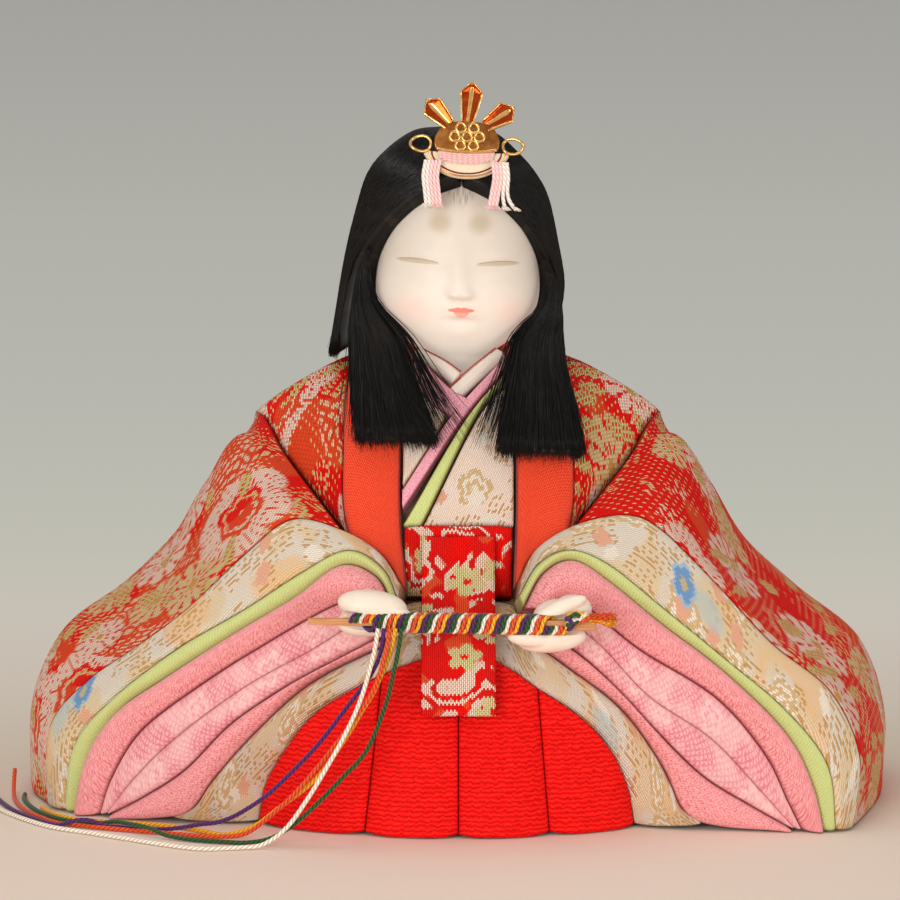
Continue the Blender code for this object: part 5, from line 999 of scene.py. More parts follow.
def shell_white():
    """Polished powdered shell with painted brows, eyes, lips and a faint blush, and a painted glow of light on the
    lower face.
    """
    finish = Finish("face_shell_white", roughness=0.42, subsurface_weight=0.12, subsurface_radius=(0.9, 0.55, 0.4), subsurface_scale=0.0012, specular_ior_level=0.35, emission_strength=CHIN_PAINTED_LIGHT)
    place = finish.node("UVMap", {"uv_map": "face"})
    u, v, w = finish.split(place)
    z = v / MM
    x = u / MM - (1 - finish.between(z, 16.0, 36.0)) * FACE_SHIFT
    side = abs(x)
    eye_side = abs(x + EYE_SHIFT)
    fine = finish.noise((x, z), 0.35, 2.0)
    skin = finish.mix(fine, linear(221, 209, 195), picked("skin"))

    blush_far = finish.root(((side - 13.5) / 6.5) ** 2.0 + ((z - 19.5) / 5.5) ** 2.0)
    blush = 1 - finish.between(blush_far, 0.0, 1.25)
    skin = finish.mix(blush * 0.32, skin, linear(246, 188, 176))
    lip_glow = finish.root((side / 6.5) ** 2.0 + ((z - 19.6) / 4.2) ** 2.0)
    skin = finish.mix((1 - finish.between(lip_glow, 0.1, 1.2)) * 0.22, skin, linear(240, 178, 160))

    brow = finish.root(((side - BROW_PLACE[0]) / 4.3) ** 2.0
                        + ((z - BROW_PLACE[1]) / 3.9) ** 2.0)
    skin = finish.mix((1 - finish.between(brow, 0.20, 1.05)) * 0.75, skin, linear(194, 176, 148))

    run = (eye_side - EYE_INNER) / (EYE_OUTER - EYE_INNER)
    inside = finish.between(run, 0.0, 0.10) * (1 - finish.between(run, 0.82, 1.0))
    arch = finish.sine(run * math.pi)
    lid = EYE_HEIGHT + 0.75 * arch + run * 0.25
    below = lid - z
    slit = inside * finish.between(below, -0.12, 0.06)
    slit = slit * (1 - finish.between(below - arch * 0.9, 0.10, 0.55))
    skin = finish.mix(slit * 0.80, skin, linear(192, 174, 150))
    line = inside * (1 - finish.between(abs(below), 0.04, 0.24))
    skin = finish.mix(line * 0.55, skin, linear(134, 116, 98))

    cupid = LIP_HEIGHT + 1.20 - 0.34 * (1 - finish.between(side, 0.0, 0.75)) - side * 0.22
    upper = (1 - finish.between(z, cupid - 0.15, cupid + 0.22))
    upper = upper * finish.between(z, LIP_HEIGHT - 0.18 - side * 0.02, LIP_HEIGHT + 0.10)
    upper = upper * (1 - finish.between(side, 3.1, 3.7))
    skin = finish.mix(upper * 0.85, skin, picked("lips"))
    low_edge = LIP_HEIGHT - 1.65 + side * side * 0.22
    lower = finish.between(z, low_edge - 0.18, low_edge + 0.28)
    lower = lower * (1 - finish.between(z, LIP_HEIGHT - 0.30, LIP_HEIGHT - 0.05))
    skin = finish.mix(lower * (1 - finish.between(side, 1.6, 2.5)) * 0.75, skin,
                      linear(236, 128, 108))
    parting = (1 - finish.between(abs(z - LIP_HEIGHT + 0.12), 0.04, 0.16))
    parting = parting * (1 - finish.between(side, 2.6, 3.3))
    skin = finish.mix(parting * 0.55, skin, linear(190, 70, 58))

    strands = finish.noise((x * 3.2, z * 0.22), 1.0, 2.0)
    feather = finish.between(z - side * 0.8 + strands * 4.0, 47.6, 50.6)
    feather = feather * finish.between(strands, 0.42, 0.56) * (1 - finish.between(side, 3.2, 4.6))
    skin = finish.mix(feather * 0.45, skin, linear(90, 78, 68))
    scalp = 1 - finish.between(z, SCALP_MARK / MM + 2.0, SCALP_MARK / MM + 12.0)
    skin = finish.mix(scalp, skin, linear(26, 23, 21))
    finish.paint(skin)
    finish.rough(0.36 + fine * 0.12)
    # Painted light: the lower face glows with its own colour, fully at the chin and neck and fading out towards the
    # brows; the dark scalp does not glow
    finish.glow(finish.shade(skin, (1 - finish.between(z, 6.0, 38.0)) * (1 - scalp)))
    return finish.material


def hand_white():
    """Shell white of the hands, a little warmer in places, at random."""
    finish = Finish("hand_shell_white", roughness=0.4, subsurface_weight=0.12, subsurface_radius=(0.9, 0.55, 0.4), subsurface_scale=0.001)
    fine = finish.noise(finish.place(), 0.3, 2.0)
    finish.paint(finish.mix(fine, linear(236, 218, 200), linear(246, 232, 216)))
    finish.rough(0.36 + fine * 0.12)
    return finish.material


def black_hair(name):
    """Combed black silk hair: fine streaks that run with the strands, partly tone of the strands and partly painted
    highlight.
    """
    finish = Finish(name, roughness=0.42, specular_ior_level=0.35)
    u, v = finish.cloth_place()
    tone_and_highlight_streak = finish.noise((v * 9.0, u * 0.10), 1.0, 3.0, 0.6)
    bright = finish.between(tone_and_highlight_streak, 0.50, 0.68)
    # Painted highlight: the bright streaks get a lighter colour as well as a lower roughness
    finish.paint(finish.mix(bright, linear(3, 2, 2), linear(38, 32, 28)))
    finish.rough(0.46 - bright * 0.16)
    finish.bump(tone_and_highlight_streak, 0.12)
    return finish.material


def gilt(name, colour, deep, roughness):
    """Thin gilt sheet, mirror bright with faint ripples."""
    finish = Finish(name, roughness=roughness, metallic=1.0)
    ripple = finish.noise(finish.place(), 0.45, 2.0)
    finish.paint(finish.mix(ripple, deep, colour))
    finish.rough(roughness + ripple * 0.08)
    finish.bump(ripple, 0.05)
    return finish.material


def cord_finish(name, colour, deep):
    """Twisted silk: painted shade between the plies, fine fibres along them."""
    finish = Finish(name, roughness=0.62, sheen_weight=0.2, specular_ior_level=0.3)
    u, v = finish.cloth_place()
    ply = finish.sine((u / (CORD_LAY / MM) + v) * (TAU * CORD_PLIES)) * 0.5 + 0.5
    fibre = finish.noise((u * 1.5, v * 30.0), 1.0, 2.0)
    # Painted shade: the colour darkens to the deep one between the plies
    tone = finish.between(ply * 0.7 + fibre * 0.3, 0.15, 0.6)
    finish.paint(finish.mix(tone, deep, colour))
    finish.bump(ply * 0.6 + fibre * 0.4, 0.06)
    return finish.material


def cedar():
    """Thin cedar with long grain along the fan."""
    finish = Finish("fan_cedar", roughness=0.5)
    x, y, z = finish.split(finish.place())
    grain = finish.noise((x * 0.12, y * 2.0, z * 5.0), 1.0, 4.0, 0.6)
    finish.paint(finish.mix(finish.between(grain, 0.3, 0.7), linear(186, 116, 62),
                            linear(222, 160, 104)))
    finish.rough(0.42 + grain * 0.2)
    finish.bump(grain, 0.05)
    return finish.material


def plain_wood(name, colour, deep, scale):
    """Unpainted wood or pressed sawdust."""
    finish = Finish(name, roughness=0.8)
    specks = finish.noise(finish.place(), scale, 4.0, 0.65)
    finish.paint(finish.mix(specks, deep, colour))
    finish.bump(specks, 0.15)
    return finish.material


def felt_finish():
    """Red felt with matted fibres."""
    finish = Finish("base_felt_red", roughness=0.95, sheen_weight=0.4)
    fibre = finish.noise(finish.place(), 1.8, 5.0, 0.7)
    finish.paint(finish.mix(fibre, linear(120, 14, 16), linear(186, 30, 30)))
    finish.bump(fibre, 0.25)
    return finish.material


def spread(*parts):
    """Points from their coordinates, numbers or arrays, widened to one shape."""
    return np.stack(np.broadcast_arrays(*parts), axis=-1)


def unit(vectors):
    """Vectors made one long."""
    return vectors / np.maximum(np.linalg.norm(vectors, axis=-1, keepdims=True), TINY)


def round_turn(count):
    """Angles of even steps round a circle."""
    return np.linspace(0, TAU, count, endpoint=False)


def frame_at(place, angle, axis):
    """Frame at a place, turned about one of its axes."""
    return np.array(Matrix.Translation(place) @ Matrix.Rotation(angle, 4, axis))


def smooth_curve(points, count, scale=1.0):
    """Catmull-Rom curve through points, cut into even steps.

    Between two points it is half of 2 p1 + (p2 - p0) t + (2 p0 - 5 p1 + 4 p2 - p3) t^2
    + (3 p1 - p0 - 3 p2 + p3) t^3.
    """
    points = np.asarray(points, float) * scale
    padded = np.vstack([2 * points[0] - points[1], points, 2 * points[-1] - points[-2]])
    t = np.linspace(0, 1, FINE_STEP_COUNT, endpoint=False)[None, :, None]
    p0, p1, p2, p3 = (padded[at:len(padded) - 3 + at, None] for at in range(4))
    runs = 0.5 * (2 * p1 + (p2 - p0) * t + (2 * p0 - 5 * p1 + 4 * p2 - p3) * t ** 2
                  + (3 * p1 - p0 - 3 * p2 + p3) * t ** 3)
    fine = np.vstack([runs.reshape(-1, points.shape[1]), points[-1:]])
    travelled = np.concatenate([[0], np.cumsum(np.linalg.norm(np.diff(fine, axis=0), axis=1))])
    even = np.linspace(0, travelled[-1], count)
    return np.column_stack([np.interp(even, travelled, column) for column in fine.T])


def surface_through(guides, across):
    """Grid whose rows are smooth curves through the guides' points of the same row."""
    guides = np.asarray(guides)
    return np.asarray([smooth_curve(guides[:, row], across) for row in range(guides.shape[1])])


def coons(bottom, top, left, right):
    """Coons patch: the two ruled surfaces of opposite edges, less the bilinear one of the corners."""
    v = np.linspace(0, 1, len(left))[:, None, None]
    u = np.linspace(0, 1, len(bottom))[None, :, None]
    ruled = (1 - v) * bottom[None] + v * top[None]
    sided = (1 - u) * left[:, None] + u * right[:, None]
    corners = (1 - v) * ((1 - u) * bottom[0] + u * bottom[-1]) + v * ((1 - u) * top[0] + u * top[-1])
    return ruled + sided - corners


def push(points, amount):
    """Points moved straight away from the body's heart, but not down to the table."""
    moved = points + unit(points - HEART) * np.broadcast_to(amount, points.shape[:-1])[..., None]
    return np.maximum(moved, [-np.inf, -np.inf, HEM_CLEARANCE])


def arc_lengths(grid, axis):
    """Distance travelled along one axis of a grid, from its first row or column."""
    steps = np.linalg.norm(np.diff(grid, axis=axis), axis=-1)
    start = np.zeros_like(np.take(steps, [0], axis=axis))
    return np.concatenate([start, np.cumsum(steps, axis=axis)], axis=axis)


def edge_distance(grid):
    """Distance from each point to the nearest of the grid's four edges, along rows and columns."""
    along = arc_lengths(grid, 0)
    across = arc_lengths(grid, 1)
    ends = np.minimum(along, along[-1:] - along)
    sides = np.minimum(across, across[:, -1:] - across)
    return ends, sides


def ripple(points, wave, seed):
    """Soft undulation from -1 to 1: the mean of four sines of slanted plane waves."""
    rng = np.random.default_rng(seed)
    total = 0
    for turn in range(4):
        direction = unit(rng.normal(size=3))
        phase = rng.uniform(0, TAU)
        total = total + np.sin(points @ direction * TAU / (wave * rng.uniform(0.7, 1.4)) + phase)
    return total / 4


def set_map(mesh, name, u, v):
    """Write a UV map from two arrays of one value per vertex."""
    corners = np.empty(len(mesh.loops), np.int32)
    mesh.loops.foreach_get("vertex_index", corners)
    layer = mesh.uv_layers.new(name=name)
    pairs = np.column_stack([u, v])[corners].astype(np.float32)
    layer.data.foreach_set("uv", pairs.ravel())


def make_mesh(name, points, faces, maps=None, smooth=True):
    """A mesh from arrays of points and of quads or triangles, with its maps."""
    mesh = bpy.data.meshes.new(name)
    faces = np.asarray(faces)
    mesh.vertices.add(len(points))
    mesh.vertices.foreach_set("co", np.asarray(points, np.float32).ravel())
    mesh.loops.add(faces.size)
    mesh.loops.foreach_set("vertex_index", faces.ravel().astype(np.int32))
    mesh.polygons.add(len(faces))
    sides = faces.shape[1]
    mesh.polygons.foreach_set("loop_start", np.arange(0, faces.size, sides, dtype=np.int32))
    mesh.polygons.foreach_set("use_smooth", np.full(len(faces), smooth))
    mesh.update(calc_edges=True)
    for key, (u, v) in (maps or {}).items():
        set_map(mesh, key, u, v)
    mesh.validate()
    return mesh


def face_outwards(mesh):
    """Merge doubles and turn every face to the outside."""
    work = bmesh.new()
    work.from_mesh(mesh)
    bmesh.ops.remove_doubles(work, verts=work.verts, dist=WELD)
    bmesh.ops.dissolve_degenerate(work, edges=work.edges, dist=WELD / 10)
    bmesh.ops.recalc_face_normals(work, faces=work.faces)
    if work.calc_volume(signed=True) < 0:
        bmesh.ops.reverse_faces(work, faces=work.faces)
    work.to_mesh(mesh)
    work.free()


def place_piece(name, mesh, material, body, replaced=()):
    """Link a piece, give it its material, and let it ride on its body."""
    piece = bpy.data.objects.new(name, mesh)
    bpy.context.scene.collection.objects.link(piece)
    mesh.materials.append(material)
    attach(piece, body)
    if replaced:
        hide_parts(*replaced)
    return piece


def grid_faces(rows, columns, closed=False):
    """Quads of a grid; a closed grid joins its last column to its first."""
    row, column = np.meshgrid(np.arange(rows - 1), np.arange(columns - (not closed)), indexing="ij")
    after = (column + 1) % columns
    quads = [row * columns + column, row * columns + after, (row + 1) * columns + after,
             (row + 1) * columns + column]
    return np.stack(quads, axis=-1).reshape(-1, 4)


def shell_mesh(name, outer, inner, u, v, edge=None):
    """Closed solid between two grids: both skins, and a wall round their rim.

    Its map "cloth" holds u and v, and "edge" the distance to the nearest edge.
    """
    rows, columns = outer.shape[:2]
    count = rows * columns
    skin = grid_faces(rows, columns)
    index = np.arange(count).reshape(rows, columns)
    rim = np.concatenate([index[0, :-1], index[:-1, -1], index[-1, :0:-1], index[:0:-1, 0]])
    after = np.roll(rim, -1)
    wall = np.column_stack([after, rim, rim + count, after + count])
    faces = np.concatenate([skin, skin[:, ::-1] + count, wall])
    points = np.concatenate([outer.reshape(-1, 3), inner.reshape(-1, 3)])
    maps = {"cloth": (np.tile(u.ravel(), 2), np.tile(v.ravel(), 2))}
    if edge is not None:
        near = np.concatenate([edge.ravel(), np.zeros(count)])
        maps["edge"] = (near, near)
    mesh = make_mesh(name, points, faces, maps)
    face_outwards(mesh)
    return mesh


def cloth_piece(name, grid, lift, thick, look, slot, near, replaced=(), fill=None, shift=(0.0, 0.0), tucked=True):
    """Closed cloth on a guide surface: its skin stands off by lift, and its back lies thick deeper.

    A tucked piece is drawn in at its edges. near is the distance to the edges that sink into seams.
    """
    drawn = draw_in(grid) if tucked else grid
    mesh = shell_mesh(name + "_cloth", push(drawn, lift), push(drawn, -thick), arc_lengths(grid, 0) + shift[0],
                      arc_lengths(grid, 1) + shift[1], near)
    return place_piece(name + "_cloth", mesh, look, "torso", replaced)


def padded_cloth(name, grid, crown, power, thick, look, slot, fill=0.7, texture=None, end_roll=True,
                 shift=(0.0, 0.0), roll=SIDE_ROLL, groove=GROOVE_DEEP):
    """A padded cloth piece over a CAD node of the same name.

    Its skin stands off the guide surface by crown (1 - |x|^power) across, rolls down into the
    groove as exp(-(d / roll)^2) within a millimetre or two of each edge, and adds a soft ripple.
    """
    grid = np.asarray(grid)
    x = np.abs(np.linspace(-1, 1, grid.shape[1]))[None]
    ends, sides = edge_distance(grid)
    dip = sunk(sides, roll)
    if end_roll:
        dip = np.maximum(dip, sunk(ends, roll))
    calm = np.clip(np.minimum(ends, sides) / (4 * SIDE_ROLL), 0, 1)
    lift = crown * (1 - x ** power) - groove * dip + chosen("fold_height") * calm * ripple(grid, FOLD_WAVE, len(name))
    if texture is not None:
        lift = lift + texture(grid) * calm
    near = np.minimum(ends, sides) if end_roll else sides
    return cloth_piece(name, grid, lift, thick, look, slot, near, (name,), fill, shift)


def sunk(distance, reach):
    """1 at an edge or crease, falling to 0 away from it as exp(-(d / reach)^2)."""
    return np.exp(-(distance / reach) ** 2)


def draw_in(grid):
    """The grid with its outer rows and columns moved inwards by a part of half a seam."""
    grid = grid.copy()
    for work in (grid, np.swapaxes(grid, 0, 1)):
        for edge, inner in ((0, 1), (-1, -2)):
            step = work[:, inner] - work[:, edge]
            length = np.linalg.norm(step, axis=1, keepdims=True)
            work[:, edge] += step * np.minimum(SEAM / 2 * EDGE_SHARE / np.maximum(length, SEAM), 0.5)
    return grid


def halves(quads):
    """Quads cut into triangles."""
    return np.concatenate([quads[:, (0, 1, 2)], quads[:, (0, 2, 3)]])


def closed_tube(name, points, sides, maps, outwards=True):
    """Rings of so many points each, followed by the middles of both ends, as one closed tube."""
    last = len(points) - 2 - sides
    loop = np.arange(sides)
    after = np.roll(loop, -1)
    end = np.full(sides, len(points) - 2)
    caps = [np.column_stack([after, loop, end]), np.column_stack([last + loop, last + after, end + 1])]
    quads = grid_faces(last // sides + 1, sides, closed=True)
    mesh = make_mesh(name, points, np.concatenate([halves(quads), *caps]), maps)
    if outwards:
        face_outwards(mesh)
    return mesh


def frames_along(path):
    """Tangent, side and up at each point of a path; the side is carried along without twist."""
    tangent = unit(np.gradient(path, axis=0))
    side = np.empty_like(path)
    start = np.cross(tangent[0], [0.0, 0.0, 1.0])
    if np.linalg.norm(start) < 0.1:
        start = np.cross(tangent[0], [0.0, 1.0, 0.0])
    side[0] = unit(start)
    for at in range(1, len(path)):
        side[at] = unit(side[at - 1] - tangent[at] * (side[at - 1] @ tangent[at]))
    return tangent, side, np.cross(tangent, side)


def twisted_cord(name, path, radius, sides=12, plies=3, lay=CORD_LAY, flat=1.0):
    """Tube along a path whose section r (1 - d + d |cos(n (a - 2 pi s / lay) / 2)|) turns as it goes."""
    tangent, side, up = frames_along(path)
    travelled = arc_lengths(path[:, None], 0)[:, 0]
    angle = round_turn(sides)[None]
    turn = angle - TAU * travelled[:, None] / lay
    section = radius * (1 - PLY_DEEP + PLY_DEEP * np.abs(np.cos(plies * turn / 2)))
    x = (section * np.cos(angle))[..., None]
    y = (section * np.sin(angle) * flat)[..., None]
    rings = path[:, None] + side[:, None] * x + up[:, None] * y
    points = np.concatenate([rings.reshape(-1, 3), path[:1], path[-1:]])
    u = np.concatenate([np.repeat(travelled, sides), travelled[:1], travelled[-1:]])
    v = np.concatenate([np.tile(np.arange(sides) / sides, len(path)), [0, 0]]) * MM
    return closed_tube(name, points, sides, {"cloth": (u, v)}, False)




def strand_bundle(name, paths, radius, sides=3, tip=0.35):
    """Many hairs as one mesh: each is a thin prism along its path that narrows to its tip.

    paths holds one row of points per hair. The section's corners lie round the path on a circle
    in the plane across the hair.
    """
    count, steps = paths.shape[:2]
    tangent = unit(np.gradient(paths, axis=1))
    side = unit(np.cross(tangent, HAIR_ASIDE))
    up = np.cross(tangent, side)
    taper = radius * np.interp(np.linspace(0, 1, steps), [0, 0.8, 1], [1, 1, tip])
    angle = round_turn(sides)[None, None, :, None]
    ring = (side[:, :, None] * np.cos(angle) + up[:, :, None] * np.sin(angle)) * taper[None, :, None, None]
    points = (paths[:, :, None] + ring).reshape(-1, 3)
    starts = np.arange(count)[:, None, None] * steps * sides
    quads = (grid_faces(steps, sides, closed=True)[None] + starts).reshape(-1, 4)
    first, middle, last = np.zeros(sides - 2, int), np.arange(1, sides - 1), np.arange(2, sides)
    caps = np.concatenate([np.column_stack([first, last, middle]),
                           (steps - 1) * sides + np.column_stack([first, middle, last])])
    faces = np.concatenate([halves(quads), (caps[None] + starts).reshape(-1, 3)])
    u = np.repeat(arc_lengths(paths, 1).reshape(-1), sides)
    v = np.repeat(np.arange(count) * 0.37 * MM, steps * sides)
    return make_mesh(name, points, faces, {"cloth": (u, v)})


def cuff_depth(side, x, z):
    """Y of a sleeve opening's face: a lean that grows with z^2 and a sweep back outwards."""
    sweep = LEFT_SWEEP if side == "left" else RIGHT_SWEEP
    outward = np.maximum(np.abs(x) - SWEEP_START, 0) / (HALF_WIDTH - SWEEP_START)
    lean = CUFF_LEAN * (np.maximum(z, 0) / CUFF_LEAN_HEIGHT) ** 2
    return -CUFF_FRONT + SWEEP_RATE * sweep * outward ** SWEEP_POWER + lean


def cuff_curve(side, shares, count, backset=0.0):
    """An edge of the sleeve opening as points in space."""
    x, z = smooth_curve(shares[side], count, [dict(SIDES)[side] * HALF_WIDTH, SHOULDER_HEIGHT]).T
    return spread(x, cuff_depth(side, x, z) + backset, z)


def body_curve(shares, count, sign=1):
    """A guide curve given as shares of the body's sizes."""
    return smooth_curve(shares, count, BODY_SCALE * [sign, 1, 1])


def trouser_depth(x, z):
    """Y of the trousers' front: round from side to side, sloping back with z^2."""
    return (-TROUSER_FRONT + TROUSER_ROUND * (x / TROUSER_ROUND_WIDTH) ** 2
            + TROUSER_SLOPE * (z / LAP_HEIGHT) ** 2)


def chest_depth(x, z):
    """Y of the chest: round from side to side, sloping back upwards."""
    rise = np.clip((z - CHEST_BASE) / (CHEST_TOP - CHEST_BASE), 0, None) ** CHEST_POWER
    return -CHEST_FRONT + CHEST_RISE * rise + x ** 2 / (2 * CHEST_RADIUS)


def sleeve_outer_grid(side, columns):
    """The sleeve's outside, from the opening's edge round to the back seam."""
    sign = dict(SIDES)[side]
    start = CLOTH_ROWS * LAPEL_POINT_COUNT // (CUFF_POINT_COUNT - 1)
    front = cuff_curve(side, CUFF_EDGE_SHARES, CLOTH_ROWS, CREAM_BACKSET)[start:]
    guides = [body_curve(shares, len(front), sign)
              for shares in (RIDGE_SHARES, BACK_BEND_SHARES, BACK_SEAM_SHARES)]
    return surface_through([front, *guides], columns)


def jacket_back_grid(rows, columns):
    """The jacket's back, from the left seam over the middle to the right seam."""
    guides = np.asarray([body_curve(BACK_SEAM_SHARES, rows, -1), body_curve(BACK_QUARTER_SHARES, rows, -1),
                         body_curve(BACK_CENTRE_SHARES, rows), body_curve(BACK_QUARTER_SHARES, rows),
                         body_curve(BACK_SEAM_SHARES, rows)])
    quarter = (columns - 1) // 4
    parts = []
    for row in range(rows):
        fine = smooth_curve(guides[:, row], 4 * FINE_STEP_COUNT * 8 + 1)
        marks = [int(np.argmin(np.linalg.norm(fine - guide, axis=1))) for guide in guides[:, row]]
        picks = [np.linspace(first, last, quarter + 1)[:-1] for first, last in zip(marks, marks[1:])]
        picks = np.concatenate(picks + [[marks[-1]]])
        places = np.arange(len(fine))
        parts.append(np.column_stack([np.interp(picks, places, axis) for axis in fine.T]))
    return np.asarray(parts)


def lap_curve(side, count):
    """Edge between the trousers and the kimono's front, from the lap's middle to the floor."""
    x, z = smooth_curve(LAP_EDGE_SHARES[side], count, [dict(SIDES)[side] * HALF_WIDTH, SHOULDER_HEIGHT]).T
    return spread(x, trouser_depth(x, z), z)


def head_frame():
    """Frame at the neck, leaning with the head."""
    return frame_at((NECK_SIDE, 0, NECK_HEIGHT), HEAD_LEAN, "Y")


def in_world(points, place):
    """Points of a local frame in the world."""
    return points @ place[:3, :3].T + place[:3, 3]


def profile_at(shares, place):
    """Value of a table of shares at a place, read from a smooth curve through it."""
    fine = smooth_curve(shares, PROFILE_POINT_COUNT)
    order = np.argsort(fine[:, 0])
    return np.interp(place, fine[order, 0], fine[order, 1])


def build_cords():
    """Five twisted cords from the fan's winding to the table, each with its loops on the fan."""
    looks = {
        "purple": cord_finish("purple_cord", picked("cord_purple"), linear(34, 6, 50)),
        "green": cord_finish("green_cord", picked("cord_green"), linear(8, 36, 12)),
        "white": cord_finish("white_cord", linear(250, 240, 226), linear(196, 176, 150)),
        "red": cord_finish("red_cord", picked("cord_red"), linear(176, 30, 6)),
        "yellow": cord_finish("yellow_cord", picked("cord_yellow"), linear(206, 112, 4)),
    }
    for order, colour in enumerate(WRAP_ORDER):
        look, slot, name = looks[colour], colour + "_cord", "cord_" + colour
        length = arc_lengths(smooth_curve(CORD_ROUTES[name], 600)[:, None], 0)[-1, 0]
        path = smooth_curve(CORD_ROUTES[name], int(length / CORD_SEGMENT))
        path[:, 2] = np.maximum(path[:, 2], CORD_DIAMETER / 2)
        mesh = twisted_cord(name + "_twist", path, CORD_DIAMETER / 2)
        piece = place_piece(name + "_twist", mesh, look, "fan", (name,))
        mesh = twisted_cord("fan_wrap_" + colour, wound_strand(order), WRAP_STRAND / 2, sides=10, flat=0.9)
        winding = place_piece("fan_wrap_" + colour, mesh, look, "fan", ("fan_cord_wrap",))
    build_tail(looks)


def wound_strand(order):
    """One of five cords side by side round the fan: x grows with the turn t, and y and z follow
    the signed powers |cos t|^c and |sin t|^c, a rounded box round the blades."""
    t = np.linspace(0, TAU * WRAP_LOOP_COUNT, WRAP_LOOP_COUNT * 48 + 1)
    start = WRAP_START + (order - 2) * WRAP_PITCH / 5
    deep = FAN_BLADE_THICK + FAN_BLADE_GAP / 2 + WRAP_GAP + WRAP_THICK / 2
    tall = FAN_BLADE_HEIGHT / 2 + WRAP_GAP + WRAP_THICK / 2
    across = -np.sign(np.cos(t)) * np.abs(np.cos(t)) ** WRAP_CORNER_SHARE
    up = np.sign(np.sin(t)) * np.abs(np.sin(t)) ** WRAP_CORNER_SHARE
    local = np.column_stack([start + WRAP_PITCH * t / TAU, deep * across, tall * up])
    return in_world(smooth_curve(local[::2], len(t)), fan_frame())


def fan_frame():
    """Frame of the closed fan: X along it, Z up."""
    return frame_at((FAN_SIDE, -FAN_FORWARD, FAN_HEIGHT), FAN_DIP, "Y")


def build_tail(looks):
    """The knot at the fan's right end, a loop of each cord, and the brush of cut ends."""
    for colour, route in KNOT_ROUTES.items():
        path = in_world(smooth_curve(np.array(route) * MM, 70), fan_frame())
        mesh = twisted_cord("fan_knot_" + colour, path, KNOT_STRAND / 2, sides=10)
        place_piece("fan_knot_" + colour, mesh, looks[colour], "fan", ("fan_cord_tail",))
    rng = np.random.default_rng(11)
    start = np.array([TAIL_PLACE + 0.0052, -TAIL_FORWARD, TAIL_RISE])
    t = np.linspace(0, 1, 9)[None, :, None]
    for colour, aside in (("yellow", -0.0004), ("red", 0.0004)):
        foot = start + rng.normal(0, 0.00042, (BRUSH_HAIRS, 3)) * [0.3, 1, 1] + [0, 0, aside]
        reach = rng.uniform(0.0052, 0.0072, (BRUSH_HAIRS, 1, 1)) * [1, 0, 0]
        fan_out = rng.normal(0, 0.00075, (BRUSH_HAIRS, 1, 3)) * [0.2, 1, 1] + [0, 0, -0.0006]
        paths = in_world(foot[:, None] + reach * t + fan_out * t ** 2, fan_frame())
        mesh = strand_bundle("fan_brush_" + colour, paths, 0.00012)
        place_piece("fan_brush_" + colour, mesh, looks[colour], "fan")


def build_sleeve_openings():
    """Cream, green, pink roll, lining and hem roll of both sleeves."""
    shadow = linear(140, 34, 48)
    pink = crepe("roll_pink_crepe", picked("roll_pink"), linear(214, 104, 112), shadow)
    pale = damask("lining_pale_pink", picked("lining_pink"), linear(216, 122, 134), linear(250, 214, 208), shadow)
    for side, seed in (("left", 2), ("right", 6)):
        brocade = cream_brocade("sleeve_cream_brocade_" + side, seed, BLUE_FLOWERS[side])
        green = plain_silk("sleeve_green_silk_" + side, picked("sleeve_green"), linear(178, 190, 104))
        edges = [cuff_curve(side, CUFF_EDGE_SHARES, CLOTH_ROWS, CREAM_BACKSET)]
        for shares in (CREAM_EDGE_SHARES, GREEN_EDGE_SHARES, ROLL_EDGE_SHARES, FOLD_EDGE_SHARES,
                       LINING_EDGE_SHARES, HEM_EDGE_SHARES):
            edges.append(cuff_curve(side, shares, CLOTH_ROWS))
        for name, first, columns, crown, power, look, slot, fill in (
                ("cream", 0, 26, CREAM_CROWN, 4, brocade, "cream_brocade", 0.7),
                ("green", 1, 16, GREEN_CROWN, 2, green, "green_silk", 0.7),
                ("roll", 2, 26, ROLL_CROWN, 2, pink, "pink_crepe", 0.8),
                ("lining", 3, 20, LINING_CROWN, 2, pale, "pale_pink_crepe", 0.5),
                ("hem_roll", 5, 22, HEM_CROWN, 2, pink, "pink_crepe", 0.8)):
            grid = surface_through(edges[first:first + 2], columns)
            name = "sleeve_%s_%s" % (name, side)
            if first == 3:
                lower = surface_through(edges[4:6], columns)
                folded_lining(name, np.concatenate([grid, lower[:, 1:]], axis=1), crown, look, slot, fill)
            else:
                padded_cloth(name, grid, crown, power, CUFF_THICK, look, slot, fill)


def folded_lining(name, grid, crown, look, slot, fill):
    """The lining's two folds: each swells as 1 - x^2 and meets the other in a crease."""
    x = np.linspace(-1, 1, grid.shape[1])
    ends, sides = edge_distance(grid)
    lift = crown * (1 - (2 * np.abs(x) - 1) ** 2) - GROOVE_DEEP * 0.8 * sunk(x, CREASE_SHARE)
    lift = lift[None] - GROOVE_DEEP * sunk(np.minimum(ends, sides), SIDE_ROLL)
    # near also falls to nothing along the crease, so the painted seam shadow darkens the crease as well
    near = np.minimum(np.minimum(ends, sides), np.abs(x)[None] * sides.max() + 0.00015)
    cloth_piece(name, grid, lift, CUFF_THICK, look, slot, near, (name,), fill)


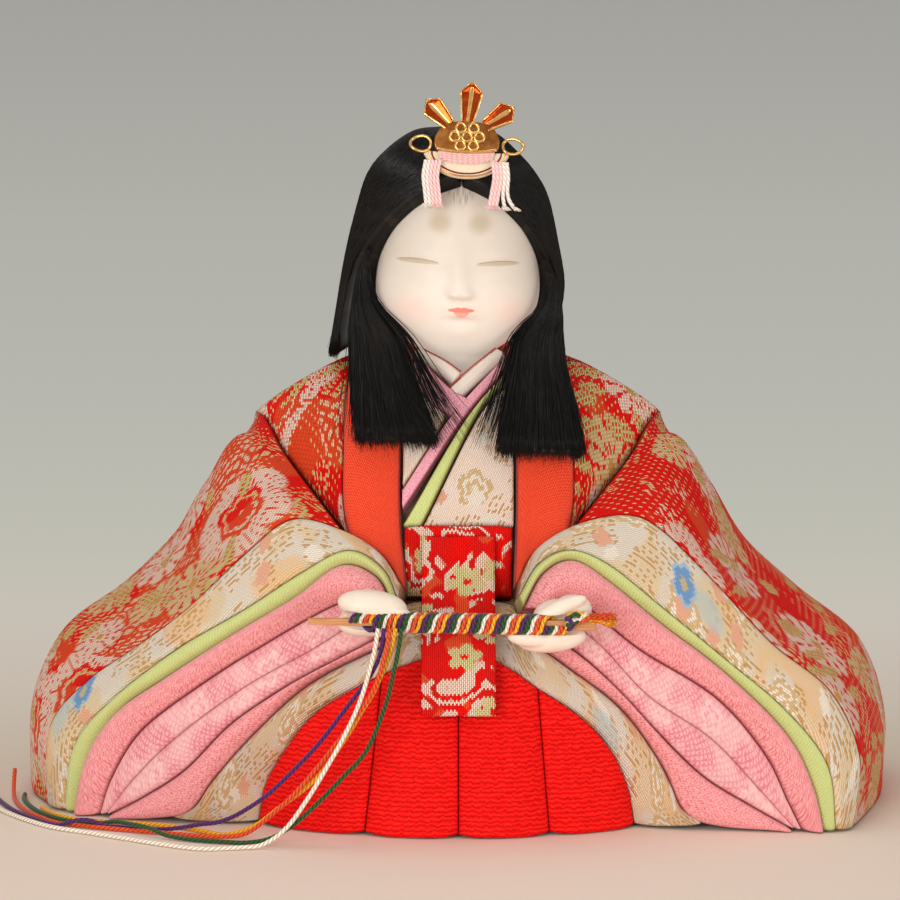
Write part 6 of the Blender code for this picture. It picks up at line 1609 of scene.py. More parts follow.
def build_jacket():
    """Back, fronts, outer sleeves and the lapels round the neck."""
    quarter = 14
    start = CLOTH_ROWS * LAPEL_POINT_COUNT // (CUFF_POINT_COUNT - 1)
    back = jacket_back_grid(CLOTH_ROWS - start, 4 * quarter + 1)
    looks = {"left": red_brocade("jacket_brocade_left", 0.5, 1, 0.9),
             "right": red_brocade("jacket_brocade_right", -0.35, 4, 0.2)}
    middle = red_brocade("jacket_brocade_back", 0.2, 7)
    lapel_look = lapel_crepe()

    def brocade(name, grid, power, look, shift=(0.0, 0.0)):
        padded_cloth(name, grid, JACKET_CROWN, power, CLOTH_THICK, look, "red_brocade", shift=shift,
                     groove=JACKET_GROOVE)

    brocade("jacket_back", back, 8, middle)
    for side, sign in SIDES:
        sleeve = sleeve_outer_grid(side, 60)
        brocade("sleeve_outer_" + side, sleeve, 8, looks[side], (0.05, 0.02))
        top = back[0] if sign < 0 else back[0][::-1]
        shoulder = top[quarter::-1]
        neck = top[quarter + 1: 2 * quarter + 1]
        opening = cuff_curve(side, CUFF_EDGE_SHARES, CLOTH_ROWS, CREAM_BACKSET)
        foot = HEART + (opening[start::-1] - HEART) * LAPEL_FOOT_SHARE
        crease = push(sleeve[0], -np.linspace(JACKET_SINK, 0, sleeve.shape[1]))
        scale = BODY_SCALE * [sign, 1, 1]
        outer = np.concatenate([foot[:1], (LAPEL_OUTER_SHARES * scale)[1:]])
        inner = np.concatenate([foot[-1:], (LAPEL_INNER_SHARES * scale)[1:]])
        edge = smooth_curve(outer, sleeve.shape[1] + 7)[7:]
        bottom = np.linspace(edge[0], crease[0], len(shoulder))
        brocade("jacket_front_" + side, coons(bottom, shoulder, edge, crease), 4, looks[side], (0.02, 0.09))
        outer = np.concatenate([smooth_curve(outer, 56), neck])
        inner = smooth_curve(inner, len(outer))
        nape = np.linspace(outer[-1], inner[-1], len(foot))
        padded_cloth("lapel_" + side, coons(foot, nape, outer, inner), LAPEL_CROWN, 4, CLOTH_THICK, lapel_look,
                     "orange_crepe")


def build_kimono_front():
    """The cream fronts that frame the trousers and close under the sash."""
    for (side, sign), seed in zip(SIDES, (8, 11)):
        look = cream_brocade("kimono_front_brocade_" + side, seed, FRONT_BLUE_FLOWERS[side])
        hem = cuff_curve(side, HEM_EDGE_SHARES, CUFF_POINT_COUNT)
        falling = int(np.sum(hem[:, 2] > HEM_TURN)) + 1
        outer = np.concatenate([LAP_START_SHARES * (BODY_SCALE * [sign, 1, 1]), hem[:falling]])
        edges = [smooth_curve(outer, CLOTH_ROWS), lap_curve(side, CLOTH_ROWS)]
        padded_cloth("kimono_front_" + side, surface_through(edges, 24), EDGE_CROWN, 3, CLOTH_THICK, look,
                     "cream_brocade")


def lap_top(x):
    """Height of the trousers' upper edge at a place across them."""
    edge = np.concatenate([lap_curve("left", 80)[::-1], lap_curve("right", 80)[1:]])
    return np.interp(x, edge[:, 0], edge[:, 2])


def crepe_ribs(points):
    """Level ribs of the crepe: sin(2 pi (z + wander) / pitch), the wander two sines of x."""
    x, z = points[..., 0] / MM, points[..., 2] / MM
    wander = RIB_WANDER / MM * (np.sin(x * RIB_WAVE + z * 0.31) + 0.7 * np.sin(x * RIB_WAVE * 1.9 - z * 0.7 + 1.3))
    return chosen("rib_height") * np.sin(TAU * (z + wander) * MM / chosen("rib_pitch"))


def build_trousers():
    """Four pleated panels side by side, ribbed like the crepe they are cut from."""
    look = hakama_crepe()
    right_foot, low_share = LAP_EDGE_SHARES["right"][-1]
    left_foot = LAP_EDGE_SHARES["left"][-1][0]
    low = low_share * SHOULDER_HEIGHT
    foot_marks, top_marks = ((np.array(shares) * (left_foot + right_foot) - left_foot) * HALF_WIDTH
                             for shares in (PLEAT_FOOT_SHARES, PLEAT_TOP_SHARES))
    top_marks[[0, -1]] *= OUTER_PLEAT_SHARE
    rise = np.linspace(0, 1, 200)[:, None]
    across = np.linspace(0, 1, 56)[None]
    edges = [foot + (top - foot) * rise for foot, top in zip(foot_marks, top_marks)]
    for panel, (first, second) in enumerate(zip(edges, edges[1:])):
        x = first + (second - first) * across
        z = low + (lap_top(x) - low) * rise
        padded_cloth("trouser_panel_%d" % (panel + 1), spread(x, trouser_depth(x, z), z), TROUSER_CROWN, 3,
                     TROUSER_THICK, look, "red_crepe", 0.8, crepe_ribs)


def chest_strip(first, second, along, across):
    """A strip on the chest, ruled between two edges seen from the front."""
    edges = [smooth_curve(shares, along, [HALF_WIDTH, SHOULDER_HEIGHT]) for shares in (first, second)]
    x, z = np.moveaxis(np.linspace(*edges, across, axis=1), -1, 0)
    return spread(x, chest_depth(x, z), z)


def build_chest():
    """Collars, chest panels, sash and its hanging end."""
    looks = {"white": (piped_silk(), "white_silk"),
             "pink": (crepe("collar_pink_crepe", picked("collar_pink"), linear(226, 128, 150),
                            linear(150, 44, 66)), "pink_crepe"),
             "green": (plain_silk("collar_green_silk", picked("collar_green"), linear(186, 198, 112)),
                       "green_silk"),
             "panel": (cream_brocade("chest_cream_brocade", 14, None, 0.05, 0.57, 0.75), "cream_brocade")}
    for name, edges in COLLAR_SHARES.items():
        look, slot = [value for key, value in looks.items() if key in name][0]
        padded_cloth(name, chest_strip(*edges, 60, 24), COLLAR_CROWN, 4, COLLAR_THICK, look, slot,
                     end_roll=False, roll=COLLAR_ROLL, groove=COLLAR_GROOVE)
    grid = chest_strip(*UNDER_COLLAR_SHARES, 50, 20)
    ends, sides = edge_distance(grid)
    cloth_piece("collar_pink_under", grid, UNDER_COLLAR_LIFT - COLLAR_GROOVE * sunk(sides, COLLAR_ROLL),
                COLLAR_THICK / 2, *looks["pink"], sides, fill=0.3, tucked=False)
    sash_look = sash_brocade()
    reach = SASH_REACH_SHARE * HALF_WIDTH
    x, z = np.meshgrid(np.linspace(-reach, reach, 60),
                       np.linspace(SASH_BOTTOM, CHEST_LOW_SHARE * SHOULDER_HEIGHT - SEAM, 50))
    padded_cloth("obi_sash", spread(x, chest_depth(x, z) - SASH_CROWN, z), SASH_CROWN, 6, CLOTH_THICK, sash_look,
                 "red_brocade")
    build_sash_end(sash_look)
    build_piping()


def build_sash_end(look):
    """The sash's hanging end: a strip along a curve, faintly waved, its long edges turned under."""
    line = smooth_curve(TAB_SHARES, 90, [HALF_DEPTH, SHOULDER_HEIGHT])
    grid = spread(np.linspace(-TAB_HALF_WIDTH, TAB_HALF_WIDTH, 40), line[:, :1], line[:, 1:])
    near = TAB_HALF_WIDTH - np.abs(grid[..., 0])
    lift = TAB_WAVE * np.sin(grid[..., 0] * TAB_WAVE_TURN) - TAB_EDGE_SINK * sunk(near, TAB_EDGE_ROLL)
    piece = cloth_piece("sash_end", grid, lift, TAB_THICK, look, "red_brocade", near, ("sash_end",),
                        shift=(0.03, 0.0), tucked=False)


def build_piping():
    """Thin red piping along the crossed edges of the white collars."""
    look = cord_finish("collar_piping", linear(206, 60, 48), linear(150, 24, 22))
    for side, edge in (("left", 1), ("right", 0)):
        x, z = smooth_curve(COLLAR_SHARES["collar_white_" + side][edge], 40, [HALF_WIDTH, SHOULDER_HEIGHT]).T
        path = push(spread(x, chest_depth(x, z), z), COLLAR_CROWN * 0.7)
        mesh = twisted_cord("collar_piping_" + side, path, chosen("piping_radius"), sides=8)
        place_piece("collar_piping_" + side, mesh, look, "torso")


def face_points(direction):
    """Skin of the face along unit directions: an egg with cheeks, sockets, nose, lips and chin.

    The egg's radius is 1 / sqrt((x/a)^2 + (y/b)^2 + (z/c)^2) with one c above and another below.
    Each feature adds a height times the exp of minus squared distances on the front.
    """
    x, y, z = direction[..., 0], direction[..., 1], direction[..., 2]
    tall = np.where(z > 0, FACE_TOP, FACE_BOTTOM)
    radius = 1 / np.sqrt((x / FACE_HALF_WIDTH) ** 2 + (y / FACE_HALF_DEPTH) ** 2 + (z / tall) ** 2)
    radius = radius * (1 + CHEEK_SHARE * np.exp(-((z + CHEEK_DROP) / CHEEK_DROP) ** 2))
    spot = face_centre() + direction * radius[..., None]
    pz = spot[..., 2] / MM
    px = spot[..., 0] / MM - np.clip((36.0 - pz) / 20.0, 0, 1) * FACE_SHIFT
    front = np.clip(-y * 2.5, 0, 1)
    side = np.abs(px)

    def lump(cx, cz, wide, high, height):
        return height * np.exp(-((side - cx) / wide) ** 2 - ((pz - cz) / high) ** 2)

    bridge = np.clip((BROW_PLACE[1] - 4 - pz) / 14, 0, 1)
    wide = 1.9 + 1.0 * bridge
    nose = 2.0 * bridge ** 1.5 * np.exp(-(px / wide) ** 2) / (1 + np.exp((NOSE_TIP - 1.3 - pz) / 0.40))
    feature = (nose + lump(2.1, NOSE_TIP - 0.3, 1.1, 1.1, 0.60)
               + lump(10.8, EYE_HEIGHT + 2.6, 5.5, 2.6, 0.40) - lump(10.5, EYE_HEIGHT - 0.2, 5.6, 1.3, 0.34)
               + lump(10.6, EYE_HEIGHT - 2.8, 5.5, 2.4, 0.24) - lump(5.2, EYE_HEIGHT + 0.8, 2.4, 4.4, 0.35)
               + lump(0.0, LIP_HEIGHT, 4.6, 2.6, 0.85) + lump(0.9, LIP_HEIGHT + 0.5, 1.3, 0.50, 0.42)
               + lump(0.0, LIP_HEIGHT - 0.85, 1.6, 0.50, 0.45) - lump(0.0, LIP_HEIGHT - 0.12, 3.0, 0.22, 0.35)
               - lump(0.0, LIP_HEIGHT - 2.6, 3.4, 0.9, 0.45) + lump(0.0, LIP_HEIGHT - 5.6, 4.2, 2.6, 0.60)
               - lump(0.0, LIP_HEIGHT + 2.2, 0.7, 1.0, 0.30) + lump(11.5, LIP_HEIGHT + 1.0, 6.0, 5.5, 0.35))
    nape = lump(11.5, 8.5, 4.5, 3.5, 1.1) * (1 - front)
    return spot + direction * ((feature * front - nape) * MM)[..., None]


def face_centre():
    """Centre of the face in the head's frame."""
    return np.array([0, -FACE_CENTRE_FORWARD, FACE_CENTRE_HEIGHT])


def build_head():
    """Head and neck in polished shell, with painted features.

    The neck's rings blend from a circle at the foot to the face's lowest ring with t^1.5.
    """
    turns = round_turn(HEAD_COLUMNS) + math.pi
    tilt = np.radians(np.linspace(-64, 89.5, HEAD_ROWS))[:, None]
    skin = face_points(spread(np.cos(tilt) * np.sin(turns), np.cos(tilt) * np.cos(turns), np.sin(tilt)))
    circle = spread(np.sin(turns), np.cos(turns), 0.0) * NECK_RADIUS
    heights = np.linspace(0, 1, NECK_ROWS)[:, None, None]
    blend = heights ** 1.5
    neck = circle * (1 - blend) + skin[0] * blend
    neck[..., 2] = skin[0][:, 2] * heights[..., 0]
    rings = np.concatenate([neck[:-1], skin])
    local = np.concatenate([rings.reshape(-1, 3), [[0, 0, 0]], skin[-1].mean(axis=0, keepdims=True)])
    maps = {"face": (local[:, 0], np.where(local[:, 1] < SCALP_DEPTH, local[:, 2], SCALP_MARK))}
    mesh = closed_tube("head_shell", in_world(local, head_frame()), HEAD_COLUMNS, maps)
    place_piece("head_shell", mesh, shell_white(), "head", ("head",))


def wig_level(side, rise, wide, places):
    """One level of the wig's outside, at places from its front edge, 0, to the parting behind, 1:
    x = w sin(pi t), y = -d cos(pi t), with one depth d in front and another behind."""
    sign = dict(SIDES)[side]
    half = HAIR_LEFT if side == "left" else HAIR_RIGHT
    first = np.interp(rise, *np.array(HAIRLINE_SHARES).T)
    turns = first + (1 - first) * places
    deep = np.where(turns > 0.5, HAIR_BACK * profile_at(HAIR_BACK_SHARES, rise),
                    HAIR_FRONT * profile_at(HAIR_FRONT_SHARES, rise))
    x = np.maximum(half * wide * np.sin(turns * math.pi), SEAM / 2)
    y = -deep * np.cos(turns * math.pi)
    low = np.clip((HAIR_LOW_SHARE - rise) / HAIR_LOW_SHARE, 0, 1)
    lift = (HAIR_NAPE_SHARE - HAIR_SIDE_SHARES[side][-1][0]) * low * np.clip(2 * turns - 1, 0, 1)
    return spread(sign * x, y, (rise + lift) * HAIR_HEIGHT)


def wig_grid(side, rows, columns):
    """The wig's outside from the parting down, in the head's frame."""
    levels = smooth_curve(HAIR_SIDE_SHARES[side], rows)
    places = np.linspace(0, 1, columns)
    grid = np.asarray([wig_level(side, rise, wide, places) for rise, wide in levels])
    grid[0] = (dict(SIDES)[side] * SEAM / 2, 0, HAIR_HEIGHT)
    return grid


def sample_grid(grid, row, column):
    """Points of a grid at fractional rows and columns, by linear blending of its four neighbours."""
    low_row = np.clip(row.astype(int), 0, grid.shape[0] - 2)
    low_column = np.clip(column.astype(int), 0, grid.shape[1] - 2)
    r = (row - low_row)[..., None]
    c = (column - low_column)[..., None]
    return ((1 - r) * (1 - c) * grid[low_row, low_column] + (1 - r) * c * grid[low_row, low_column + 1]
            + r * (1 - c) * grid[low_row + 1, low_column] + r * c * grid[low_row + 1, low_column + 1])


def combed(grid, count, steps, sway, low, rng):
    """Places of hairs on a grid: each starts in its upper rows, falls to the last, and sways sideways."""
    rows, columns = grid.shape[:2]
    column = rng.uniform(0, columns - 1, (count, 1)) + np.cumsum(rng.normal(0, sway, (count, steps)), axis=1)
    first = rng.uniform(0, 1, (count, 1)) ** 2 * low
    row = first + (rows - 1 - first) * np.linspace(0, 1, steps)[None]
    return sample_grid(grid, row, np.clip(column, 0, columns - 1))


def hair_piece(name, mesh, look, replaced=()):
    """A piece of hair on the head, hiding the CAD nodes it replaces."""
    return place_piece(name, mesh, look, "head", replaced)


def build_hair():
    """The wig's two halves, the front locks and the long hair down the back."""
    look = black_hair("hair_combed_black")
    loose = black_hair("hair_strands_black")
    rng = np.random.default_rng(5)
    centre = face_centre()
    for side, sign in SIDES:
        grid = wig_grid(side, 60, 60)
        length = np.linalg.norm(grid - centre, axis=-1, keepdims=True)
        direction = (grid - centre) / length
        comb = COMB_DEEP * np.sin(np.linspace(0, 1, 60) * 240)[None, :, None]
        skin = np.linalg.norm(face_points(direction) - centre, axis=-1, keepdims=True)
        inner = centre + direction * np.minimum(skin + WIG_LIFT, length - HAIR_GAP)
        outer = grid + direction * (comb - WIG_LIFT)
        mesh = shell_mesh("hair_cap_" + side, in_world(outer, head_frame()), in_world(inner, head_frame()),
                          arc_lengths(grid, 0), arc_lengths(grid, 1))
        hair_piece("hair_cap_" + side, mesh, look, ("hair_" + side,))
        for layer in range(WIG_LAYERS):
            count = chosen("wig_hairs")
            spots = combed(grid, count, 16, 0.14, 30, rng)
            spots = spots + unit(spots - centre) * rng.uniform(-0.0001, 0.00030, (count, 1, 1))
            spots[:, -1] += rng.normal(0, 0.0004, (count, 3)) * [1, 1, 1.5]
            name = "hair_strands_%s_%d" % (side, layer + 1)
            hair_piece(name, strand_bundle(name, in_world(spots, head_frame()), chosen("hair_radius")), loose)
        build_lock(side, look, loose, rng)
    build_back_hair(look, loose, rng)


def lock_rings(side, count):
    """Middles, half widths and half thicknesses of a lock's level sections, in the head's frame.
    Its neck, drawn in with 3 t^2 - 2 t^3, goes back and outwards under the wig's edge."""
    scale = np.array([FACE_HALF_WIDTH, FACE_HALF_DEPTH, FACE_CENTRE_HEIGHT, FACE_HALF_WIDTH, LOCK_THICK])
    rings = smooth_curve(LOCK_SHARES[side], count) * scale
    z = NECK_HEIGHT + rings[:, 2]
    rings[:, 1] = np.minimum(rings[:, 1], chest_depth(0, z) - LOCK_STANDOFF - rings[:, 4])
    run = np.clip(np.linspace(0, 1, count) / LOCK_NECK, 0, 1)
    neck = LOCK_NECK_SHARE + (1 - LOCK_NECK_SHARE) * run * run * (3 - 2 * run)
    rings[:, 0] += dict(SIDES)[side] * rings[:, 3] * (1 - neck) * 0.8
    rings[:, 1] += rings[:, 4] * (1 - neck)
    rings[:, 3] *= neck
    rings[:, 4] *= neck
    return rings


def build_lock(side, look, loose, rng):
    """A lock as a dark core inside a bundle of hairs, cut off straight at its lower end."""
    rings = lock_rings(side, LOCK_ROWS)
    angle = round_turn(LOCK_COLUMNS)[None]
    bumps = 1 + 0.035 * np.sin(angle * 23) + 0.02 * np.sin(angle * 41 + 1)
    squeeze = np.where(np.cos(angle) * dict(SIDES)[side] > 0, LOCK_OUTER_SHARE, 1.0)
    wide = rings[:, 3:4] * 0.88 * bumps * squeeze
    thick = rings[:, 4:5] * 0.86 * bumps
    section = spread(rings[:, 0:1] + wide * np.cos(angle), rings[:, 1:2] + thick * np.sin(angle), rings[:, 2:3])
    travelled = np.repeat(np.abs(rings[:, 2] - rings[0, 2]), LOCK_COLUMNS)
    u = np.concatenate([travelled, [0, 0]])
    v = np.concatenate([np.tile(np.arange(LOCK_COLUMNS) * 0.0012, LOCK_ROWS), [0, 0]])
    points = np.concatenate([section.reshape(-1, 3), rings[[0, -1], :3]])
    mesh = closed_tube("side_lock_core_" + side, in_world(points, head_frame()), LOCK_COLUMNS, {"cloth": (u, v)})
    hair_piece("side_lock_core_" + side, mesh, look, ("side_lock_" + side,))
    for layer in range(LOCK_LAYERS):
        paths = in_world(lock_paths(side, rings, rng), head_frame())
        name = "side_lock_strands_%s_%d" % (side, layer + 1)
        hair_piece(name, strand_bundle(name, paths, chosen("hair_radius")), loose)


def lock_paths(side, rings, rng):
    """Hairs of a lock: they start in its narrow top under the wig's edge and fill its sections.

    In a section a hair lies at depth (cos a, sin a) of the half axes; it wanders sideways as it
    falls, its end is cut unevenly, and a few stray from the lock with a power of the way down.
    """
    count, steps = chosen("lock_hairs"), 18
    last = LOCK_ROWS - 1

    def chance(low=0, high=1):
        return rng.uniform(low, high, (count, 1))

    around = chance(0, TAU)
    sign = dict(SIDES)[side]
    outward = np.cos(around) * sign
    first = chance() ** 2 * 5
    picks = first + (last - first) * np.linspace(0, 1, steps)[None]
    middle_x, middle_y, middle_z, wide, thick = (np.interp(picks, np.arange(LOCK_ROWS), column)
                                                 for column in rings.T)
    depth = 0.78 + 0.22 * chance() ** 0.5
    depth = depth * np.where(outward > 0, LOCK_OUTER_SHARE, 1.0)
    wander = np.cumsum(rng.normal(0, 0.00010, (count, steps)), axis=1)
    t = picks / last
    ragged = 1 + 0.05 * np.sin(around * 9) + 0.04 * np.sin(around * 17 + 2)
    x = middle_x + wide * np.cos(around) * depth * ragged + wander * t
    y = middle_y + thick * np.sin(around) * depth * ragged
    long_end = chance() > 0.86
    end = rng.normal(0, 0.0008, (count, 1)) - long_end * chance(0, 0.0026)
    z = middle_z + end * t ** 4
    stray = (chance() > 0.94) * t ** 3
    x = x + stray * rng.normal(0, 0.0030, (count, 1))
    loose = (chance() > 0.90) * (outward < -0.75) * t ** 1.5
    x = x - sign * loose * chance(0.001, 0.009)
    z = z + loose * chance(0, 0.007)
    y = y - stray * chance(0, 0.0012)
    return spread(x, y, z)


def back_depth(x, z):
    """Y of the jacket's back: the middle curve and the quarter curve, blended with x^2."""
    centre = body_curve(BACK_CENTRE_SHARES, PROFILE_POINT_COUNT)[::-1]
    quarter = body_curve(BACK_QUARTER_SHARES, PROFILE_POINT_COUNT)[::-1]
    middle = np.interp(z, centre[:, 2], centre[:, 1])
    side = np.interp(z, quarter[:, 2], quarter[:, 1])
    return middle + (side - middle) * (x / np.interp(z, quarter[:, 2], quarter[:, 0])) ** 2


def build_back_hair(look, loose, rng):
    """Long hair over the jacket's back: a rounded slab under a layer of hairs."""
    fall = np.linspace(0, 1, 60)[:, None]
    place = np.linspace(-1, 1, 50)[None]
    z = BACK_HAIR_TOP + (BACK_HAIR_END - BACK_HAIR_TOP) * fall
    x = place * BACK_HAIR_HALF_WIDTH * (1 + (BACK_HAIR_END_SHARE - 1) * fall)
    y = np.maximum(back_depth(x, z) + JACKET_CROWN + BACK_HAIR_GAP, HAIR_BACK - BACK_HAIR_THICK)
    thick = BACK_HAIR_THICK * (1 - (1 - BACK_HAIR_EDGE_SHARE) * place ** 4) + COMB_DEEP * np.sin(place * 130)
    outer = spread(x, y + thick, z)
    mesh = shell_mesh("hair_back_core", outer, spread(x, y, z), arc_lengths(outer, 0), arc_lengths(outer, 1))
    hair_piece("hair_back_core", mesh, look, ("hair_back",))
    count, steps = 1500, 16
    spots = combed(outer, count, steps, 0.15, 20, rng)
    spots = spots + [0, 1, 0] * rng.uniform(-0.0001, 0.00025, (count, 1, 1))
    spots[:, :, 2] -= rng.uniform(0, 0.0007, (count, 1)) * np.linspace(0, 1, steps) ** 4
    spots = np.concatenate([spots[:, :1] + BACK_HAIR_START, spots], axis=1)
    hair_piece("hair_back_strands", strand_bundle("hair_back_strands", spots, BACK_HAIR_STRAND), loose)


def crown_frame():
    """Frame of the crown: X across, Y up along the plate, Z to the front."""
    return head_frame() @ frame_at((CROWN_SIDE, -CROWN_FORWARD, CROWN_BASE), math.pi / 2 - CROWN_LEAN, "X")


def pillow(name, outline, low, high, look, body, place, replaced, softness, rings=9):
    """A flat outline as a rounded pad: rings shrink towards the middle as the height follows
    a quarter circle of the given softness, front and back."""
    middle = outline.mean(axis=0)
    inwards = (middle - outline) / np.maximum(np.linalg.norm(outline - middle, axis=1, keepdims=True), WELD)
    levels = [(outline + inwards * softness * (1 - math.cos(angle)), math.sin(angle))
              for angle in np.linspace(0, math.pi / 2, rings)]
    edge = levels[-1][0]
    levels += [(middle + (edge - middle) * share, 1 + (1 - share) * 0.25) for share in (0.75, 0.5, 0.25)]
    half, mid = (high - low) / 2, (high + low) / 2
    soft = min(softness, half)
    stack = np.asarray([np.column_stack([edge, np.full(len(edge), mid + face * (half - soft + soft * rise))])
                        for face, turned in ((-1, levels[::-1]), (1, levels)) for edge, rise in turned])
    local = np.concatenate([stack.reshape(-1, 3), stack[0].mean(axis=0, keepdims=True),
                            stack[-1].mean(axis=0, keepdims=True)])
    mesh = closed_tube(name, in_world(local, place), len(outline), {"cloth": (local[:, 1], local[:, 0])})
    return place_piece(name, mesh, look, body, replaced)


def rounded_outline(points, count):
    """A closed smooth curve through points, as an outline of so many points."""
    points = np.asarray(points, float)
    closed = np.vstack([points[-2:], points, points[:2]])
    fine = smooth_curve(closed, count * 4)
    near_start = np.argmin(np.linalg.norm(fine[:count * 2] - points[0], axis=1))
    near_end = count * 2 + np.argmin(np.linalg.norm(fine[count * 2:] - points[0], axis=1))
    loop = fine[near_start:near_end]
    return loop[np.linspace(0, len(loop), count, endpoint=False).astype(int)]


def wire_loop(name, path, radius, look, place, replaced=(), sides=10, closed=True):
    """A round gilt wire along a closed or open path in the crown's frame."""
    world = in_world(path, place)
    if not closed:
        mesh = twisted_cord(name, world, radius, sides=sides, plies=2, lay=1.0)
        return place_piece(name, mesh, look, "crown", replaced)
    tangent = unit(np.roll(world, -1, axis=0) - np.roll(world, 1, axis=0))
    normal = place[:3, 2][None]
    side = unit(np.cross(tangent, normal))
    angle = round_turn(sides)[None, :, None]
    rings = world[:, None] + radius * (side[:, None] * np.cos(angle) + normal[:, None] * np.sin(angle))
    grid = grid_faces(len(world) + 1, sides, closed=True) % (len(world) * sides)
    mesh = make_mesh(name, rings.reshape(-1, 3), grid)
    face_outwards(mesh)
    return place_piece(name, mesh, look, "crown", replaced)


def prong_half(t):
    """Half width of a prong: a straight rise to the kite's shoulders and a straight fall to the tip."""
    return np.where(t < PRONG_SHOULDER,
                    PRONG_ROOT_WIDTH + (PRONG_TIP_WIDTH - PRONG_ROOT_WIDTH) * t / PRONG_SHOULDER,
                    PRONG_TIP_WIDTH * (1 - t) / (1 - PRONG_SHOULDER)) / 2


def prong_surface(lean, length, across, up, place, name, rim_look, face_look):
    """A kite-shaped prong: a faceted, hollowed face inside a raised rim.

    The rim's height is a ridge exp(-((d - 0.6 w) / (0.55 w))^2) of the distance d to the edge, and
    the face dips as a shallow V along it.
    """
    t = np.linspace(0, 1, 60)[:, None]
    s = np.linspace(-1, 1, 41)[None]
    half = np.maximum(prong_half(t), 0.00004)
    x, y = half * s, t * length + 0.0 * s
    border = np.minimum((1 - np.abs(s)) * half, (1 - t) * length * PRONG_TIP_SHARE)
    rim = sunk(border - RIM_WIDE * 0.6, RIM_WIDE * 0.55)
    rise = RIM_RISE * rim + FACE_RISE * np.clip((np.abs(s) - 0.1), 0, 1) * (rim < 0.5)
    turned = place @ frame_at((across * PLATE_WIDTH, up * PLATE_HEIGHT, 0.0), -lean, "Z")
    mesh = shell_mesh(name, in_world(spread(x, y, PLATE_THICK / 2 + rise), turned),
                      in_world(spread(x, y, -PLATE_THICK / 2), turned), y, x)
    piece = place_piece(name, mesh, rim_look, "crown")
    mesh.materials.append(face_look)
    centres = np.empty(len(mesh.polygons) * 3)
    mesh.polygons.foreach_get("center", centres)
    x, y, z = in_world(centres.reshape(-1, 3), np.linalg.inv(turned)).T
    t = np.clip(y / length, 0, 1)
    inside = np.minimum(prong_half(t) - np.abs(x), (1 - t) * length * PRONG_TIP_SHARE) > RIM_WIDE * 1.15
    mesh.polygons.foreach_set("material_index", (inside & (z > PLATE_THICK * 0.6)).astype(np.int32))
    return piece


def build_crown():
    """Padded crescent, corded band, gilt bowl with rings, three prongs, side loops, two ribbons."""
    base = crown_frame()
    bright = gilt("crown_gilt_bright", linear(255, 214, 140), linear(216, 158, 82), 0.16)
    red = gilt("crown_gilt_red", linear(226, 96, 40), linear(150, 36, 10), 0.12)
    pad_look = cord_finish("crown_pad_silk", linear(250, 238, 214), linear(224, 200, 162))
    pad = rounded_outline(np.array(PAD_SHARES) * [PAD_WIDTH, PAD_DROP], 90)
    pillow("crown_pad_cloth", pad, 0.0, PAD_THICK, pad_look, "crown", base,
                     ("crown_pad",), 0.0011)
    front = PAD_THICK + CROWN_GAP
    low_edge = np.array(PAD_SHARES[:9]) * [PAD_WIDTH, PAD_DROP]
    dark = gilt("crown_piping_red", linear(190, 66, 40), linear(110, 20, 14), 0.35)
    middle = np.array([0, PAD_DROP])
    for order, inset, look, thick, sink in ((1, 0.93, bright, 0.00028, 0.0004), (2, 0.84, dark, 0.00022, 0.0)):
        x, y = smooth_curve(middle + (low_edge - middle) * inset, 60).T
        wire_loop("crown_piping_%d" % order, spread(x, y, PAD_THICK + thick * 0.7 - sink), thick, look, base,
                  closed=False)
    build_band(base, front, cord_finish("crown_band_pink", linear(252, 214, 208), linear(232, 160, 160)))
    plate = base @ frame_at((0, PAD_DROP - CROWN_GAP, front + PLATE_THICK / 2), 0, "X")
    bowl = np.concatenate([PLATE_LEFT_SHARES, BOWL_TOP_SHARES, np.array(PLATE_LEFT_SHARES)[::-1] * [-1, 1]])
    bowl_look = gilt("crown_gilt_bowl", linear(206, 142, 74), linear(118, 44, 20), 0.22)
    pillow("crown_plate_gilt", rounded_outline(bowl * [PLATE_WIDTH, PLATE_HEIGHT], 100), -PLATE_THICK / 2,
           PLATE_THICK / 2 + 0.0002, bowl_look, "crown", plate, ("crown_plate",), 0.00035)
    for name, lean, length, spot in zip(("left", "middle", "right"),
                                        (LEFT_PRONG_LEAN, PRONG_LEAN, RIGHT_PRONG_LEAN),
                                        (SIDE_PRONG_LENGTH, PRONG_LENGTH, SIDE_PRONG_LENGTH), PRONG_PLACE_SHARES):
        prong_surface(lean, length, *spot, plate, "crown_prong_" + name, bright, red)
    rings = plate @ frame_at((0, 0, PLATE_THICK / 2), 0, "X")
    angle = round_turn(40)
    circle = spread(np.cos(angle), np.sin(angle), 0.0) * RING_RADIUS * 0.95
    for order, (across, up) in enumerate(RING_PLACE_SHARES):
        spot = [across * RING_SPACING, up * RING_SPACING + PLATE_HEIGHT / 2, 0.0007]
        wire_loop("crown_ring_%d" % (order + 1), circle + spot, RING_WIRE * 1.1, bright, rings, ("crown_rings",))
    x, y = smooth_curve(TRIM_SHARES, 40, [PLATE_WIDTH, PLATE_HEIGHT]).T
    wire_loop("crown_plate_trim", spread(x, y, 0.0004), 0.0005, bright, rings, closed=False)
    across, up = LOOP_PLACE_SHARES
    for side, sign in SIDES:
        loop = spread(LOOP_HALF_WIDTH * np.cos(angle) * (1 + 0.12 * np.cos(angle) * sign),
                      LOOP_HALF_HEIGHT * 0.85 * np.sin(angle), 0.0004 * np.sin(2 * angle))
        loop = loop + [sign * (across * PLATE_WIDTH + LOOP_HALF_WIDTH / 2), up * PLATE_HEIGHT, 0]
        wire_loop("crown_loop_" + side + "_wire", loop, LOOP_WIRE, bright, plate, ("crown_loop_" + side,))
    build_ribbons()


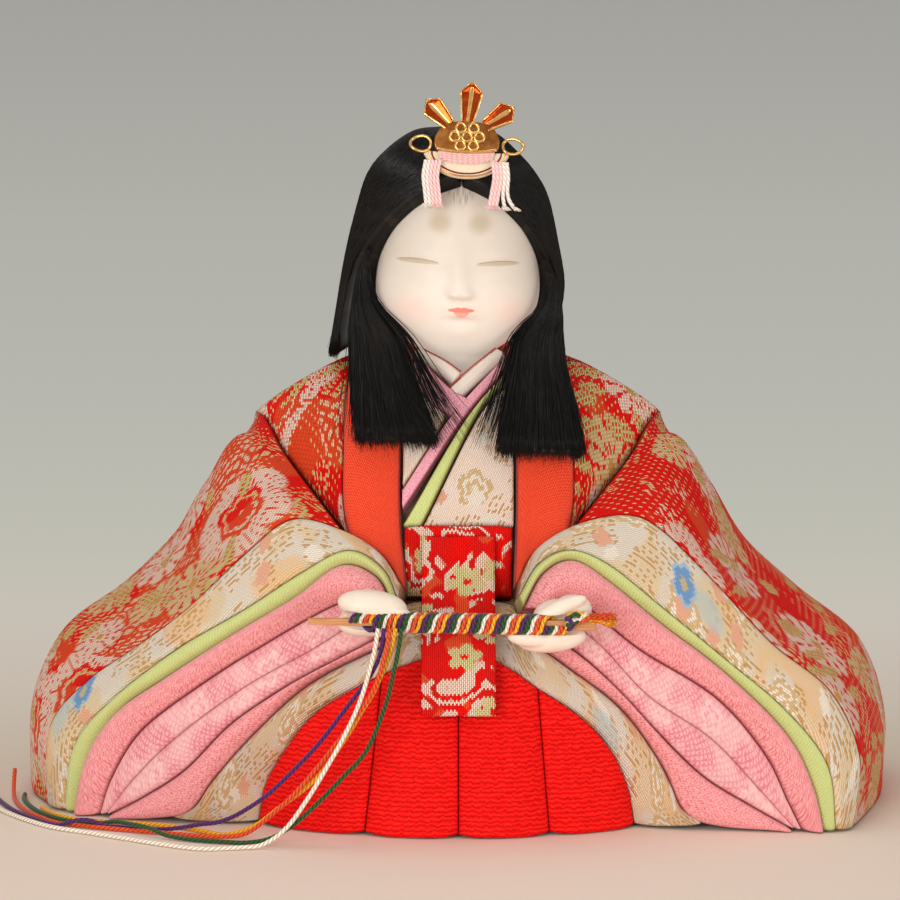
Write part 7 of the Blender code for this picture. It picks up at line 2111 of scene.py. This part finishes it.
def build_band(base, front, look):
    """The corded band: cords side by side along the crescent, each a tube over the pad."""
    upper, lower = np.array(BAND_TOP_SHARES), np.array(BAND_LOW_SHARES)
    for cord in range(BAND_CORDS):
        edge = lower + (upper - lower) * (cord + 0.5) / BAND_CORDS
        x, y = smooth_curve(edge * [BAND_WIDTH, BAND_DROP] + [0, PAD_DROP - BAND_DROP], 60).T
        path = in_world(spread(x, y, front + BAND_THICK / 2), base)
        name = "crown_band_cord_%d" % (cord + 1)
        mesh = twisted_cord(name, path, 0.00040, sides=8, plies=2, lay=FINE_LAY)
        place_piece(name, mesh, look, "crown", ("crown_band",))


def build_ribbons():
    """Ribbons of five cords side by side, the outer two white, with frayed ends."""
    pink = cord_finish("ribbon_pink", linear(253, 218, 214), linear(240, 180, 182))
    white = cord_finish("ribbon_white", linear(252, 244, 236), linear(220, 200, 186))
    rng = np.random.default_rng(3)
    fall = np.linspace(0, 1, 40)
    bend, forward, down = smooth_curve(RIBBON_BEND_SHARES, 40).T
    y = -CROWN_FORWARD - PAD_THICK - CROWN_GAP - forward * RIBBON_WIDTH - RIBBON_THICK / 2
    z = CROWN_BASE + PAD_DROP * RIBBON_START_SHARE - down * RIBBON_LENGTH
    for side, sign in SIDES:
        for cord, look in enumerate((white, white, pink, pink, pink)):
            offset = sign * (2 - cord) * RIBBON_WIDTH * 0.185
            flare = sign * (2 - cord) * (cord < 2) * (side == "right") * 0.0013 * fall ** 5
            path = spread(sign * (RIBBON_SPREAD + bend * RIBBON_WIDTH) + offset + flare + CROWN_SIDE, y, z)
            name = "crown_ribbon_%s_cord_%d" % (side, cord + 1)
            mesh = twisted_cord(name, in_world(path, head_frame()), RIBBON_CORD, sides=10, lay=FINE_LAY, flat=0.74)
            place_piece(name, mesh, look, "crown", ("crown_ribbon_" + side,))
            foot = path[-1] + rng.normal(0, 0.00032, (46, 1, 3)) * [1, 0.5, 0]
            out = rng.normal(0, 0.00040, (46, 1, 3)) * [1, 0.4, 0.3] + [flare[-1] * 0.5, 0, -0.0010]
            ends = in_world(foot + out * np.linspace(0, 1, 6)[None, :, None], head_frame())
            mesh = strand_bundle(name + "_ends", ends, HAIR_STRAND)
            place_piece(name + "_ends", mesh, look, "crown")


def build_hands():
    """Two curled hands: egg forms for palm, thumb and wrist, melted together, smoothed, and kept
    clear of the fan: a point nearer to its axis than the grip's radius moves straight away from it."""
    look = hand_white()
    for side, place in (("left", LEFT_HAND_PLACE), ("right", RIGHT_HAND_PLACE)):
        work = bmesh.new()
        for middle, axes, tilt in HAND_FORMS[side]:
            made = bmesh.ops.create_icosphere(work, subdivisions=4, radius=1.0)
            shape = (Matrix.Translation(np.array(middle) * MM) @ Matrix.Rotation(math.radians(-tilt), 4, "Y")
                     @ Matrix.Diagonal((*(np.array(axes) * MM), 1.0)))
            bmesh.ops.transform(work, verts=made["verts"], matrix=shape)
        rough = bpy.data.meshes.new("hand_form_" + side)
        work.to_mesh(rough)
        work.free()
        form = bpy.data.objects.new("hand_form_" + side, rough)
        bpy.context.scene.collection.objects.link(form)
        melt = form.modifiers.new("melt", "REMESH")
        melt.mode = "VOXEL"
        melt.voxel_size = HAND_VOXEL
        soften = form.modifiers.new("soften", "SMOOTH")
        soften.factor = 0.5
        soften.iterations = 9
        graph = bpy.context.evaluated_depsgraph_get()
        mesh = bpy.data.meshes.new_from_object(form.evaluated_get(graph), depsgraph=graph)
        bpy.data.objects.remove(form)
        points = np.empty(len(mesh.vertices) * 3)
        mesh.vertices.foreach_get("co", points)
        points = points.reshape(-1, 3)
        away = points[:, 1:]
        far = np.linalg.norm(away, axis=1, keepdims=True)
        points[:, 1:] = away / np.maximum(far, WELD) * np.maximum(far, HAND_GRIP)
        points = in_world(points + [place, 0, 0], fan_frame())
        mesh.vertices.foreach_set("co", points.ravel())
        mesh.polygons.foreach_set("use_smooth", np.ones(len(mesh.polygons), bool))
        mesh.materials.clear()
        mesh.name = "hand_" + side + "_shell"
        place_piece("hand_" + side + "_shell", mesh, look, "torso", ("hand_" + side,))


def build_fan_and_base():
    """Carried-over nodes: the fan's blades, the core, the peg and the felt get their finishes."""
    cover_node("fan_blade_front", cedar())
    cover_node("fan_blade_back", cedar())
    cover_node("body_core", plain_wood("core_sawdust", linear(206, 178, 138), linear(158, 128, 90), 0.5))
    cover_node("neck_peg", plain_wood("peg_softwood", linear(222, 190, 142), linear(186, 148, 100), 0.25))
    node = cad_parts["base_felt"]
    mesh = node.data.copy()
    work = bmesh.new()
    work.from_mesh(mesh)
    bmesh.ops.remove_doubles(work, verts=work.verts, dist=WELD)
    work.to_mesh(mesh)
    work.free()
    mesh.materials.clear()
    mesh.name = "base_felt_sheet"
    piece = place_piece("base_felt_sheet", mesh, felt_finish(), "torso", ("base_felt",))


def cover_node(name, look):
    """Give a carried-over CAD node its finish."""
    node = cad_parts[name]
    if not node.material_slots:
        node.data.materials.append(look)
    for each in node.material_slots:
        each.material = look


def build_stage():
    """Floor that turns up into a wall, lamps and camera."""
    scene = bpy.context.scene
    scene.view_settings.view_transform = "Standard"
    target = Vector(VIEW_TARGET)
    offset = Vector((0, -math.cos(VIEW_ELEVATION), math.sin(VIEW_ELEVATION)))
    camera = bpy.data.cameras.new("camera")
    camera.sensor_width = SENSOR_MM
    camera.lens = SENSOR_MM * VIEW_DISTANCE / VIEW_WIDTH
    camera.clip_start = 0.05
    view = bpy.data.objects.new("camera", camera)
    scene.collection.objects.link(view)
    view.location = target + offset * VIEW_DISTANCE
    view.rotation_euler = (target - view.location).to_track_quat("-Z", "Y").to_euler()
    scene.camera = view
    build_backdrop(scene, np.array(view.location), np.array(offset))
    build_world(scene)
    for name, place, size, power, colour in LAMPS:
        lamp = bpy.data.lights.new(name, "AREA")
        lamp.energy = power * chosen("lamp_share")
        lamp.size = size
        lamp.color = colour
        item = bpy.data.objects.new(name, lamp)
        scene.collection.objects.link(item)
        item.visible_camera = False
        item.location = place
        item.rotation_euler = (Vector((0, 0, 0.08)) - Vector(place)).to_track_quat("-Z", "Y").to_euler()


def build_backdrop(scene, eye, offset):
    """A sweep of paper: flat, a quarter circle up, then upright.

    Its map holds the height in the picture, 0 at the bottom and 1 at the top, found by projecting
    each point on the camera's plane. The lit floor fades into paper that glows with a painted gradient of light by
    that height.
    """
    flat = np.linspace(-SWEEP_FRONT, SWEEP_BACK, 300)
    turn = np.linspace(0, math.pi / 2, 40)[1:]
    rise = np.linspace(0, SWEEP_TOP, 120)[1:]
    y = np.concatenate([flat, SWEEP_BACK + PAPER_RADIUS * np.sin(turn), rise * 0 + SWEEP_BACK + PAPER_RADIUS])
    z = np.concatenate([flat * 0, PAPER_RADIUS * (1 - np.cos(turn)), PAPER_RADIUS + rise])
    grid = spread(np.linspace(-SWEEP_REACH, SWEEP_REACH, 9), y[:, None], z[:, None])
    seen = grid.reshape(-1, 3) - eye
    up = np.cross([1.0, 0.0, 0.0], -offset)
    share = (seen @ up) / np.maximum(seen @ -offset, 0.05) * VIEW_DISTANCE / VIEW_WIDTH + 0.5
    mesh = make_mesh("stage_paper", grid.reshape(-1, 3), grid_faces(*grid.shape[:2]),
                     {"picture": (share * 0, np.clip(share, -1, 2))})
    paper = bpy.data.objects.new("stage_paper", mesh)
    scene.collection.objects.link(paper)
    finish = Finish("stage_paper", roughness=0.9, specular_ior_level=0.1, emission_strength=1.0)
    u, v, w = finish.split(finish.node("UVMap", {"uv_map": "picture"}))
    stops = [(spot, linear(*colour)) for spot, colour in PAPER_LIGHT_STOPS]
    # Painted light: the paper glows with these colours by height in the picture, to camera and glossy rays, and the
    # lit floor takes them as its colour
    painted = finish.node("ValToRGB", {"stops": stops}, {0: v})
    lit = 1 - finish.between(v, *PAPER_FADE)
    finish.paint(finish.shade(painted, lit * PAPER_SHARE))
    seen = finish.maths("MAXIMUM", finish.node("LightPath"), finish.node("LightPath", output=3))
    finish.glow(finish.shade(painted, (1 - lit) * seen))
    mesh.materials.append(finish.material)


def build_world(scene):
    """World: one soft even light."""
    world = bpy.data.worlds.new("studio")
    scene.world = world
    world.use_nodes = True
    shade = world.node_tree.nodes["Background"]
    shade.inputs["Color"].default_value = (*(np.array(linear(250, 246, 240)) * WORLD_LIGHT), 1.0)


def shade_property(title, note, red, green, blue):
    """A colour of the panel, given as the screen's 0 to 255 and kept as light."""
    return FloatVectorProperty(name=title, description=note, subtype="COLOR", size=3, min=0, max=1,
                               default=linear(red, green, blue)[:3])


def length_property(title, note, metres):
    """A length of the panel, in metres."""
    return FloatProperty(name=title, description=note, default=metres, min=0, precision=5, subtype="DISTANCE",
                         unit="LENGTH")


class DollColours(bpy.types.PropertyGroup):
    """Colours of the cloths, cords and skin."""

    jacket_red: shade_property("Jacket red", "Ground of the red brocade", 246, 16, 8)
    jacket_white: shade_property("Jacket white", "Petals woven in the red brocade", 246, 228, 206)
    lapel_orange: shade_property("Lapel orange", "Crepe of the two lapels", 250, 84, 46)
    hakama_red: shade_property("Trouser red", "Ribbed crepe of the pleated trousers", 240, 14, 10)
    roll_pink: shade_property("Roll pink", "Crepe rolls of the sleeve openings", 247, 171, 172)
    lining_pink: shade_property("Lining pink", "Figured lining of the sleeves", 244, 176, 180)
    collar_pink: shade_property("Collar pink", "Pink collars", 250, 184, 196)
    sleeve_green: shade_property("Sleeve green", "Green layer of the sleeves", 214, 220, 150)
    collar_green: shade_property("Collar green", "Green collar", 220, 226, 150)
    skin: shade_property("Skin", "Polished shell white of the face", 226, 215, 203)
    lips: shade_property("Lips", "Upper lip", 228, 104, 84)
    cord_purple: shade_property("Purple cord", "Purple cord of the fan", 92, 30, 112)
    cord_green: shade_property("Green cord", "Green cord of the fan", 40, 92, 34)
    cord_red: shade_property("Red cord", "Red cord of the fan", 240, 88, 20)
    cord_yellow: shade_property("Yellow cord", "Yellow cord of the fan", 252, 190, 22)


class DollSizes(bpy.types.PropertyGroup):
    """Sizes of the details that the cloth and hair carry."""

    rib_pitch: length_property("Rib pitch", "Height of one rib of the trouser crepe", RIB_PITCH)
    rib_height: length_property("Rib height", "How far a rib stands out", RIB_HEIGHT)
    fold_height: length_property("Fold height", "Depth of the soft ripples in padded cloth", FOLD_HEIGHT)
    hair_radius: length_property("Hair radius", "Half the thickness of one hair", HAIR_STRAND)
    piping_radius: length_property("Piping radius", "Half the thickness of the collar piping", PIPING_RADIUS)
    wig_hairs: IntProperty(name="Wig hairs", description="Loose hairs in a layer on each half of the wig",
                           default=WIG_HAIRS, min=100, max=6000)
    lock_hairs: IntProperty(name="Lock hairs", description="Hairs in a layer of a front lock",
                            default=LOCK_HAIRS, min=100, max=4000)
    lamp_share: FloatProperty(name="Lamp strength", description="Share of the lamps' power", default=1.0, min=0,
                              max=4, subtype="FACTOR")


class DOLL_OT_stage(bpy.types.Operator):
    """Set the paper sweep, the lamps and the camera"""
    bl_idname = "doll.stage"
    bl_label = "Stage"

    def execute(self, context):
        build_stage()
        return {"FINISHED"}


class DOLL_OT_cords(bpy.types.Operator):
    """Wind the fan and lay its five cords down to the table"""
    bl_idname = "doll.cords"
    bl_label = "Fan cords"

    def execute(self, context):
        build_cords()
        return {"FINISHED"}


class DOLL_OT_sleeves(bpy.types.Operator):
    """Line the two sleeve openings with their cloths and rolls"""
    bl_idname = "doll.sleeves"
    bl_label = "Sleeve openings"

    def execute(self, context):
        build_sleeve_openings()
        return {"FINISHED"}


class DOLL_OT_jacket(bpy.types.Operator):
    """Cover back, sleeves and fronts with brocade, and lay on the lapels"""
    bl_idname = "doll.jacket"
    bl_label = "Jacket"

    def execute(self, context):
        build_jacket()
        return {"FINISHED"}


class DOLL_OT_kimono(bpy.types.Operator):
    """Lay the cream fronts beside the trousers"""
    bl_idname = "doll.kimono"
    bl_label = "Kimono fronts"

    def execute(self, context):
        build_kimono_front()
        return {"FINISHED"}


class DOLL_OT_trousers(bpy.types.Operator):
    """Pleat the four ribbed panels of the trousers"""
    bl_idname = "doll.trousers"
    bl_label = "Trousers"

    def execute(self, context):
        build_trousers()
        return {"FINISHED"}


class DOLL_OT_chest(bpy.types.Operator):
    """Fold the collars and chest panels, and tie the sash"""
    bl_idname = "doll.chest"
    bl_label = "Collars and sash"

    def execute(self, context):
        build_chest()
        return {"FINISHED"}


class DOLL_OT_head(bpy.types.Operator):
    """Form the head and its painted face"""
    bl_idname = "doll.head"
    bl_label = "Head"

    def execute(self, context):
        build_head()
        return {"FINISHED"}


class DOLL_OT_hair(bpy.types.Operator):
    """Comb the wig, the front locks and the long hair, strand by strand"""
    bl_idname = "doll.hair"
    bl_label = "Hair"

    def execute(self, context):
        build_hair()
        return {"FINISHED"}


class DOLL_OT_crown(bpy.types.Operator):
    """Seat the gilt crown on its pad, with loops and ribbons"""
    bl_idname = "doll.crown"
    bl_label = "Crown"

    def execute(self, context):
        build_crown()
        return {"FINISHED"}


class DOLL_OT_hands(bpy.types.Operator):
    """Curl the two hands round the fan"""
    bl_idname = "doll.hands"
    bl_label = "Hands"

    def execute(self, context):
        build_hands()
        return {"FINISHED"}


class DOLL_OT_carried(bpy.types.Operator):
    """Give the fan's blades, core, peg and felt base their finishes"""
    bl_idname = "doll.carried"
    bl_label = "Fan, core and base"

    def execute(self, context):
        build_fan_and_base()
        return {"FINISHED"}


OPERATORS = (DOLL_OT_stage, DOLL_OT_cords, DOLL_OT_sleeves, DOLL_OT_jacket, DOLL_OT_kimono, DOLL_OT_trousers,
             DOLL_OT_chest, DOLL_OT_head, DOLL_OT_hair, DOLL_OT_crown, DOLL_OT_hands, DOLL_OT_carried)


class DOLL_PT_sidebar(bpy.types.Panel):
    """Colours, sizes and the steps in their order"""
    bl_idname = "DOLL_PT_sidebar"
    bl_label = "Seated Empress Doll"
    bl_space_type = "VIEW_3D"
    bl_region_type = "UI"
    bl_category = "Doll"

    def draw(self, context):
        for group in (context.scene.doll_colours, context.scene.doll_sizes):
            box = self.layout.box()
            for name in group.__annotations__:
                box.prop(group, name)
        for kind in OPERATORS:
            self.layout.operator(kind.bl_idname)


CLASSES = (DollColours, DollSizes, *OPERATORS, DOLL_PT_sidebar)


def register():
    """Register the classes, and hang the two groups on the scene."""
    for kind in CLASSES:
        bpy.utils.register_class(kind)
    bpy.types.Scene.doll_colours = PointerProperty(type=DollColours)
    bpy.types.Scene.doll_sizes = PointerProperty(type=DollSizes)


def unregister():
    """Take the groups off the scene, and the classes with them."""
    del bpy.types.Scene.doll_sizes
    del bpy.types.Scene.doll_colours
    for kind in reversed(CLASSES):
        bpy.utils.unregister_class(kind)


def main():
    """Register the add-on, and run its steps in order."""
    register()
    for kind in OPERATORS:
        group, step = kind.bl_idname.split(".")
        getattr(getattr(bpy.ops, group), step)()


if __name__ == "__main__":
    main()
